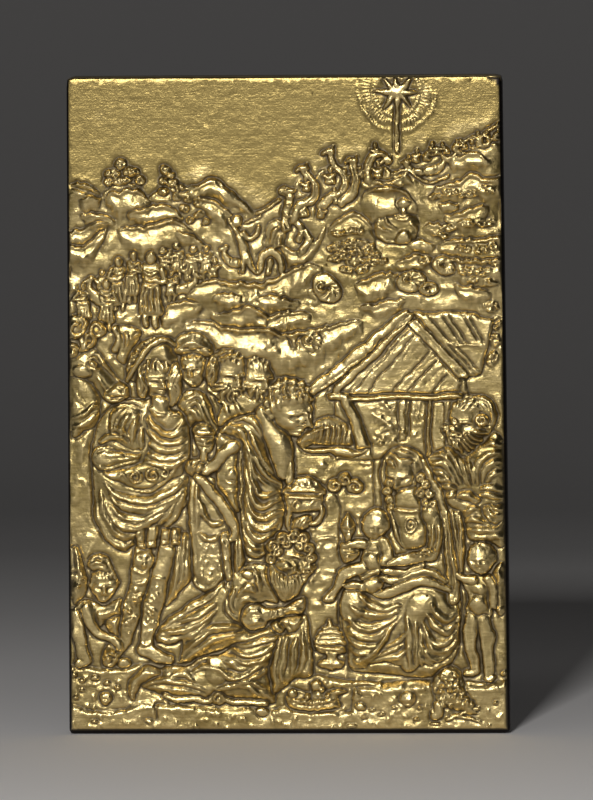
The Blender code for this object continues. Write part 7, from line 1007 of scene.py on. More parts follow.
def central_king(ground):
    """Standing bare-shouldered king in a wrapped cloak, bent forward over a footed casket."""
    back = blank()
    mass(back, [(20.4, 44.4), (23.4, 44.6), (26.4, 42), (28.6, 38), (28.4, 31), (27, 25.6), (24, 23.8),
        (21, 26), (20.6, 32), (20.3, 38)], 2.0, 0.9, 1.2)
    pleats(back, [[(20.7, 44), (20.9, 38), (21, 31), (21.2, 27)], [(21.8, 43.8), (21.9, 39), (21.6, 34)]],
        0.7, 0.4)
    pleats(back, [[(22.1, 34.5), (23.4, 33.2), (25, 33.1), (26.4, 34.4)], [(23.4, 36.4), (25, 35.6),
        (27.2, 36.4)], [(22.5, 40.4), (22.9, 37.6), (24.3, 35.8)]], 0.65, 0.55)
    pleats(back, [[(20.9, 26.9), (21.9, 24.9), (23.4, 24.2), (25.2, 25.1), (26.3, 27.4)]], 0.6, 0.5)
    dabs(back, [(22, 32.5), (25.8, 32.8), (25.8, 26.6), (23.4, 25.4), (22, 27)], 50, 0.22, 0.12, 8)
    ground = lay(ground, back, 0.45)
    strap = blank()
    rod(strap, [(22.2, 43.8, 0.8, 2.9), (24.6, 41.4, 0.9, 3.0), (27, 37.9, 0.85, 3.0), (28.5, 35, 0.7, 2.8),
        (28.2, 33.4, 0.55, 2.6), (26.7, 32.4, 0.4, 2.3)], 0.8, 2.9)
    rod(strap, [(26.9, 34, 0.7, 2.6), (26.9, 33, 0.8, 2.7), (27, 29.5, 0.7, 2.5), (27.4, 26.4, 0.75, 2.5)],
        0.7, 2.5)
    dabs(strap, [(26.2, 34.5), (27.8, 34.5), (28.2, 26), (26.4, 26)], 26, 0.22, 0.2, 9)
    ground = lay(ground, strap, 0.45)
    flank = blank()
    mass(flank, [(25.2, 50.6), (27.6, 51.6), (29.6, 50), (29.7, 44), (29.6, 39), (28.2, 38), (26.8, 40.4),
        (25.6, 43)], 2.2, 0.8, 1.2)
    blob(flank, 28.2, 44.5, 1.3, 1.4, 2.6)
    pleats(flank, [[(26.8, 43.4), (28.2, 42.8), (29.6, 43.4)], [(26.8, 42), (28.2, 41.5), (29.5, 42)]], 0.3,
        0.25)
    rod(flank, [(28.5, 49.4, 1.3, 3.0), (26.6, 47.8, 1.15, 3.1), (25, 46, 1.0, 3.1), (23.6, 45, 0.8, 3.0)],
        1.1, 3.0)
    ground = lay(ground, flank, 0.5)
    cloak = blank()
    mass(cloak, [(26, 51.6), (27.6, 53.4), (30.4, 54.6), (33, 54.4), (34.6, 52), (35, 47.6), (36.2, 44),
        (37, 41), (36.8, 36.6), (35.6, 32.6), (34, 30.9), (31.6, 30), (29.8, 32), (29.4, 40), (29.2, 48),
        (28.4, 50.6)], 2.9, 1.2, 1.6)
    pleats(cloak, [[(26, 51), (27.4, 52.8), (29.6, 52), (30.8, 49.4)], [(27.4, 53.2), (30, 54.3),
        (32.4, 53.2), (33.6, 50.6)], [(28.6, 54), (31.6, 55), (33.6, 53.8), (34.2, 51.4)], [(30, 51.6),
        (31.8, 47.6), (34, 44.2), (36.6, 42.7)], [(31.4, 52), (33.2, 47.8), (35, 45), (36.4, 43.9)],
        [(30.6, 49), (31.6, 43.6), (33.4, 40.9), (36.6, 41.6)], [(30.4, 46), (31.2, 41), (33.2, 38.9),
        (36.9, 40)], [(30.2, 43), (31, 38.6), (33.4, 36.9), (37, 38.2)], [(30, 40), (31, 36.4), (33.6, 34.8),
        (36.6, 36.6)], [(29.9, 37.6), (31, 34.4), (33, 33.2), (35.8, 34.6)], [(29.8, 35), (31, 32.6),
        (32.8, 31.6), (34.6, 32.6)], [(29.8, 32.6), (31.2, 30.6), (33, 30.2), (34.2, 31.2)]], 0.85, 0.8, 0.3)
    pleats(cloak, [[(29.3, 50), (29.6, 44), (29.5, 38), (30.3, 33.6)], [(31, 49), (32, 45), (34.2, 42.6)]],
        0.4, 0.55, 0.2)
    beads(cloak, [(29.5, 49.8), (29.6, 44), (29.5, 37)], 0.5, 0.24, 0.28)
    beads(cloak, [(31.2, 52.2), (33, 48), (34.8, 44.2)], 0.5, 0.2, 0.2)
    ground = lay(ground, cloak, 0.5)
    hem = blank()
    mass(hem, [(28.4, 35.4), (29.8, 34), (30, 30), (29.8, 26.2), (28.6, 26), (28.2, 30)], 2.1, 0.6, 0.6)
    pleats(hem, [[(28.7, 34.6), (28.8, 30), (29, 26.4)], [(29.5, 33.6), (29.4, 29.8), (29.5, 26.8)]], 0.4,
        0.4)
    ground = lay(ground, hem, 0.4)
    arm = blank()
    rod(arm, [(33.8, 54.6, 1.6, 3.0), (35, 52, 2.0, 3.2), (36.6, 49, 2.2, 3.6), (36.8, 46.6, 1.7, 3.6),
        (36.9, 45, 1.2, 3.4)], 1.7, 3.3)
    rod(arm, [(36.9, 44.6, 1.1, 3.3), (38, 46.4, 0.9, 3.2), (38, 43.4, 0.8, 3.3)], 1.0, 3.3)
    ground = lay(ground, arm, 0.5)
    casket = blank()
    mass(casket, [(37.1, 41.4), (37.3, 38), (43.4, 38), (44, 41.4)], 3.1, 0.7, 0.6, smooth=False)
    mass(casket, [(36.9, 41), (37.4, 42.6), (39.4, 43.9), (42, 43.8), (43.8, 42.4), (44.3, 40.9),
        (40.6, 40.5)], 3.4, 1.0, 1.2)
    pleats(casket, [[(37, 41.9), (40.4, 41.4), (44.2, 41.7)], [(37, 40.6), (40.4, 40.1), (44.2, 40.5)]], 0.35,
        0.4, 0.1)
    for u in (38, 39.4, 40.8, 42.2, 43.2):
        fold(casket, [(u, 43), (u + 0.5, 42.2)], 0.18, -0.3)
    curl(casket, 39, 39, 0.9, 0.3, 1.2, 0, 1)
    fold(casket, [(41, 38.3), (42, 39.8), (43.2, 40)], 0.22, 0.3)
    rod(casket, [(37.6, 38.2, 0.45, 2.8), (37.4, 36.4, 0.5, 2.8), (37.9, 34.9, 0.45, 2.7)], 0.5, 2.8)
    rod(casket, [(43, 39.6, 0.4, 2.8), (43.4, 37.6, 0.4, 2.8), (42.6, 35.9, 0.45, 2.7),
        (41.6, 35.7, 0.4, 2.6)], 0.4, 2.8)
    ground = lay(ground, casket, 0.55)
    hand = blank()
    mass(hand, [(37.8, 35.2), (38.6, 36.8), (41, 37.3), (41.8, 36.4), (40.8, 34.9), (39.4, 34.2), (38, 34.3)],
        3.1, 0.7, 0.8)
    pleats(hand, [[(38.2, 34.8), (39.6, 36.8)], [(39.4, 34.6), (40.8, 36.8)]], 0.5, 0.3)
    ground = lay(ground, hand, 0.45)
    face = blank()
    head(face, 37.9, 55.7, 9.4, 4.3, yaw=38, pitch=22, roll=-2, hair="curly", seed=3)
    dabs(face, [(34.2, 57.6), (35.2, 60), (38, 61), (40.6, 60), (41, 58), (38, 57.8)], 90, 0.24, 0.2, 11)
    return lay(ground, face, 0.5)


def crouching_man(ground):
    """Crouching attendant at the lower left, seen from the front, plume in his hair."""
    cloth = blank()
    mass(cloth, [(0, 31.8), (1.6, 30.6), (2.4, 27.4), (2.6, 24.2), (1.4, 22.4), (0, 22.6)], 1.8, 0.9, 1.0)
    dabs(cloth, [(0, 31), (2, 30), (2.4, 25), (0, 23)], 24, 0.4, 0.25, 17)
    ground = lay(ground, cloth, 0.4)
    leg = blank()
    rod(leg, [(0.6, 20, 1.1, 2.0), (1.2, 17.4, 1.15, 2.1), (1.8, 14.2, 1.2, 2.3), (2.4, 12.2, 1.15, 2.2),
        (1.8, 11.6, 1.0, 2.0)], 1.1, 2.1)
    mass(leg, [(5.4, 19.6), (7.6, 20.4), (9, 19.6), (9.2, 17), (8.8, 14.4), (8.6, 12.4), (6.8, 10.6),
        (5.4, 11.4), (5.6, 13.8), (6.8, 15.6), (6.4, 17.6)], 2.1, 1.0, 1.2)
    dabs(leg, [(5.8, 13.8), (8.2, 14), (7.6, 11.6), (5.8, 11.8)], 16, 0.34, 0.3, 18)
    ground = lay(ground, leg, 0.45)
    body = blank()
    mass(body, [(0, 21), (1.8, 22.4), (4, 22.4), (6, 21.6), (8.6, 22.8), (9, 20), (7.4, 19.6), (5.4, 18.4),
        (4, 17.4), (2.8, 19.4), (1.8, 20.4)], 2.2, 0.9, 1.1)
    rod(body, [(2.8, 21, 1.2, 2.6), (3.4, 18.6, 1.0, 2.7), (4.6, 17, 0.9, 2.7), (6.6, 16, 0.75, 2.6),
        (8, 15, 0.75, 2.5), (8.3, 14.2, 0.7, 2.4)], 1.0, 2.6)
    fold(body, [(4.6, 21.4), (4.5, 19.6), (5.2, 18.4)], 0.3, -0.35)
    ground = lay(ground, body, 0.45)
    plume = blank()
    mass(plume, [(3, 28.4), (3.6, 30), (5.2, 30.6), (6.8, 29.8), (7.6, 27.6), (7.4, 26), (5, 27)], 2.3, 0.8,
        1.0)
    pleats(plume, [[(3.4, 29), (4.6, 30.2), (6.2, 29.6)], [(3, 28.2), (4.6, 29.2), (6.6, 28.6)], [(6.6, 30),
        (7.5, 28), (7.5, 26)], [(3.4, 27.4), (3.1, 26), (3.7, 24.8)]], 0.5, 0.4)
    ground = lay(ground, plume, 0.35)
    face = blank()
    head(face, 5.6, 25.2, 5.6, 3.3, yaw=6, pitch=12, roll=0, hair="short", seed=8)
    return lay(ground, face, 0.45)


def young_king(ground):
    """Standing king at the left in a plumed hat, one arm akimbo, cloak across his hips, armour skirt."""
    # far leg and near leg
    leg = blank()
    rod(leg, [(12.6, 31, 1.6, 2.2), (12.2, 27, 1.7, 2.2), (11, 22, 1.7, 1.9), (9.8, 17.5, 1.3, 1.8),
        (8.8, 15, 1.1, 1.7), (7.2, 12.6, 1.2, 1.7), (6.6, 11.9, 1.1, 1.6)], 1.5, 2.0)
    pleats(leg, [[(10.2, 28.5), (12.5, 27.2), (14.2, 28.6)], [(9.8, 26.3), (11.6, 25.3), (13.6, 26.3)],
        [(9.5, 24), (11.2, 23), (12.8, 23.8)]], 0.5, 0.3)
    dabs(leg, [(9.2, 25), (12.6, 25), (11, 16), (8.8, 16)], 26, 0.35, 0.25, 3)
    dabs(leg, [(5.9, 13.6), (8, 14.4), (8, 12), (5.9, 11.6)], 9, 0.3, 0.3, 4)
    blob(leg, 12.7, 29.4, 1.9, 1.8, 3.0)
    fold(leg, [(11.6, 30.1), (12.4, 29.8)], 0.2, -0.3)
    fold(leg, [(13.1, 29.8), (13.9, 30.1)], 0.2, -0.3)
    blob(leg, 12.8, 28.8, 0.5, 0.6, 3.4)
    ground = lay(ground, leg, 0.45)
    leg = blank()
    rod(leg, [(16.9, 31.2, 1.5, 2.7), (16.2, 28.6, 1.45, 2.7), (15.1, 26, 1.55, 2.7), (14.4, 22.5, 1.75, 2.7),
        (13.7, 19, 1.5, 2.6), (13.1, 16.2, 1.05, 2.5), (12.9, 14.6, 1.15, 2.6)], 1.5, 2.7)
    rod(leg, [(12.3, 13.9, 1.0, 2.5), (13.6, 13.5, 1.1, 2.9), (15.4, 12.5, 0.95, 2.9),
        (16.8, 12.2, 0.7, 2.7)], 1.0, 2.6)
    pleats(leg, [[(13.2, 25.9), (14.8, 26.6), (16.4, 26.1)], [(11.8, 15.2), (13, 14.6), (14.2, 15.2)]], 0.4,
        0.25)
    dabs(leg, [(12.6, 25), (16, 25), (14.6, 16.5), (12.6, 16.5)], 44, 0.28, 0.16, 5)
    ground = lay(ground, leg, 0.5)
    # short tunic below the armour, hanging behind the near leg
    skirt = blank()
    mass(skirt, [(18, 34), (20.6, 34), (20.8, 30), (21.2, 26.8), (19.4, 24.6), (17.4, 22.4), (16.2, 21.6),
        (16.2, 25), (16.8, 28), (17.9, 31)], 1.9, 0.8, 0.8)
    pleats(skirt, [[(18.6, 33.5), (18.2, 28), (17.2, 23)], [(19.6, 33.8), (19.2, 28.5), (18.4, 24.5)],
        [(20.4, 33.5), (20.2, 29.5), (19.7, 26)]], 0.55, 0.4)
    ground = lay(ground, skirt, 0.4)
    # body of the cloak and doublet
    body = blank()
    mass(body, [(9, 57), (5.2, 53.8), (3.9, 49.5), (4, 44), (4.1, 37), (6.2, 33.2), (9, 31.1), (11.3, 32.3),
        (15.4, 33.3), (16.2, 34.3), (18.4, 37), (20.6, 40.5), (20.9, 46), (20.6, 50.5), (20, 54.6),
        (17.6, 57), (13, 57.4)], 2.6, 1.4, 2.4)
    # armour skirt
    for u, v, w, drop in [(12.4, 33.3, 0.85, 1.9), (14.3, 33.6, 0.9, 2.0), (16.5, 33.4, 0.75, 1.3),
            (18.1, 33.5, 0.8, 1.5)]:
        mass(body, [(u - w, v + drop), (u + w, v + drop), (u + w, v - drop), (u - w, v - drop)], 2.7, 0.5,
            0.4, smooth=False)
        fold(body, [(u - w, v - drop * 0.35), (u + w, v - drop * 0.35)], 0.18, -0.35, 0)
    # swags of cloak below the belt
    pleats(body, [[(5.6, 43.4), (8, 40.9), (12, 39.6), (16, 40.6), (19.9, 43.4)], [(6.4, 41.4), (8.8, 38.9),
        (12.5, 38.2), (16.4, 39.4), (20.2, 42)], [(6.6, 39.2), (8.8, 36.9), (12.4, 36.6), (15.6, 38),
        (19.6, 40.8)], [(5.6, 40.4), (7.2, 36.4), (9.8, 34.9), (13, 35.6), (16.4, 37.6), (18.9, 39.6)],
        [(4.9, 42), (5.9, 36.9), (8.4, 33.8), (11, 33.6), (13, 35)], [(4.4, 40), (5, 36), (7.2, 32.8),
        (9.4, 31.9), (11, 33)], [(19.9, 41.6), (18.2, 38), (16.2, 34.9)], [(18.4, 40.4), (16.6, 37.4),
        (15.2, 35.6)], [(20.4, 40.3), (19.6, 37.4), (18.6, 35)]], 0.95, 0.85, 0.3)
    fold(body, [(7.6, 37), (9.6, 35.9), (12.6, 36.4)], 0.22, 0.25)
    fold(body, [(7.4, 40), (8.8, 38.6), (9.7, 37.8)], 0.22, 0.2)
    ground = lay(ground, body, 0.55)
    torso = blank()
    mass(torso, [(12.6, 55), (19.8, 55.2), (20.7, 51), (20.4, 46.6), (18.6, 43.6), (15.4, 41.6), (12.4, 41),
        (9.4, 41.8), (6.4, 44.6), (10, 46.4), (12.8, 48), (13, 51)], 3.0, 0.8, 1.2)
    pleats(torso, [[(12.9, 52.6), (15.4, 50.2), (18, 49.7), (20.5, 51)], [(13.2, 50.4), (15.6, 48.7),
        (18, 48.5), (20.4, 49.8)], [(13, 48.4), (15.6, 47), (18, 47), (20.4, 48.4)], [(13, 46.9),
        (15.2, 45.8), (17.8, 45.7), (20.2, 47.2)], [(13.4, 54.4), (15, 52.4), (17.2, 51.3), (20.4, 52.6)]],
        0.75, 0.6)
    # belt with scrolls
    mass(torso, [(6, 45), (8.8, 43.2), (12.4, 41.9), (16, 43.2), (19, 46.4), (17, 46), (14.6, 46),
        (12.2, 46.2), (9.4, 45.4)], 3.15, 0.3, 0.5)
    pleats(torso, [[(5.6, 44.7), (8, 42.8), (10.6, 41.4), (12.8, 41.2), (15.6, 42.4), (19.3, 46.3)]], 0.5,
        0.5, 0.2)
    curl(torso, 11.2, 44.2, 1.25, 0.4, 1.6, 90, -1)
    curl(torso, 14.1, 44.2, 1.2, 0.4, 1.6, 60, 1)
    curl(torso, 16.2, 44.6, 0.9, 0.35, 1.3, 120, -1)
    fold(torso, [(8.2, 43.8), (9.2, 44.6), (10, 43.4)], 0.2, 0.3)
    # chest, neck and collar
    mass(torso, [(13.6, 55.6), (14.6, 53.4), (16.6, 52.2), (18.8, 53), (19.8, 55), (17.4, 55.8), (17.2, 58),
        (14.4, 58), (14.2, 56.4)], 3.3, 0.5, 0.9)
    pleats(torso, [[(13.2, 55.4), (14.2, 53.2), (16.6, 51.8), (19.2, 52.9), (20, 54.4)], [(13.9, 55.6),
        (15.2, 54.8), (16.6, 54.9)], [(17, 54.6), (18.6, 54.9), (19.8, 54.2)]], 0.42, 0.4)
    ground = lay(ground, torso, 0.45)
    # shoulder cape, puffed upper sleeve and the arm set on the hip
    arm = blank()
    mass(arm, [(6.5, 52.2), (7.6, 55.6), (10.6, 56.7), (13, 55), (13.6, 51.5), (13.2, 48.6), (10.6, 47.6),
        (7.4, 49.2), (4.8, 50.2)], 3.0, 1.0, 1.6)
    pleats(arm, [[(7.4, 55.6), (10.2, 57), (12.6, 55.8), (13.9, 53.2), (14.2, 50)], [(7.4, 51.6), (7.7, 54.4),
        (9.8, 55.9)], [(9, 50.4), (9.2, 53), (10.6, 55)], [(10.8, 49.6), (11, 52.2), (11.6, 54.4)],
        [(12.6, 48.2), (12.6, 50.6), (12.6, 53)]], 0.7, 0.6)
    pleats(arm, [[(4.4, 50.6), (6, 52.2), (8.8, 52.2), (10.4, 50.6)], [(4.6, 49.6), (6.6, 51), (9, 50.8),
        (10.6, 49.4)]], 0.6, 0.5)
    ground = lay(ground, arm, 0.4)
    arm = blank()
    mass(arm, [(3.8, 47.4), (4.6, 49.2), (6.6, 49.6), (9.2, 48.2), (12.8, 48.6), (12.4, 47), (10, 46.2),
        (7, 45.5), (5, 45.4)], 3.4, 0.9, 1.0)
    pleats(arm, [[(4, 48), (5.6, 49.5), (7.6, 49.2), (9.8, 47.9), (12.8, 47.9)], [(4.4, 46.2), (6.6, 45.4),
        (9.4, 45.9), (12.6, 47.1)]], 0.5, 0.5, 0.2)
    mass(arm, [(6, 48.2), (7.6, 48.5), (9.8, 47.5), (8, 47.1), (6.6, 47.4)], 3.5, 0.3, 0.4)
    ground = lay(ground, arm, 0.5)
    # head with long curls under a wide turned-up brim
    plume = blank()
    mass(plume, [(9.9, 61.4), (10.6, 65.4), (12.8, 67.6), (15.6, 68.2), (17.8, 67.4), (18.6, 64.8),
        (18.4, 61.8), (15, 62.6), (12, 60.6)], 2.6, 1.0, 1.4)
    dabs(plume, [(10, 62), (10.6, 65.4), (12.8, 67.4), (15.2, 67.4), (12.4, 64)], 34, 0.4, 0.35, 6, 50)
    ground = lay(ground, plume, 0.4)
    hair = blank()
    blob(hair, 17.9, 60, 1.6, 3.8, 2.8, 1.3, -6)
    blob(hair, 12.5, 60.6, 1.1, 3.0, 3.0)
    for shift in (-1.2, -0.6, 0, 0.6, 1.2):
        pleats(hair, [[(17 + shift, 65), (18.6 + shift, 62.6), (17.5 + shift, 60.4), (18.9 + shift, 58.2),
            (18 + shift, 55.2)]], 0.5, 0.6, 0.3)
    pleats(hair, [[(13, 64), (11.8, 62.2), (12.6, 60.4), (11.9, 58)], [(13.4, 62.6), (12.5, 61.2),
        (13.2, 59.4), (12.6, 57.8)]], 0.45, 0.6)
    ground = lay(ground, hair, 0.35)
    face = blank()
    head(face, 15, 60.9, 7.2, 4.1, yaw=14, pitch=8, roll=4, hair="wavy", seed=2)
    pleats(face, [[(15.4, 64.7), (13.7, 64.4), (12.5, 62.4)], [(15.4, 65.3), (13.2, 65.3), (11.8, 63)],
        [(15.8, 64.7), (17.2, 64.2), (18.3, 62.4)], [(15.8, 65.3), (18, 64.9), (19, 63)]], 0.5, 0.6, 0.3)
    brim = blank()
    rod(brim, [(9.8, 60.6, 0.25, 3.2), (11.2, 63, 0.42, 3.7), (13, 65.6, 0.48, 3.9), (15.2, 67.3, 0.48, 3.9),
        (17, 67.7, 0.4, 3.7), (18.2, 66.9, 0.28, 3.5)], 0.45, 3.8)
    ground = lay(ground, face, 0.45)
    return lay(ground, brim, 0.4)


def kneeling_king(ground):
    """Old king on his knees in profile to the right, long beard, hands joined, bare foot behind him."""
    train = blank()
    mass(train, [(26.2, 26.2), (22.8, 23.4), (19.4, 21.2), (16, 18.6), (14.3, 16.6), (14.8, 15.2), (17, 14.8),
        (19.4, 15.4), (18.6, 12.2), (18.4, 11.4), (22, 12.4), (27, 14), (33, 13.6), (37.2, 16.8),
        (34.8, 18.4), (30.4, 17.4), (29.8, 20), (30, 24)], 2.4, 1.2, 1.3)
    pleats(train, [[(26.4, 25.8), (22.8, 22.8), (18.8, 20.4), (15.6, 17.6)], [(25, 22.4), (21.6, 19.8),
        (18.4, 19.2)], [(25.2, 21.2), (22.2, 18.6), (18.8, 17.3), (16, 17.2)], [(24.4, 19.4), (21.4, 16.8),
        (17.6, 15.4), (14.6, 16)], [(26.4, 18.4), (22.6, 16.4), (19.6, 14), (18, 12)], [(30, 17.8),
        (26, 17.9), (23, 17.2), (21, 15.8)], [(30, 16.9), (25, 15.9), (21.6, 13.8), (18.8, 11.8)]], 0.95,
        0.75, 0.3)
    ground = lay(ground, train, 0.5)
    robe = blank()
    mass(robe, [(12, 7.6), (14, 9.4), (16.4, 11.2), (19.4, 10.8), (22, 12.2), (26, 13.2), (30, 15.4),
        (34, 17.2), (37, 17.2), (35.6, 13), (34.4, 9.4), (35.2, 6), (34.6, 4.6), (30, 4.7), (26, 5.4),
        (23.4, 5), (18, 5), (15.6, 6.2)], 2.9, 1.3, 1.5)
    pleats(robe, [[(36.8, 16.8), (33, 15.6), (29.4, 14.9), (26.6, 15.4)], [(36.6, 16), (33.4, 13.6),
        (30.4, 12.8), (27.6, 14)], [(35.8, 14.4), (33, 12.2), (30, 11.6), (27, 12.6), (24, 13.4)],
        [(20, 10.8), (22.4, 12.2), (25, 12.6), (27.4, 11.6), (29.6, 10.6), (32, 11.3)], [(20.6, 9.9),
        (23, 11), (25.4, 10.6), (27.6, 9.1), (30, 9.3), (33.8, 11.8)], [(34.4, 10.6), (31, 9), (28, 8),
        (24.6, 7)]], 0.85, 0.7, 0.3)
    blob(robe, 25.2, 10, 2.6, 2.8, 3.4, 1.4)
    pleats(robe, [[(12.2, 7.6), (15.4, 8.6), (19.4, 8.2), (23.4, 6.6)], [(16.6, 9.2), (19.6, 9.8),
        (21.4, 8.4)], [(13, 7.2), (16.4, 7), (20, 6.8), (23.6, 5.6)], [(28.8, 7.4), (30.6, 7.2), (32.6, 5.6)],
        [(28.4, 8), (31.4, 8), (33.6, 7)]], 0.7, 0.5, 0.3)
    ground = lay(ground, robe, 0.55)
    hem = blank()
    rod(hem, [(16.4, 6, 0.45, 2.2), (18, 5.3, 0.55, 2.3), (21, 5.4, 0.55, 2.3), (23.6, 5, 0.5, 2.3),
        (25.2, 6.2, 0.55, 2.5), (26.6, 5.2, 0.5, 2.4), (29, 4.7, 0.45, 2.3), (33.6, 4.6, 0.45, 2.3)], 0.5,
        2.3)
    curl(blob(hem, 25.4, 5.4, 1.3, 1.1, 2.4), 25.4, 5.4, 1.0, 0.3, 1.1, 20, 1)
    ground = lay(ground, hem, 0.45)
    foot = blank()
    mass(foot, [(10, 8.4), (11.4, 10), (13, 11.2), (15.6, 10.4), (15.8, 9.4), (13.4, 8.2), (12, 8),
        (11.3, 6.4), (11, 5.2), (10.2, 5.3), (9.8, 6.8)], 2.3, 0.9, 0.9)
    for v in (7.5, 6.9, 6.3, 5.7):
        fold(foot, [(10, v), (11, v + 0.3)], 0.13, -0.3)
    fold(foot, [(10.4, 8.6), (11.6, 9.2), (12.8, 10.2)], 0.3, 0.3)
    ground = lay(ground, foot, 0.5)
    hang = blank()
    mass(hang, [(35.2, 16.6), (37.4, 17.4), (40.2, 20), (41.2, 17), (41.7, 12), (41.8, 9.6), (40.6, 8.8),
        (38.6, 8.9), (36.8, 7.4), (35, 6), (34.4, 8), (34.2, 12)], 2.6, 1.0, 0.9)
    pleats(hang, [[(36.4, 16.6), (35.2, 13), (34.8, 9.4), (35.2, 6.8)], [(37.4, 16.8), (36.6, 13), (36, 9.8),
        (36.6, 7.8)], [(38.9, 16.4), (38.2, 13), (37.6, 9.4)], [(40, 17.6), (40, 13), (39, 9.6)],
        [(40.4, 19.4), (41.2, 14), (41, 9.6)]], 0.8, 0.6, 0.3)
    ground = lay(ground, hang, 0.5)
    back = blank()
    mass(back, [(28.4, 27.4), (26.6, 25.2), (26, 22), (26.6, 19.6), (28.6, 18.2), (30.4, 18.6), (31, 21),
        (33.6, 22.6), (36, 22.4), (36, 26), (33.8, 28.6), (31, 28.8)], 3.2, 1.3, 2.0)
    pleats(back, [[(27.4, 26.4), (26.2, 23.4), (26.9, 20.4), (29.6, 18.7)], [(25.2, 22.6), (24.9, 20.6),
        (25.7, 18.6)], [(28.4, 25.2), (27.4, 22.6), (28.2, 20.4)], [(29.4, 24.2), (31, 25), (32, 23.8)]],
        0.75, 0.6)
    pleats(back, [[(29.4, 22.2), (30.8, 22.6), (32, 22.2)], [(28.6, 23.2), (30.2, 24.2), (32, 24)]], 0.6, 0.5)
    pleats(back, [[(31.6, 28), (32.4, 26.4), (32.7, 24.4)]], 0.8, 0.5, 0.2)
    beads(back, [(31.5, 28.2), (32.3, 26.4), (32.6, 24.2)], 0.45, 0.26, 0.3)
    pleats(back, [[(33.1, 27.8), (33.8, 26), (34.6, 24.6)]], 0.55, 0.45)
    blob(back, 30.8, 27, 0.9, 0.9, 3.5)
    ground = lay(ground, back, 0.5)
    arm = blank()
    blob(arm, 31.9, 19.6, 2.5, 2.2, 4.0, 1.6, 10)
    pleats(arm, [[(30, 20.6), (31.4, 21.8), (33, 21.4)], [(29.9, 19.4), (31.6, 20.6), (33.4, 20.2)],
        [(30.4, 18.2), (32, 18.8), (33.8, 19)]], 0.6, 0.35)
    rod(arm, [(33.4, 20, 1.2, 3.8), (35.2, 20.3, 1.05, 3.8), (36.8, 20.6, 0.8, 3.7)], 1.1, 3.8)
    pleats(arm, [[(34.6, 19.4), (34.9, 21.2)], [(35.5, 19.5), (35.8, 21.3)]], 0.4, 0.3, 0.2)
    ground = lay(ground, arm, 0.6)
    hand = blank()
    mass(hand, [(36.4, 19.8), (36.6, 21), (38, 21.8), (40, 22.9), (40.5, 22.5), (40, 20.4), (38.4, 20)], 3.8,
        0.8, 0.9)
    pleats(hand, [[(37, 20.4), (38.8, 20.8), (40, 21)], [(37, 20.9), (38.8, 21.6), (40.3, 22)], [(37.2, 21.4),
        (38.8, 22.2), (40.2, 22.8)]], 0.42, 0.35)
    ground = lay(ground, hand, 0.5)
    pouch = blank()
    mass(pouch, [(36.4, 19.2), (38, 19.9), (39.8, 19.7), (40, 18.2), (39.1, 16.7), (38, 16.7), (37.2, 17.8)],
        3.3, 1.0, 1.0)
    fold(pouch, [(37.4, 19.2), (38, 18), (38.8, 17)], 0.2, -0.3)
    mass(pouch, [(34.8, 18.4), (36, 19), (37.2, 18), (36.6, 17), (35.4, 17.3)], 3.0, 0.6, 0.6)
    ground = lay(ground, pouch, 0.45)
    face = blank()
    head(face, 37.9, 29.6, 8.0, 4.4, yaw=40, pitch=2, roll=-4, hair="short", beard=0.2, seed=9)
    beard = blank()
    mass(beard, [(34.3, 29), (34.8, 25.6), (36, 23.2), (37.2, 22.3), (39, 23), (40, 25), (40.2, 27.4),
        (39.2, 28.2), (37.6, 27.6), (36.2, 28.6)], 4.1, 1.1, 1.4)
    for i in range(9):
        t = i / 8
        pleats(beard, [[(35 + 4.2 * t, 28.2 - 0.6 * math.sin(3 * t)), (34.8 + 4.9 * t, 26 - 0.3 * t),
            (35.5 + 4 * t, 24.4 - 0.4 * t), (36.6 + 2 * t, 22.7 + 0.5 * t)]], 0.34, 0.4, 0.3)
    pleats(face, [[(36.3, 27.6), (37.4, 28.2), (38.7, 27.9), (39.6, 27.4)]], 0.45, 0.35)
    locks = blank()
    for u, v, s, hand_ in [(35.1, 32, 1.1, 1), (34.8, 30, 1.0, -1), (36.7, 33.3, 1.1, -1),
            (38.7, 33.5, 1.15, 1), (40.4, 33.2, 1.0, -1), (41.2, 31.6, 0.95, 1), (41.4, 29.9, 0.8, -1),
            (35.9, 30.8, 0.9, 1), (37.5, 32.3, 0.9, 1), (39.7, 31.9, 0.8, -1)]:
        blob(locks, u, v, s * 1.1, s * 1.1, 4.2)
        curl(locks, u, v, s, 0.45, 1.4, 50 * u, hand_)
    ground = lay(ground, face, 0.4)
    ground = lay(ground, beard, 0.4)
    return lay(ground, locks, 0.3)


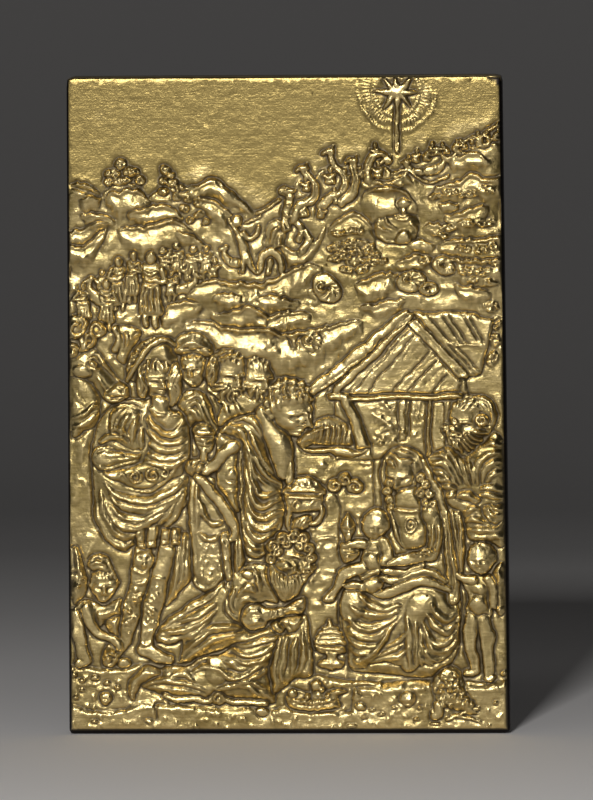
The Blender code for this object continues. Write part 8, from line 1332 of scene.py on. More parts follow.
def gifts(ground):
    """Lidded cup and crowned turban on the ground, a hanging scroll and a shell canopy on the wall."""
    cup = blank()
    mass(cup, [(42.4, 14.9), (42.3, 13.9), (43.4, 13.1), (46.6, 13.1), (47.6, 13.9), (47.5, 14.9)], 2.4, 0.9,
        0.8)
    for v, w, top in [(15.1, 2.7, 2.5), (15.8, 2.3, 2.4), (16.6, 1.9, 2.2), (17.3, 1.3, 2.0)]:
        rod(cup, [(44.9 - w + 0.3, v), (44.9 + w - 0.3, v)], 0.42, top)
    rod(cup, [(44.8, 17.4, 0.5, 1.9), (44.8, 18.9, 0.15, 1.6)], 0.4, 1.8)
    rod(cup, [(44.8, 13.3, 1.0, 2.1), (44.8, 12.4, 0.8, 2.0), (44.8, 11.6, 1.3, 2.1)], 0.9, 2.1)
    mass(cup, [(42.6, 11.4), (43.6, 12.1), (46, 12.1), (46.9, 11.4), (46.2, 10.7), (43.6, 10.7)], 2.3, 0.6,
        0.6)
    dabs(cup, [(43.2, 13.2), (46.6, 13.2), (46.4, 12), (43.4, 12)], 12, 0.22, 0.2, 12)
    ground = lay(ground, cup, 0.4)
    hat = blank()
    mass(hat, [(37.2, 5.8), (38.4, 6.8), (41, 6.4), (41.6, 8), (43, 8.4), (43.8, 6.8), (45.4, 7), (47.3, 6.8),
        (46.2, 5.6), (46.4, 3.8), (44, 3.3), (39, 3.3), (37.5, 4.2)], 2.4, 0.9, 0.9)
    pleats(hat, [[(38, 5.2), (40, 4.9), (42.8, 4.8), (45.8, 5.1)], [(38.4, 4), (41, 3.7), (44, 3.8),
        (46, 4.2)], [(37.6, 6.4), (39, 6.9), (40.2, 6.2)]], 0.65, 0.6)
    for u, v, s in [(38.2, 6.3, 0.8), (42.2, 7.6, 0.9), (43.2, 7, 0.5), (40.6, 5.8, 0.5), (44.4, 6, 0.5)]:
        blob(hat, u, v, s, s * 0.85, 3.1)
    mass(hat, [(44.6, 6.3), (46.2, 7.1), (47.6, 6.8), (46.2, 6.1)], 2.5, 0.4, 0.4)
    dabs(hat, [(38, 5.6), (45.6, 5.6), (46, 3.8), (38.4, 3.8)], 26, 0.25, 0.22, 13)
    ground = lay(ground, hat, 0.5)
    scroll = blank()
    for u, v, s, hand in [(46, 42.3, 1.15, 1), (49.2, 42.3, 1.3, -1), (47.5, 43.5, 1.1, 1)]:
        blob(scroll, u, v, s * 1.1, s * 1.1, 1.5)
        curl(scroll, u, v, s * 0.95, 0.5, 1.3, 200, hand, 0.42)
    ground = lay(ground, scroll, 0.5)
    shell = blank()
    mass(shell, [(39.4, 49.8), (40.2, 51.6), (41.8, 52.6), (43.6, 54), (45.6, 54.2), (47.8, 53.4), (49, 51.6),
        (49.2, 49.2), (46, 48.8), (42.6, 49.6), (40.6, 49)], 1.7, 0.8, 1.0)
    for i in range(8):
        t = i / 7
        pleats(shell, [[(40.2 + 3.2 * t, 49.8 + 0.8 * t), (40.6 + 3.4 * t, 50.9 + 1.2 * t),
            (41.4 + 3.9 * t, 51.3 + 1.6 * t)]], 0.32, 0.45, 0.2)
    for i in range(6):
        t = i / 5
        pleats(shell, [[(43 + 5.4 * t, 49.3), (43.6 + 5 * t, 51 - 0.2 * t),
            (43.9 + 4.4 * t, 53.6 - 0.6 * t)]], 0.36, 0.4, 0.2)
    ground = lay(ground, shell, 0.5)
    ledge = blank()
    mass(ledge, [(40.4, 49), (43, 48.9), (46.4, 49.4), (49, 49), (52.4, 48.8), (52, 48.2), (49.6, 47.3),
        (46.4, 47.2), (44.8, 48), (42, 48.1)], 1.5, 0.9, 0.5)
    return lay(ground, ledge, 0.5)


def old_man(ground):
    """Bearded old man behind the seated mother's shoulder, his hands at his belt."""
    robe = blank()
    mass(robe, [(61.8, 46.6), (63.6, 48.2), (65.6, 49.2), (68, 47), (71, 49.6), (74.9, 50.6), (74.9, 33.4),
        (72, 32.6), (69, 33), (67.6, 37), (64.6, 38.8), (63, 42)], 1.8, 0.9, 1.4)
    pleats(robe, [[(61.8, 47), (64.2, 47.6), (66, 45.6), (67.6, 42.4)], [(62.2, 46), (64.4, 46), (65.8, 44),
        (67, 42)], [(64.6, 49), (66.4, 47), (67.6, 44.4), (68.6, 42.2)], [(62.4, 44.6), (64.4, 44.4),
        (65.6, 43)], [(66.4, 48), (67.8, 46), (68.4, 43.6), (69, 42)], [(68.6, 47.4), (69.4, 44.8),
        (69.6, 42.4)]], 0.75, 0.65)
    pleats(robe, [[(70.4, 42.2), (70.6, 45), (72, 47.4), (74.9, 48.6)], [(71.4, 42.4), (71.8, 44.6),
        (73.2, 46.4), (74.9, 47)], [(72, 42.6), (73, 44), (74.9, 44.9)], [(71.4, 49.2), (73, 49.8),
        (74.9, 49.4)]], 0.75, 0.6)
    pleats(robe, [[(63.2, 42.9), (64.6, 43.2), (66.4, 42.6)], [(63.4, 41.6), (65, 42), (66.8, 41.4)],
        [(64.4, 40.4), (65.6, 40.6), (67, 40.6)]], 0.7, 0.6)
    pleats(robe, [[(70.6, 41.7), (72.6, 41.9), (74.9, 41.9)], [(70.6, 40.6), (72.6, 40.6), (74.9, 40.4)]],
        0.7, 0.6, 0.15)
    pleats(robe, [[(68.4, 37.6), (70, 38.2), (71, 38)], [(68.2, 36), (70, 36.4), (71.6, 35.8)], [(68.4, 34.6),
        (70.6, 34.6), (73, 34.4), (74.9, 35.2)], [(68.6, 33.4), (71, 33.1), (74, 33.6), (74.9, 34)]], 0.7,
        0.5)
    ground = lay(ground, robe, 0.5)
    post = blank()
    mass(post, [(64.6, 39), (67, 38.2), (68, 38.8), (68.2, 31), (67.8, 26.6), (66.6, 26.4), (66.4, 31),
        (65.4, 34)], 1.3, 0.5, 0.6)
    pleats(post, [[(66.1, 38), (66.6, 33), (67, 27.4)], [(67.6, 38), (67.5, 32), (67.6, 27.4)]], 0.5, 0.4)
    ground = lay(ground, post, 0.4)
    bag = blank()
    mass(bag, [(71, 39), (72.4, 39.4), (74.9, 39), (74.9, 36.2), (73.6, 35.4), (72, 36), (71, 37.2)], 2.3,
        0.8, 0.9)
    pleats(bag, [[(72, 38.6), (73, 37.2), (74.6, 36.6)], [(72.4, 39.4), (73.6, 38.2), (74.9, 37.8)],
        [(71.9, 37.4), (72.8, 36), (74.2, 35.4)]], 0.4, 0.4)
    ground = lay(ground, bag, 0.5)
    hand = blank()
    mass(hand, [(66.9, 40.2), (67.4, 41.4), (69, 41.6), (70, 40.6), (71, 39.8), (70.4, 39), (68.6, 39.6)],
        2.7, 0.7, 0.7)
    pleats(hand, [[(64.8, 39.3), (66.4, 39), (67.2, 38.2)], [(67.2, 38.4), (68.8, 39), (71, 39.1)]], 0.4, 0.4)
    ground = lay(ground, hand, 0.45)
    hood = blank()
    mass(hood, [(68, 57.8), (70.4, 57.9), (72.6, 57.4), (74, 55.6), (73.8, 53.4), (72.4, 51.2), (70, 52)],
        1.7, 0.8, 1.0)
    pleats(hood, [[(70, 57.8), (72.6, 56.8), (73.4, 54.4), (72.4, 52)]], 0.5, 0.4)
    ground = lay(ground, hood, 0.4)
    face = blank()
    head(face, 68.9, 53.4, 8.4, 3.5, yaw=-22, pitch=10, roll=-8, hair="short", beard=0.42, seed=6)
    for u, v, s, hand in [(71.4, 53.6, 1.05, 1), (66.6, 53.6, 0.6, -1), (66.3, 52.4, 0.55, 1)]:
        blob(face, u, v, s * 1.1, s * 1.1, 3.2)
        curl(face, u, v, s, 0.4, 1.3, 140, hand)
    return lay(ground, face, 0.45)


def seated_mother(ground):
    """Seated mother in a hooded cloak, her lap swagged over both knees."""
    cloak = blank()
    mass(cloak, [(54, 46), (55.2, 48.2), (57.4, 49), (60, 48.4), (61.6, 46), (63, 42.4), (64.8, 38.6),
        (66, 33), (67, 26), (67.2, 19), (66.6, 13), (64, 9.6), (60, 8.8), (55.6, 9.4), (51, 10), (48.2, 10.4),
        (47, 14), (46.3, 19), (46.8, 23.4), (48.6, 24.6), (52, 24), (54, 28), (54.4, 33), (54, 38),
        (54.2, 42)], 2.2, 1.2, 1.6)
    ground = lay(ground, cloak, 0.5)
    fall = blank()
    rod(fall, [(61, 46.6, 0.6, 2.2), (62.6, 43, 0.7, 2.3), (64.4, 38.6, 0.85, 2.5), (65.2, 33, 0.9, 2.6),
        (66, 27, 1.1, 2.7), (65.9, 23.4, 1.2, 2.8), (65, 21.8, 0.9, 2.6)], 0.9, 2.6)
    pleats(fall, [[(64, 39), (64.8, 33), (65.5, 27), (65.4, 23)], [(64.9, 38), (65.8, 31), (66.5, 26),
        (66, 23)]], 0.4, 0.4)
    ground = lay(ground, fall, 0.45)
    lap = blank()
    mass(lap, [(47, 22.6), (48.6, 24.6), (51.4, 24.4), (54, 24.6), (57, 26.8), (61, 27.6), (64.6, 25.6),
        (66.6, 22.6), (66.9, 17), (65.6, 13), (62, 10.8), (58, 10.2), (53, 11), (48.4, 10.7), (47.6, 13.4),
        (46.9, 18)], 3.0, 1.2, 1.8)
    blob(lap, 48.9, 21.6, 2.6, 3.4, 3.7, 1.5)
    blob(lap, 60.6, 21.6, 3.2, 3.0, 3.75, 1.7, 20)
    rod(lap, [(59.8, 20.6, 2.4, 3.8), (58.2, 16, 2.0, 3.4), (58.4, 11.4, 1.5, 3.0)], 2.0, 3.5)
    pleats(lap, [[(49.6, 24), (51.4, 21.6), (54, 20.9), (57.4, 21.8)], [(47.9, 21.6), (50, 19.9),
        (53.4, 19.7), (57.2, 21)], [(47.5, 19.8), (49.4, 17.7), (52.8, 17.6), (56.8, 19.9)], [(47.5, 18),
        (49.6, 16.2), (52.6, 15.9), (56.4, 18.8)], [(47.6, 16), (50, 14.4), (52.8, 14.6), (55.6, 17.4)],
        [(47.9, 14), (50.2, 12.9), (52.4, 13.6), (54.6, 15.8)], [(48.3, 12.2), (50, 11.7), (52, 12.6),
        (53.6, 14.2)]], 0.95, 0.75, 0.3)
    pleats(lap, [[(57.2, 20), (54.6, 16.6), (51.6, 13), (48.6, 11)]], 0.5, 0.4)
    pleats(lap, [[(51.6, 11.6), (54, 12.1), (56.6, 12.6), (58.4, 14.4)], [(52.6, 12.6), (55, 13.4),
        (57.4, 14.8)], [(54.4, 14.2), (56.6, 15.2), (58, 17)]], 0.6, 0.5)
    pleats(lap, [[(57.9, 20), (58.2, 15), (58.6, 10.4)], [(59.3, 19), (59.4, 14), (59.8, 9.6)], [(60.4, 18),
        (60.2, 13.6), (60.8, 9.4)]], 0.75, 0.6)
    pleats(lap, [[(60.6, 19), (62.2, 15.4), (64.4, 14.8), (66.7, 17)], [(60.6, 17), (62.4, 13.8),
        (64.6, 13.2), (66.5, 15.4)], [(60.4, 15), (62.2, 12.2), (64.2, 11.8), (66, 13.6)], [(60.6, 12.6),
        (62, 11), (64, 10.6), (65.6, 12.2)], [(61.4, 20.4), (63, 17.6), (65, 17), (66.8, 18.6)], [(62, 22),
        (63.6, 19.6), (65.2, 19), (66.6, 20.4)]], 0.85, 0.65, 0.3)
    ground = lay(ground, lap, 0.5)
    rolls = blank()
    rod(rolls, [(52, 24.2, 0.7, 3.6), (54.4, 23.7, 0.9, 3.9), (57.4, 24.8, 0.95, 4.1), (60.4, 25.9, 0.8, 4.2),
        (63, 25.4, 0.7, 3.9), (65.4, 24.2, 0.5, 3.4)], 0.8, 3.8)
    rod(rolls, [(53.8, 26.4, 0.6, 3.3), (56.4, 25.9, 0.7, 3.5), (59.6, 27.1, 0.7, 3.6), (63, 26.9, 0.6, 3.4),
        (64.8, 25.7, 0.5, 3.2)], 0.7, 3.5)
    rod(rolls, [(54.4, 27.8, 0.6, 3.1), (57.4, 27.2, 0.7, 3.2), (60.6, 28.4, 0.6, 3.2)], 0.6, 3.1)
    ground = lay(ground, rolls, 0.5)
    chest = blank()
    mass(chest, [(54.6, 40), (56.6, 41), (60.6, 41), (62.4, 39.6), (62.2, 34), (61.4, 31.6), (57.6, 31.4),
        (55.4, 35.4)], 3.1, 0.9, 1.4)
    mass(chest, [(56.4, 40.6), (57.6, 42.4), (60, 42.4), (61, 40.6), (60.8, 38.4), (56, 38.2)], 3.4, 0.5, 0.9)
    fold(chest, [(55.4, 38.3), (58, 37.9), (61, 38.5)], 0.22, 0.35, 0.2)
    for s in (1.0, 0.4):
        ring = [(58.9 + s * math.cos(a), 35.5 + 1.2 * s * math.sin(a))
            for a in np.linspace(0, 2 * math.pi, 9)]
        pleats(chest, [ring], 0.2, 0.3, 0)
    pleats(chest, [[(54.9, 39.6), (55.4, 36.4), (56.6, 33.2), (58, 31.4)], [(54.2, 38), (54.7, 35), (56, 32),
        (57, 30.9)]], 0.6, 0.6)
    ground = lay(ground, chest, 0.45)
    arm = blank()
    blob(arm, 62.2, 37.8, 1.7, 2.6, 3.5, 1.2, 8)
    dabs(arm, [(60.8, 40.2), (63.4, 40), (63.6, 38.4), (60.8, 38.2)], 14, 0.34, 0.3, 14)
    rod(arm, [(62.8, 36.6, 1.4, 3.4), (63, 33.6, 1.4, 3.6), (62.6, 31, 1.2, 3.8)], 1.4, 3.5)
    pleats(arm, [[(61.6, 36), (61.2, 33.4), (60.9, 31.6)], [(62.6, 35.6), (62.3, 33), (62, 31)],
        [(63.7, 35.2), (63.6, 32.6), (62.8, 30.2)]], 0.5, 0.4)
    ground = lay(ground, arm, 0.45)
    fore = blank()
    rod(fore, [(62.2, 30.4, 1.3, 3.9), (59.6, 29.9, 1.15, 4.0), (56.6, 29.4, 0.95, 3.9),
        (54.2, 29.3, 0.8, 3.8)], 1.0, 3.9)
    dabs(fore, [(58, 31), (61.8, 31.6), (62.4, 30), (58.6, 30)], 22, 0.3, 0.3, 15, 20)
    ground = lay(ground, fore, 0.55)
    hood = blank()
    mass(hood, [(53.9, 43.4), (54.2, 46.6), (56, 48.7), (58.6, 49.1), (60.8, 47.9), (61.6, 45.6), (60.6, 42),
        (57.6, 40.6), (55, 41.4)], 2.9, 1.1, 1.4)
    pleats(hood, [[(53.9, 43.6), (54.5, 46.8), (57, 48.8), (60, 48), (61.3, 45), (62, 42.6)]], 0.45, 0.35)
    ground = lay(ground, hood, 0.4)
    hair = blank()
    for u, v, s, hand in [(55.2, 42.9, 0.7, 1), (54.8, 41.4, 0.75, -1), (55.2, 40, 0.7, 1),
            (55.5, 38.8, 0.55, -1), (60.8, 43.8, 0.8, -1), (61.7, 42.5, 0.8, 1), (61, 41.4, 0.8, -1),
            (62.4, 41, 0.7, 1), (61.7, 39.8, 0.75, -1), (63, 39.4, 0.6, 1)]:
        blob(hair, u, v, s * 1.1, s * 1.1, 3.3)
        curl(hair, u, v, s, 0.35, 1.3, 70 * u, hand)
    ground = lay(ground, hair, 0.35)
    face = blank()
    head(face, 57.5, 44.6, 7.6, 4.2, yaw=-18, pitch=18, roll=6, hair="wavy", seed=4, ear=False)
    return lay(ground, face, 0.45)


def child(ground):
    """Naked child seated on the seated mother's knee, one foot hanging, reaching up to a lidded cup."""
    cup = blank()
    mass(cup, [(46.7, 35), (47, 36.3), (48, 37.6), (49, 36.3), (49.3, 35), (48.6, 33.7), (47.4, 33.7)], 2.2,
        0.9, 0.9)
    fold(cup, [(46.8, 35.1), (48, 34.8), (49.2, 35.1)], 0.15, -0.25, 0)
    rod(cup, [(48, 34, 0.5, 2.0), (48, 32.2, 0.5, 2.1)], 0.5, 2.0)
    ground = lay(ground, cup, 0.45)
    body = blank()
    rod(body, [(53.2, 32.6, 1.5, 3.4), (52.4, 30.6, 1.9, 3.6), (52, 28.6, 2.0, 3.7), (51.6, 27, 1.7, 3.6)],
        1.9, 3.6)
    blob(body, 52.2, 29.4, 1.7, 1.8, 4.0, 1.2)
    rod(body, [(50.6, 32.3, 0.95, 3.6), (49.2, 32.2, 0.8, 3.5), (47.8, 31.7, 0.6, 3.2), (47, 32, 0.45, 3.0)],
        0.8, 3.4)
    rod(body, [(54.2, 32.6, 0.95, 3.6), (54.9, 30.6, 0.9, 3.8), (54.2, 29.2, 0.7, 3.9)], 0.9, 3.7)
    fold(body, [(50.8, 31.3), (52.2, 31), (53.6, 31.3)], 0.2, -0.2)
    fold(body, [(50.7, 28.2), (52.2, 27.8), (53.6, 28.2)], 0.2, -0.25)
    ground = lay(ground, body, 0.5)
    other = blank()
    mass(other, [(46.5, 31.6), (47.6, 32.4), (49.6, 32), (50, 30.6), (49, 29.4), (47.6, 28.9), (46.9, 30)],
        2.9, 0.8, 0.8)
    pleats(other, [[(46.9, 31.6), (48.4, 31.4), (49.7, 31.5)], [(47, 30.7), (48.3, 30.5), (49.6, 30.6)],
        [(47.4, 29.9), (48.6, 29.8)]], 0.32, 0.3)
    ground = lay(ground, other, 0.45)
    legs = blank()
    rod(legs, [(50.8, 28.3, 1.1, 3.7), (48.6, 27.5, 1.05, 3.7), (47.2, 26.8, 0.95, 3.5),
        (46.4, 25.4, 0.75, 3.2), (45.6, 24, 0.65, 3.0), (44.6, 22.9, 0.7, 2.9)], 0.9, 3.5)
    blob(legs, 44.6, 22.8, 1.0, 0.7, 3.0, 0.6, 12)
    blob(legs, 48.9, 25, 2.0, 0.7, 3.8, 0.6, 6)
    blob(legs, 52.3, 25.2, 1.9, 1.5, 4.4, 1.5, 25)
    blob(legs, 50.6, 24.7, 0.75, 0.8, 4.0, 0.7)
    fold(legs, [(50.4, 26.6), (51.6, 27), (53.2, 27.2)], 0.25, -0.35)
    ground = lay(ground, legs, 0.5)
    face = blank()
    head(face, 52.8, 35.6, 4.9, 4.4, yaw=6, pitch=10, hair="bald", child=True, broad=1.12, seed=1)
    return lay(ground, face, 0.45)


def putto(ground):
    """Standing child at the right edge, arm out to the seated mother's cloak."""
    tail = blank()
    mass(tail, [(73, 27), (74.9, 28.6), (74.9, 20.6), (73.6, 20.6), (73, 23)], 1.6, 0.6, 0.8)
    pleats(tail, [[(73.6, 27.4), (74.4, 26.4), (73.8, 24.8)], [(73.2, 22), (74, 20.9), (74.9, 21.4)]], 0.5,
        0.5)
    ground = lay(ground, tail, 0.4)
    legs = blank()
    rod(legs, [(69.6, 19.6, 1.5, 2.7), (68.9, 17, 1.35, 2.7), (68.9, 14.4, 1.0, 2.5), (69.6, 12, 0.85, 2.3),
        (69.9, 10.2, 0.7, 2.2)], 1.2, 2.6)
    rod(legs, [(71.2, 19.4, 1.5, 2.6), (71.9, 16.6, 1.35, 2.6), (71.9, 14, 1.0, 2.4), (72, 11.4, 0.85, 2.3),
        (72, 9.6, 0.7, 2.2)], 1.2, 2.5)
    blob(legs, 69, 9.8, 1.3, 0.65, 2.2, 0.5, 6)
    blob(legs, 72.2, 9, 0.95, 0.8, 2.3, 0.5)
    ground = lay(ground, legs, 0.45)
    body = blank()
    mass(body, [(67.8, 25.8), (69.2, 26.8), (72.6, 26.6), (73.2, 24.8), (72.6, 22.6), (72.8, 20), (71, 18.8),
        (69.4, 18.8), (68.2, 20.4), (68.6, 22.8)], 2.9, 0.9, 1.6)
    blob(body, 70.4, 21.8, 1.7, 1.9, 3.2, 1.0)
    fold(body, [(68.8, 23.9), (70.4, 23.4), (72.2, 23.9)], 0.25, -0.2)
    fold(body, [(68.8, 19.6), (70.3, 18.9), (71.8, 19.6)], 0.25, -0.3)
    rod(body, [(69.6, 26, 0.8, 3.1), (68, 26.2, 0.7, 3.0), (66.9, 26.7, 0.55, 2.8)], 0.7, 3.0)
    rod(body, [(72.3, 26, 0.9, 3.0), (73.2, 23.6, 0.75, 2.7), (73, 21.6, 0.6, 2.5)], 0.8, 2.9)
    ground = lay(ground, body, 0.45)
    face = blank()
    head(face, 71, 29.7, 5.3, 3.8, yaw=-10, pitch=8, hair="bald", child=True, broad=1.1, seed=2)
    return lay(ground, face, 0.45)


def dog(ground):
    """Shaggy dog at the seated mother's feet."""
    body = blank()
    mass(body, [(63.4, 9.6), (64.8, 10.7), (66.6, 10.4), (67.8, 8.6), (68.6, 6.4), (69.8, 4.6), (70.4, 2.6),
        (68, 2.2), (66.4, 3), (64.4, 3.6), (63, 2.4), (62, 3), (62.8, 5), (62.4, 7.6)], 2.8, 1.1, 1.3)
    blob(body, 65, 9, 1.5, 1.5, 3.2, 0.9)
    blob(body, 66, 7.4, 1.1, 0.9, 3.4, 0.7)
    dabs(body, [(63, 9.6), (66.4, 10.2), (68.6, 6), (69.4, 4.2), (64, 3.8), (62.8, 6)], 120, 0.24, 0.28, 16)
    rod(body, [(63.4, 4.4, 0.8, 2.9), (63.2, 3, 0.75, 2.8), (62.8, 2.6, 0.8, 2.7)], 0.8, 2.8)
    fold(body, [(65.4, 7.6), (65.9, 7.1), (66.5, 7.3)], 0.16, -0.35)
    blob(body, 65.4, 8.3, 0.3, 0.22, 3.3)
    blob(body, 66.7, 8.2, 0.3, 0.22, 3.3)
    ground = lay(ground, body, 0.45)
    sticks = blank()
    rod(sticks, [(64.8, 1.9), (67, 2.6), (70, 3.8)], 0.3, 2.2)
    rod(sticks, [(65.4, 2.6), (67.6, 2.2), (70.2, 1.4)], 0.28, 2.1)
    return lay(ground, sticks, 0.35)


relief = np.zeros((NV, NU))
for step in (star, hills, weathering, scrub, camels, herald, procession, foreground, hut, horse, two_beards,
        cap_man, central_king, crouching_man, young_king, kneeling_king, gifts, old_man, seated_mother, child,
        putto, dog):
    relief = step(relief)

# Height up the face of the middle of the rocky hills, and how far they reach from there
ROCKS_MIDDLE = 84
ROCKS_REACH = 14
# The whole front is gone over by hand: lines wander a little, the big forms are pressed low, the fine work
# is cut sharper, and the punch leaves small dents.
relief = wandered(wandered(relief, 0.12, 0.9, 11), 0.05, 0.3, 21)
relief = chased(relief)
worked = np.clip(relief / 0.25, 0, 1)
rocky = np.clip(1 - np.abs(GRID_V - ROCKS_MIDDLE) / ROCKS_REACH, 0, 1) * (relief > 0.05)
relief += 0.045 * drift(0.8, 31) * worked + 0.026 * drift(0.25, 32) * (0.6 + 0.4 * worked)
relief += 0.06 * drift(0.9, 34) * rocky
# Towards the border everything sinks to the plain ground, and the worn corner is rubbed lower still
margin = np.minimum(np.minimum(GRID_U, GRID_U[::-1, ::-1]), np.minimum(GRID_V, GRID_V[::-1, ::-1]))
relief *= np.clip(0.5 + margin / 0.3, 0, 1)
corner = (GRID_U - LOSS_TOP_U) / (FACE_W - LOSS_TOP_U) + (GRID_V - LOSS_SIDE_V) / (FACE_H - LOSS_SIDE_V) - 1
relief -= LOSS_DEPTH * np.clip(2 * corner + 0.3 * drift(0.5, 35), 0, 1)


# --- The casting -------------------------------------------------------------------------------------
# One piece of cast bronze, its front lifted out of the height map above, its edges filed to a slope and
# rounded at the corners, its back left plain. The gold was laid on the front and wraps a little over the
# upper arris, where it is also lightened as a painted highlight, and it is lost beyond a slanting line at the
# upper right corner.
# Sizes of the hollows that hold dirt and painted shade, how far up the sky begins and blends in, what rises
# clear of the sky's painted shade, and the share of gold and painted highlight along the top edge
FINE_HOLLOW = 0.25
BROAD_HOLLOW = 0.9
SKY_FOOT = 86
SKY_BLEND = 6
SKY_SHADE_DEPTH = 0.12
TOP_GOLD_AND_HIGHLIGHT = 0.85
# From the border of the gilt face out and back: the share of the dark edge, and the depth
RIM_RINGS = ((0.3, 0.06), (0.8, EDGE_DEPTH - 0.25), (1.0, EDGE_DEPTH), (1.0, BODY_DEPTH - 0.35),
    (0.75, BODY_DEPTH - 0.1), (0.3, BODY_DEPTH))


def sampled(field, u, v):
    """The value of a field at any place on the face, blended between the raster's points."""
    c = np.clip(u / PITCH, 0, NU - 1.001)
    r = np.clip(v / PITCH, 0, NV - 1.001)
    c0 = c.astype(int)
    r0 = r.astype(int)
    fc = c - c0
    fr = r - r0
    low = field[r0, c0] * (1 - fc) + field[r0, c0 + 1] * fc
    high = field[r0 + 1, c0] * (1 - fc) + field[r0 + 1, c0 + 1] * fc
    return low * (1 - fr) + high * fr


def lifted_sheet(heights):
    """A plane grid the size of the face, lifted by the height map and thinned where it is smooth."""
    nx = int(FACE_W / SHEET_STEP) + 1
    nz = int(FACE_H / SHEET_STEP) + 1
    u, v = np.meshgrid(np.linspace(0, FACE_W, nx), np.linspace(0, FACE_H, nz))
    u = u.ravel()
    v = v.ravel()
    places = np.stack([u - FACE_W / 2, -sampled(heights, u, v), v - FACE_H / 2], axis=1)
    low = (np.arange(nz - 1)[:, None] * nx + np.arange(nx - 1)[None, :]).ravel()
    quads = np.stack([low, low + 1, low + nx + 1, low + nx], axis=1)
    mesh = bpy.data.meshes.new("sheet")
    mesh.vertices.add(len(places))
    mesh.vertices.foreach_set("co", places.ravel())
    mesh.loops.add(quads.size)
    mesh.loops.foreach_set("vertex_index", quads.ravel())
    mesh.polygons.add(len(quads))
    mesh.polygons.foreach_set("loop_start", np.arange(0, quads.size, 4))
    mesh.update(calc_edges=True)
    sheet = bpy.data.objects.new("sheet", mesh)
    bpy.context.scene.collection.objects.link(sheet)
    thin = sheet.modifiers.new("fewer", "DECIMATE")
    thin.ratio = FACE_TRIANGLES / (2 * (nx - 1) * (nz - 1))
    done = bpy.data.meshes.new_from_object(sheet.evaluated_get(bpy.context.evaluated_depsgraph_get()))
    bpy.data.objects.remove(sheet)
    bm = bmesh.new()
    bm.from_mesh(done)
    bpy.data.meshes.remove(done)
    return bm


def straightened_border(bm):
    """Puts the sheet's border back on the exact rectangle and a point on each corner."""
    half_w = FACE_W / 2
    half_h = FACE_H / 2
    border = [v for v in bm.verts if v.is_boundary]
    for v in border:
        if half_w - abs(v.co.x) < half_h - abs(v.co.z):
            v.co.x = math.copysign(half_w, v.co.x)
        else:
            v.co.z = math.copysign(half_h, v.co.z)
    for sx in (-half_w, half_w):
        for sz in (-half_h, half_h):
            near = min(border, key=lambda v: math.hypot(v.co.x - sx, v.co.z - sz))
            near.co.x = sx
            near.co.z = sz


def rounded(x, z):
    """Bends the square corners of the casting into round ones."""
    half_w = FACE_W / 2 + (EDGE_RIGHT if x > 0 else EDGE_LEFT) - CORNER_RADIUS
    half_h = FACE_H / 2 + (EDGE_TOP if z > 0 else EDGE_FOOT) - CORNER_RADIUS
    ax = abs(x) - half_w
    az = abs(z) - half_h
    if ax <= 0 or az <= 0:
        return x, z
    pull = max(ax, az) / math.hypot(ax, az)
    return math.copysign(half_w + ax * pull, x), math.copysign(half_h + az * pull, z)


def grown_rings(bm, rings):
    """Carries the border out and back through rings of (share of the edge, depth) and closes the back."""
    edges = [e for e in bm.edges if e.is_boundary]
    base = {v: v.co.copy() for v in bm.verts if v.is_boundary}
    for share, depth in rings:
        made = bmesh.ops.extrude_edge_only(bm, edges=edges)["geom"]
        fresh = [g for g in made if isinstance(g, bmesh.types.BMVert)]
        homes = [next(base[e.other_vert(v)] for e in v.link_edges if e.other_vert(v) in base) for v in fresh]
        for v, home in zip(fresh, homes):
            x = home.x + share * (-EDGE_LEFT + (home.x / FACE_W + 0.5) * (EDGE_LEFT + EDGE_RIGHT))
            z = home.z + share * (-EDGE_FOOT + (home.z / FACE_H + 0.5) * (EDGE_FOOT + EDGE_TOP))
            v.co = (x, depth, z)
        base.update(zip(fresh, homes))
        edges = [g for g in made if isinstance(g, bmesh.types.BMEdge) and g.is_boundary]
    bmesh.ops.contextual_create(bm, geom=edges)


plaque = lifted_sheet(relief)
straightened_border(plaque)
grown_rings(plaque, RIM_RINGS)
strip = BODY_DEPTH - EDGE_DEPTH
for vertex in plaque.verts:
    vertex.co.x, vertex.co.z = rounded(vertex.co.x, vertex.co.z)
bmesh.ops.recalc_face_normals(plaque, faces=plaque.faces)
bmesh.ops.triangulate(plaque, faces=plaque.faces)
casting = bpy.data.meshes.new("gilt_casting")
plaque.to_mesh(casting)
plaque.free()
casting.shade_smooth()

places = np.zeros(len(casting.vertices) * 3)
casting.vertices.foreach_get("co", places)
places = places.reshape(-1, 3)
on_u = places[:, 0] + FACE_W / 2
on_v = places[:, 2] + FACE_H / 2
front = (np.abs(places[:, 0]) < FACE_W / 2 + 0.01) & (np.abs(places[:, 2]) < FACE_H / 2 + 0.01)
front &= places[:, 1] < BODY_DEPTH / 2
# How far each place lies in a hollow, at two sizes, and how much gold is left there
fine_hollow = sampled(blurred(relief, FINE_HOLLOW) - relief, on_u, on_v)
broad_hollow = sampled(blurred(relief, BROAD_HOLLOW) - relief, on_u, on_v)
past = (on_u - LOSS_TOP_U) / (FACE_W - LOSS_TOP_U) + (on_v - LOSS_SIDE_V) / (FACE_H - LOSS_SIDE_V) - 1
gilt = np.where(front & (past < 0), 1.0, 0.0)
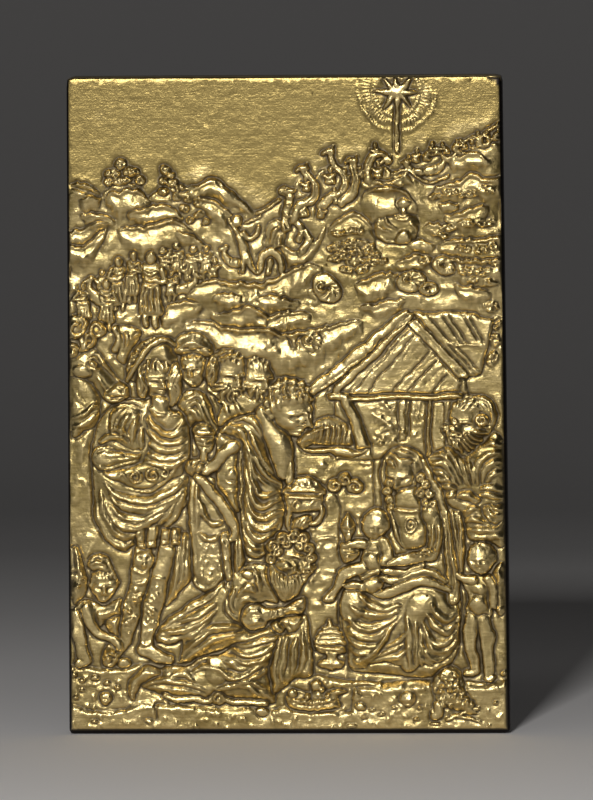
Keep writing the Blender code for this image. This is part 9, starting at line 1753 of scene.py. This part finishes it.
# The top edge keeps worn gold, lightened as a painted highlight where light catches the arris, and the low
# flats of the sky are painted darker as painted shade for flats that catch less of the key light
pale = (on_v > FACE_H + 0.02) & (places[:, 1] < EDGE_DEPTH + 0.01)
sky_painted_shade = np.clip((GRID_V - SKY_FOOT) / SKY_BLEND, 0, 1) * np.clip(1.2 - relief / SKY_SHADE_DEPTH, 0, 1)
sky_painted_shade = np.where(front, sampled(blurred(sky_painted_shade, 0.5), on_u, on_v), 0.0)
for name, values in (("fine_hollow", fine_hollow), ("broad_hollow", broad_hollow), ("gilt", gilt),
        ("sky_painted_shade", sky_painted_shade)):
    # The top edge takes the gold finish: partly worn gilding, partly a painted highlight
    values = np.where(front, values, np.where(pale & (name == "gilt"), TOP_GOLD_AND_HIGHLIGHT, 0.0))
    casting.attributes.new(name, "FLOAT", "POINT").data.foreach_set("value", values.astype(np.float32))
places[:, 1] -= EDGE_DEPTH + strip / 2
# The mould was not quite square: it narrows a little towards the top and leans to the left
rise = places[:, 2] / FACE_H
places[:, 0] -= (TAPER * places[:, 0] + SHEAR) * rise
places[:, 2] += FACE_H / 2 + EDGE_FOOT
casting.vertices.foreach_set("co", (places * MM).ravel())
casting.update()
pax = bpy.data.objects.new("gilt_casting", casting)
bpy.context.scene.collection.objects.link(pax)


# --- The gilding -------------------------------------------------------------------------------------
# Mercury gilding over bronze, burnished by handling on the high places and lightened there as a painted
# highlight, dark brown in the hollows where wax and dirt have settled and as painted shade, darker on the
# flat sky as painted shade, and bare dark bronze on the edges and back.
GOLD_BRIGHT = (0.80, 0.62, 0.285, 1)
GOLD_DEEP = (0.40, 0.295, 0.105, 1)
# Brown of the hollows: dirt and painted shade
HOLLOW_DIRT_AND_SHADE = (0.155, 0.125, 0.08, 1)
BARE_BRONZE = (0.030, 0.025, 0.022, 1)


def gilded_bronze():
    """The whole casting's finish, mixed by the attributes measured from its relief."""
    material = bpy.data.materials.new("gilded_bronze")
    material.use_nodes = True
    tree = material.node_tree
    shader = tree.nodes["Principled BSDF"]

    def node(kind, **settings):
        made = tree.nodes.new(kind)
        for key, value in settings.items():
            setattr(made, key, value)
        return made

    def put(value, socket):
        if isinstance(value, (int, float, tuple)):
            socket.default_value = value
        else:
            tree.links.new(value, socket)

    def calc(operation, a, b=0.0, clamp=False):
        made = node("ShaderNodeMath", operation=operation, use_clamp=clamp)
        put(a, made.inputs[0])
        put(b, made.inputs[1])
        return made.outputs[0]

    def ranged(value, low, high, to_low=0.0, to_high=1.0):
        made = node("ShaderNodeMapRange", interpolation_type="SMOOTHSTEP")
        put(value, made.inputs["Value"])
        for socket, number in zip(("From Min", "From Max", "To Min", "To Max"), (low, high, to_low, to_high)):
            made.inputs[socket].default_value = number
        return made.outputs["Result"]

    def mixed(share, a, b):
        made = node("ShaderNodeMix", data_type="RGBA")
        put(share, made.inputs["Factor"])
        put(a, made.inputs[6])
        put(b, made.inputs[7])
        return made.outputs[2]

    place = node("ShaderNodeTexCoord").outputs["Object"]

    def noise(scale, detail, rough, squeeze=None):
        where = place
        if squeeze:
            turn = node("ShaderNodeMapping")
            tree.links.new(place, turn.inputs["Vector"])
            turn.inputs["Scale"].default_value = squeeze
            where = turn.outputs[0]
        made = node("ShaderNodeTexNoise")
        tree.links.new(where, made.inputs["Vector"])
        made.inputs["Scale"].default_value = scale
        made.inputs["Detail"].default_value = detail
        made.inputs["Roughness"].default_value = rough
        return made.outputs["Fac"]

    def read(name):
        return node("ShaderNodeAttribute", attribute_name=name).outputs["Fac"]

    fine = read("fine_hollow")
    broad = read("broad_hollow")
    gold = read("gilt")
    clouds = noise(90, 5, 0.6)
    specks = noise(1700, 3, 0.7)
    brushed = noise(260, 5, 0.7, (1.0, 1.0, 9.0))
    # Deep places hold brown, part dirt and part painted shade, with a ragged border
    depth = calc("ADD", calc("MULTIPLY", fine, 2.0), calc("MULTIPLY", broad, 0.35))
    depth = calc("ADD", depth, calc("MULTIPLY", calc("SUBTRACT", clouds, 0.5), 0.25))
    dirt_and_shade = ranged(depth, 0.06, 0.45)
    # High places get brighter, paler gold: burnish wear and a painted highlight on the crests
    burnish_and_highlight = ranged(depth, 0.04, -0.3)
    tone = calc("ADD", calc("MULTIPLY", clouds, 0.7), calc("MULTIPLY", brushed, 0.5))
    tone = calc("ADD", ranged(tone, 0.45, 0.8), calc("MULTIPLY", burnish_and_highlight, 0.6))
    # The sky's painted shade darkens the gold on its low flats
    tone = calc("SUBTRACT", tone, calc("MULTIPLY", read("sky_painted_shade"), 0.8), clamp=True)
    face = mixed(tone, GOLD_DEEP, GOLD_BRIGHT)
    face = mixed(calc("MULTIPLY", dirt_and_shade, 0.9), face, HOLLOW_DIRT_AND_SHADE)
    tree.links.new(mixed(gold, BARE_BRONZE, face), shader.inputs["Base Color"])
    shader.inputs["Metallic"].default_value = 1.0
    rough = calc("ADD", calc("MULTIPLY", specks, 0.12), calc("MULTIPLY", dirt_and_shade, 0.20))
    rough = calc("ADD", rough, calc("MULTIPLY", burnish_and_highlight, -0.04))
    rough = calc("ADD", rough, 0.27, clamp=True)
    both = node("ShaderNodeMix", data_type="FLOAT")
    put(gold, both.inputs[0])
    put(0.45, both.inputs[2])
    put(rough, both.inputs[3])
    tree.links.new(both.outputs[0], shader.inputs["Roughness"])
    grain = node("ShaderNodeBump")
    grain.inputs["Strength"].default_value = 0.5
    grain.inputs["Distance"].default_value = 0.00015
    tree.links.new(calc("ADD", specks, calc("MULTIPLY", brushed, 0.5)), grain.inputs["Height"])
    tree.links.new(grain.outputs["Normal"], shader.inputs["Normal"])
    return material


casting.materials.append(gilded_bronze())
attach(pax, "root")
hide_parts("pax_plaque")


# --- The studio --------------------------------------------------------------------------------------
# A pale matt paper sheet that the plaque stands on and that sweeps up behind it, painted darker towards the
# back as painted shade. A small key light stands high in front and a little to the left, a broad dim card
# faces the relief, a soft one stands at the left, and a strip above and a weak light behind pick out the top
# and the rim.
# Brightness of the paper by its distance back: pale in front, then painted shade darkening it towards the
# wall
PAPER_AND_PAINTED_FALLOFF = ((-0.2, 0.95), (-0.1, 0.93), (0.0, 0.72), (0.1, 0.58), (0.2, 0.41), (0.33, 0.25), (0.45, 0.2),
    (0.6, 0.17), (0.75, 0.17))
# The sheet runs from its front edge back to where it turns up, and ends high behind the plaque
SHEET_FRONT = -0.34
SWEEP_START = 0.42
SWEEP_RADIUS = 0.3
SHEET_END = 1.6


def swept_sheet():
    """The floor and backdrop in one curved sheet."""
    profile = [(SHEET_FRONT, 0.0), (0.2, 0.0), (SWEEP_START, 0.0)]
    profile += [(SWEEP_START + SWEEP_RADIUS * math.sin(a), SWEEP_RADIUS - SWEEP_RADIUS * math.cos(a))
                for a in np.linspace(0.1, math.pi / 2, 14)]
    profile += [(0.72, SHEET_END)]
    bm = bmesh.new()
    rows = [[bm.verts.new((x, y, z)) for y, z in profile] for x in (-SHEET_END, SHEET_END)]
    for a, b, c, d in zip(rows[0], rows[1], rows[1][1:], rows[0][1:]):
        bm.faces.new((a, b, c, d))
    mesh = bpy.data.meshes.new("studio_sheet")
    bm.to_mesh(mesh)
    bm.free()
    mesh.shade_smooth()
    sheet = bpy.data.objects.new("studio_sheet", mesh)
    bpy.context.scene.collection.objects.link(sheet)
    material = bpy.data.materials.new("studio_grey")
    material.use_nodes = True
    tree = material.node_tree
    shader = tree.nodes["Principled BSDF"]
    shader.inputs["Roughness"].default_value = 0.75
    # Pale paper under the plaque, painted darker towards the dark wall behind it as painted shade for the
    # light falling away there
    place = tree.nodes.new("ShaderNodeTexCoord")
    split = tree.nodes.new("ShaderNodeSeparateXYZ")
    ramp = tree.nodes.new("ShaderNodeValToRGB")
    reach = tree.nodes.new("ShaderNodeMapRange")
    reach.inputs["From Min"].default_value = PAPER_AND_PAINTED_FALLOFF[0][0]
    reach.inputs["From Max"].default_value = PAPER_AND_PAINTED_FALLOFF[-1][0]
    tree.links.new(place.outputs["Object"], split.inputs[0])
    tree.links.new(split.outputs["Y"], reach.inputs["Value"])
    tree.links.new(reach.outputs["Result"], ramp.inputs["Fac"])
    tree.links.new(ramp.outputs["Color"], shader.inputs["Base Color"])
    places = [(at - PAPER_AND_PAINTED_FALLOFF[0][0]) / (PAPER_AND_PAINTED_FALLOFF[-1][0] - PAPER_AND_PAINTED_FALLOFF[0][0]) for at, shade in PAPER_AND_PAINTED_FALLOFF]
    for at in places[1:-1]:
        ramp.color_ramp.elements.new(at)
    for stop, at, (_, shade) in zip(ramp.color_ramp.elements, places, PAPER_AND_PAINTED_FALLOFF):
        stop.position = at
        stop.color = (shade, shade * 0.965, shade * 0.94, 1)
    mesh.materials.append(material)
    return sheet


floor = swept_sheet()

MIDDLE = Vector((0, -0.005, 0.0572))


def lamp(name, place, size, power, colour=(1, 1, 1), aim=MIDDLE):
    """A soft rectangular light turned to face a point."""
    light = bpy.data.lights.new(name, "AREA")
    light.shape = "RECTANGLE"
    light.size, light.size_y = size
    light.energy = power
    light.color = colour
    made = bpy.data.objects.new(name, light)
    made.location = place
    made.visible_camera = False
    made.rotation_euler = (Vector(aim) - Vector(place)).to_track_quat("-Z", "Y").to_euler()
    bpy.context.scene.collection.objects.link(made)


lamp("key_light", (-0.13, -1.15, 0.65), (0.14, 0.14), 8.5)
lamp("front_card", (-0.02, -1.62, 0.06), (1.3, 0.8), 1.5)
lamp("left_card", (-1.0, -0.8, 0.35), (0.6, 0.6), 0.8)
lamp("overhead_strip", (0.0, -0.14, 0.30), (0.22, 0.06), 0.035)
lamp("back_light", (0.2, 0.45, 0.6), (0.4, 0.3), 0.08)
world = bpy.data.worlds.new("studio_air")
bpy.context.scene.world = world
world.use_nodes = True
world.node_tree.nodes["Background"].inputs["Color"].default_value = (0.5, 0.5, 0.5, 1)
world.node_tree.nodes["Background"].inputs["Strength"].default_value = 0.02


# --- The camera --------------------------------------------------------------------------------------
# A long lens well back, a little above the plaque's middle and a little to its right.
DISTANCE = 1.5
CAMERA_SIDE = 3.0
CAMERA_RISE = 4.5
ROLL = 0.437
PIXELS_PER_MM = 5.774
PICTURE_HEIGHT = 800
SENSOR_HEIGHT = 24.0
AIM = Vector((0.0018, -0.004, 0.0582))
side, rise = math.radians(CAMERA_SIDE), math.radians(CAMERA_RISE)
stand = AIM + DISTANCE * Vector((math.sin(side) * math.cos(rise), -math.cos(side) * math.cos(rise),
    math.sin(rise)))
lens = bpy.data.cameras.new("camera")
lens.sensor_fit = "VERTICAL"
lens.sensor_height = SENSOR_HEIGHT
lens.lens = PIXELS_PER_MM * DISTANCE / MM / PICTURE_HEIGHT * SENSOR_HEIGHT
lens.clip_start = 0.05
camera = bpy.data.objects.new("camera", lens)
camera.location = stand
turn = (AIM - stand).to_track_quat("-Z", "Y")
camera.rotation_euler = (turn @ Quaternion((0, 0, 1), -math.radians(ROLL))).to_euler()
bpy.context.scene.collection.objects.link(camera)
bpy.context.scene.camera = camera
bpy.context.scene.view_settings.view_transform = "Standard"
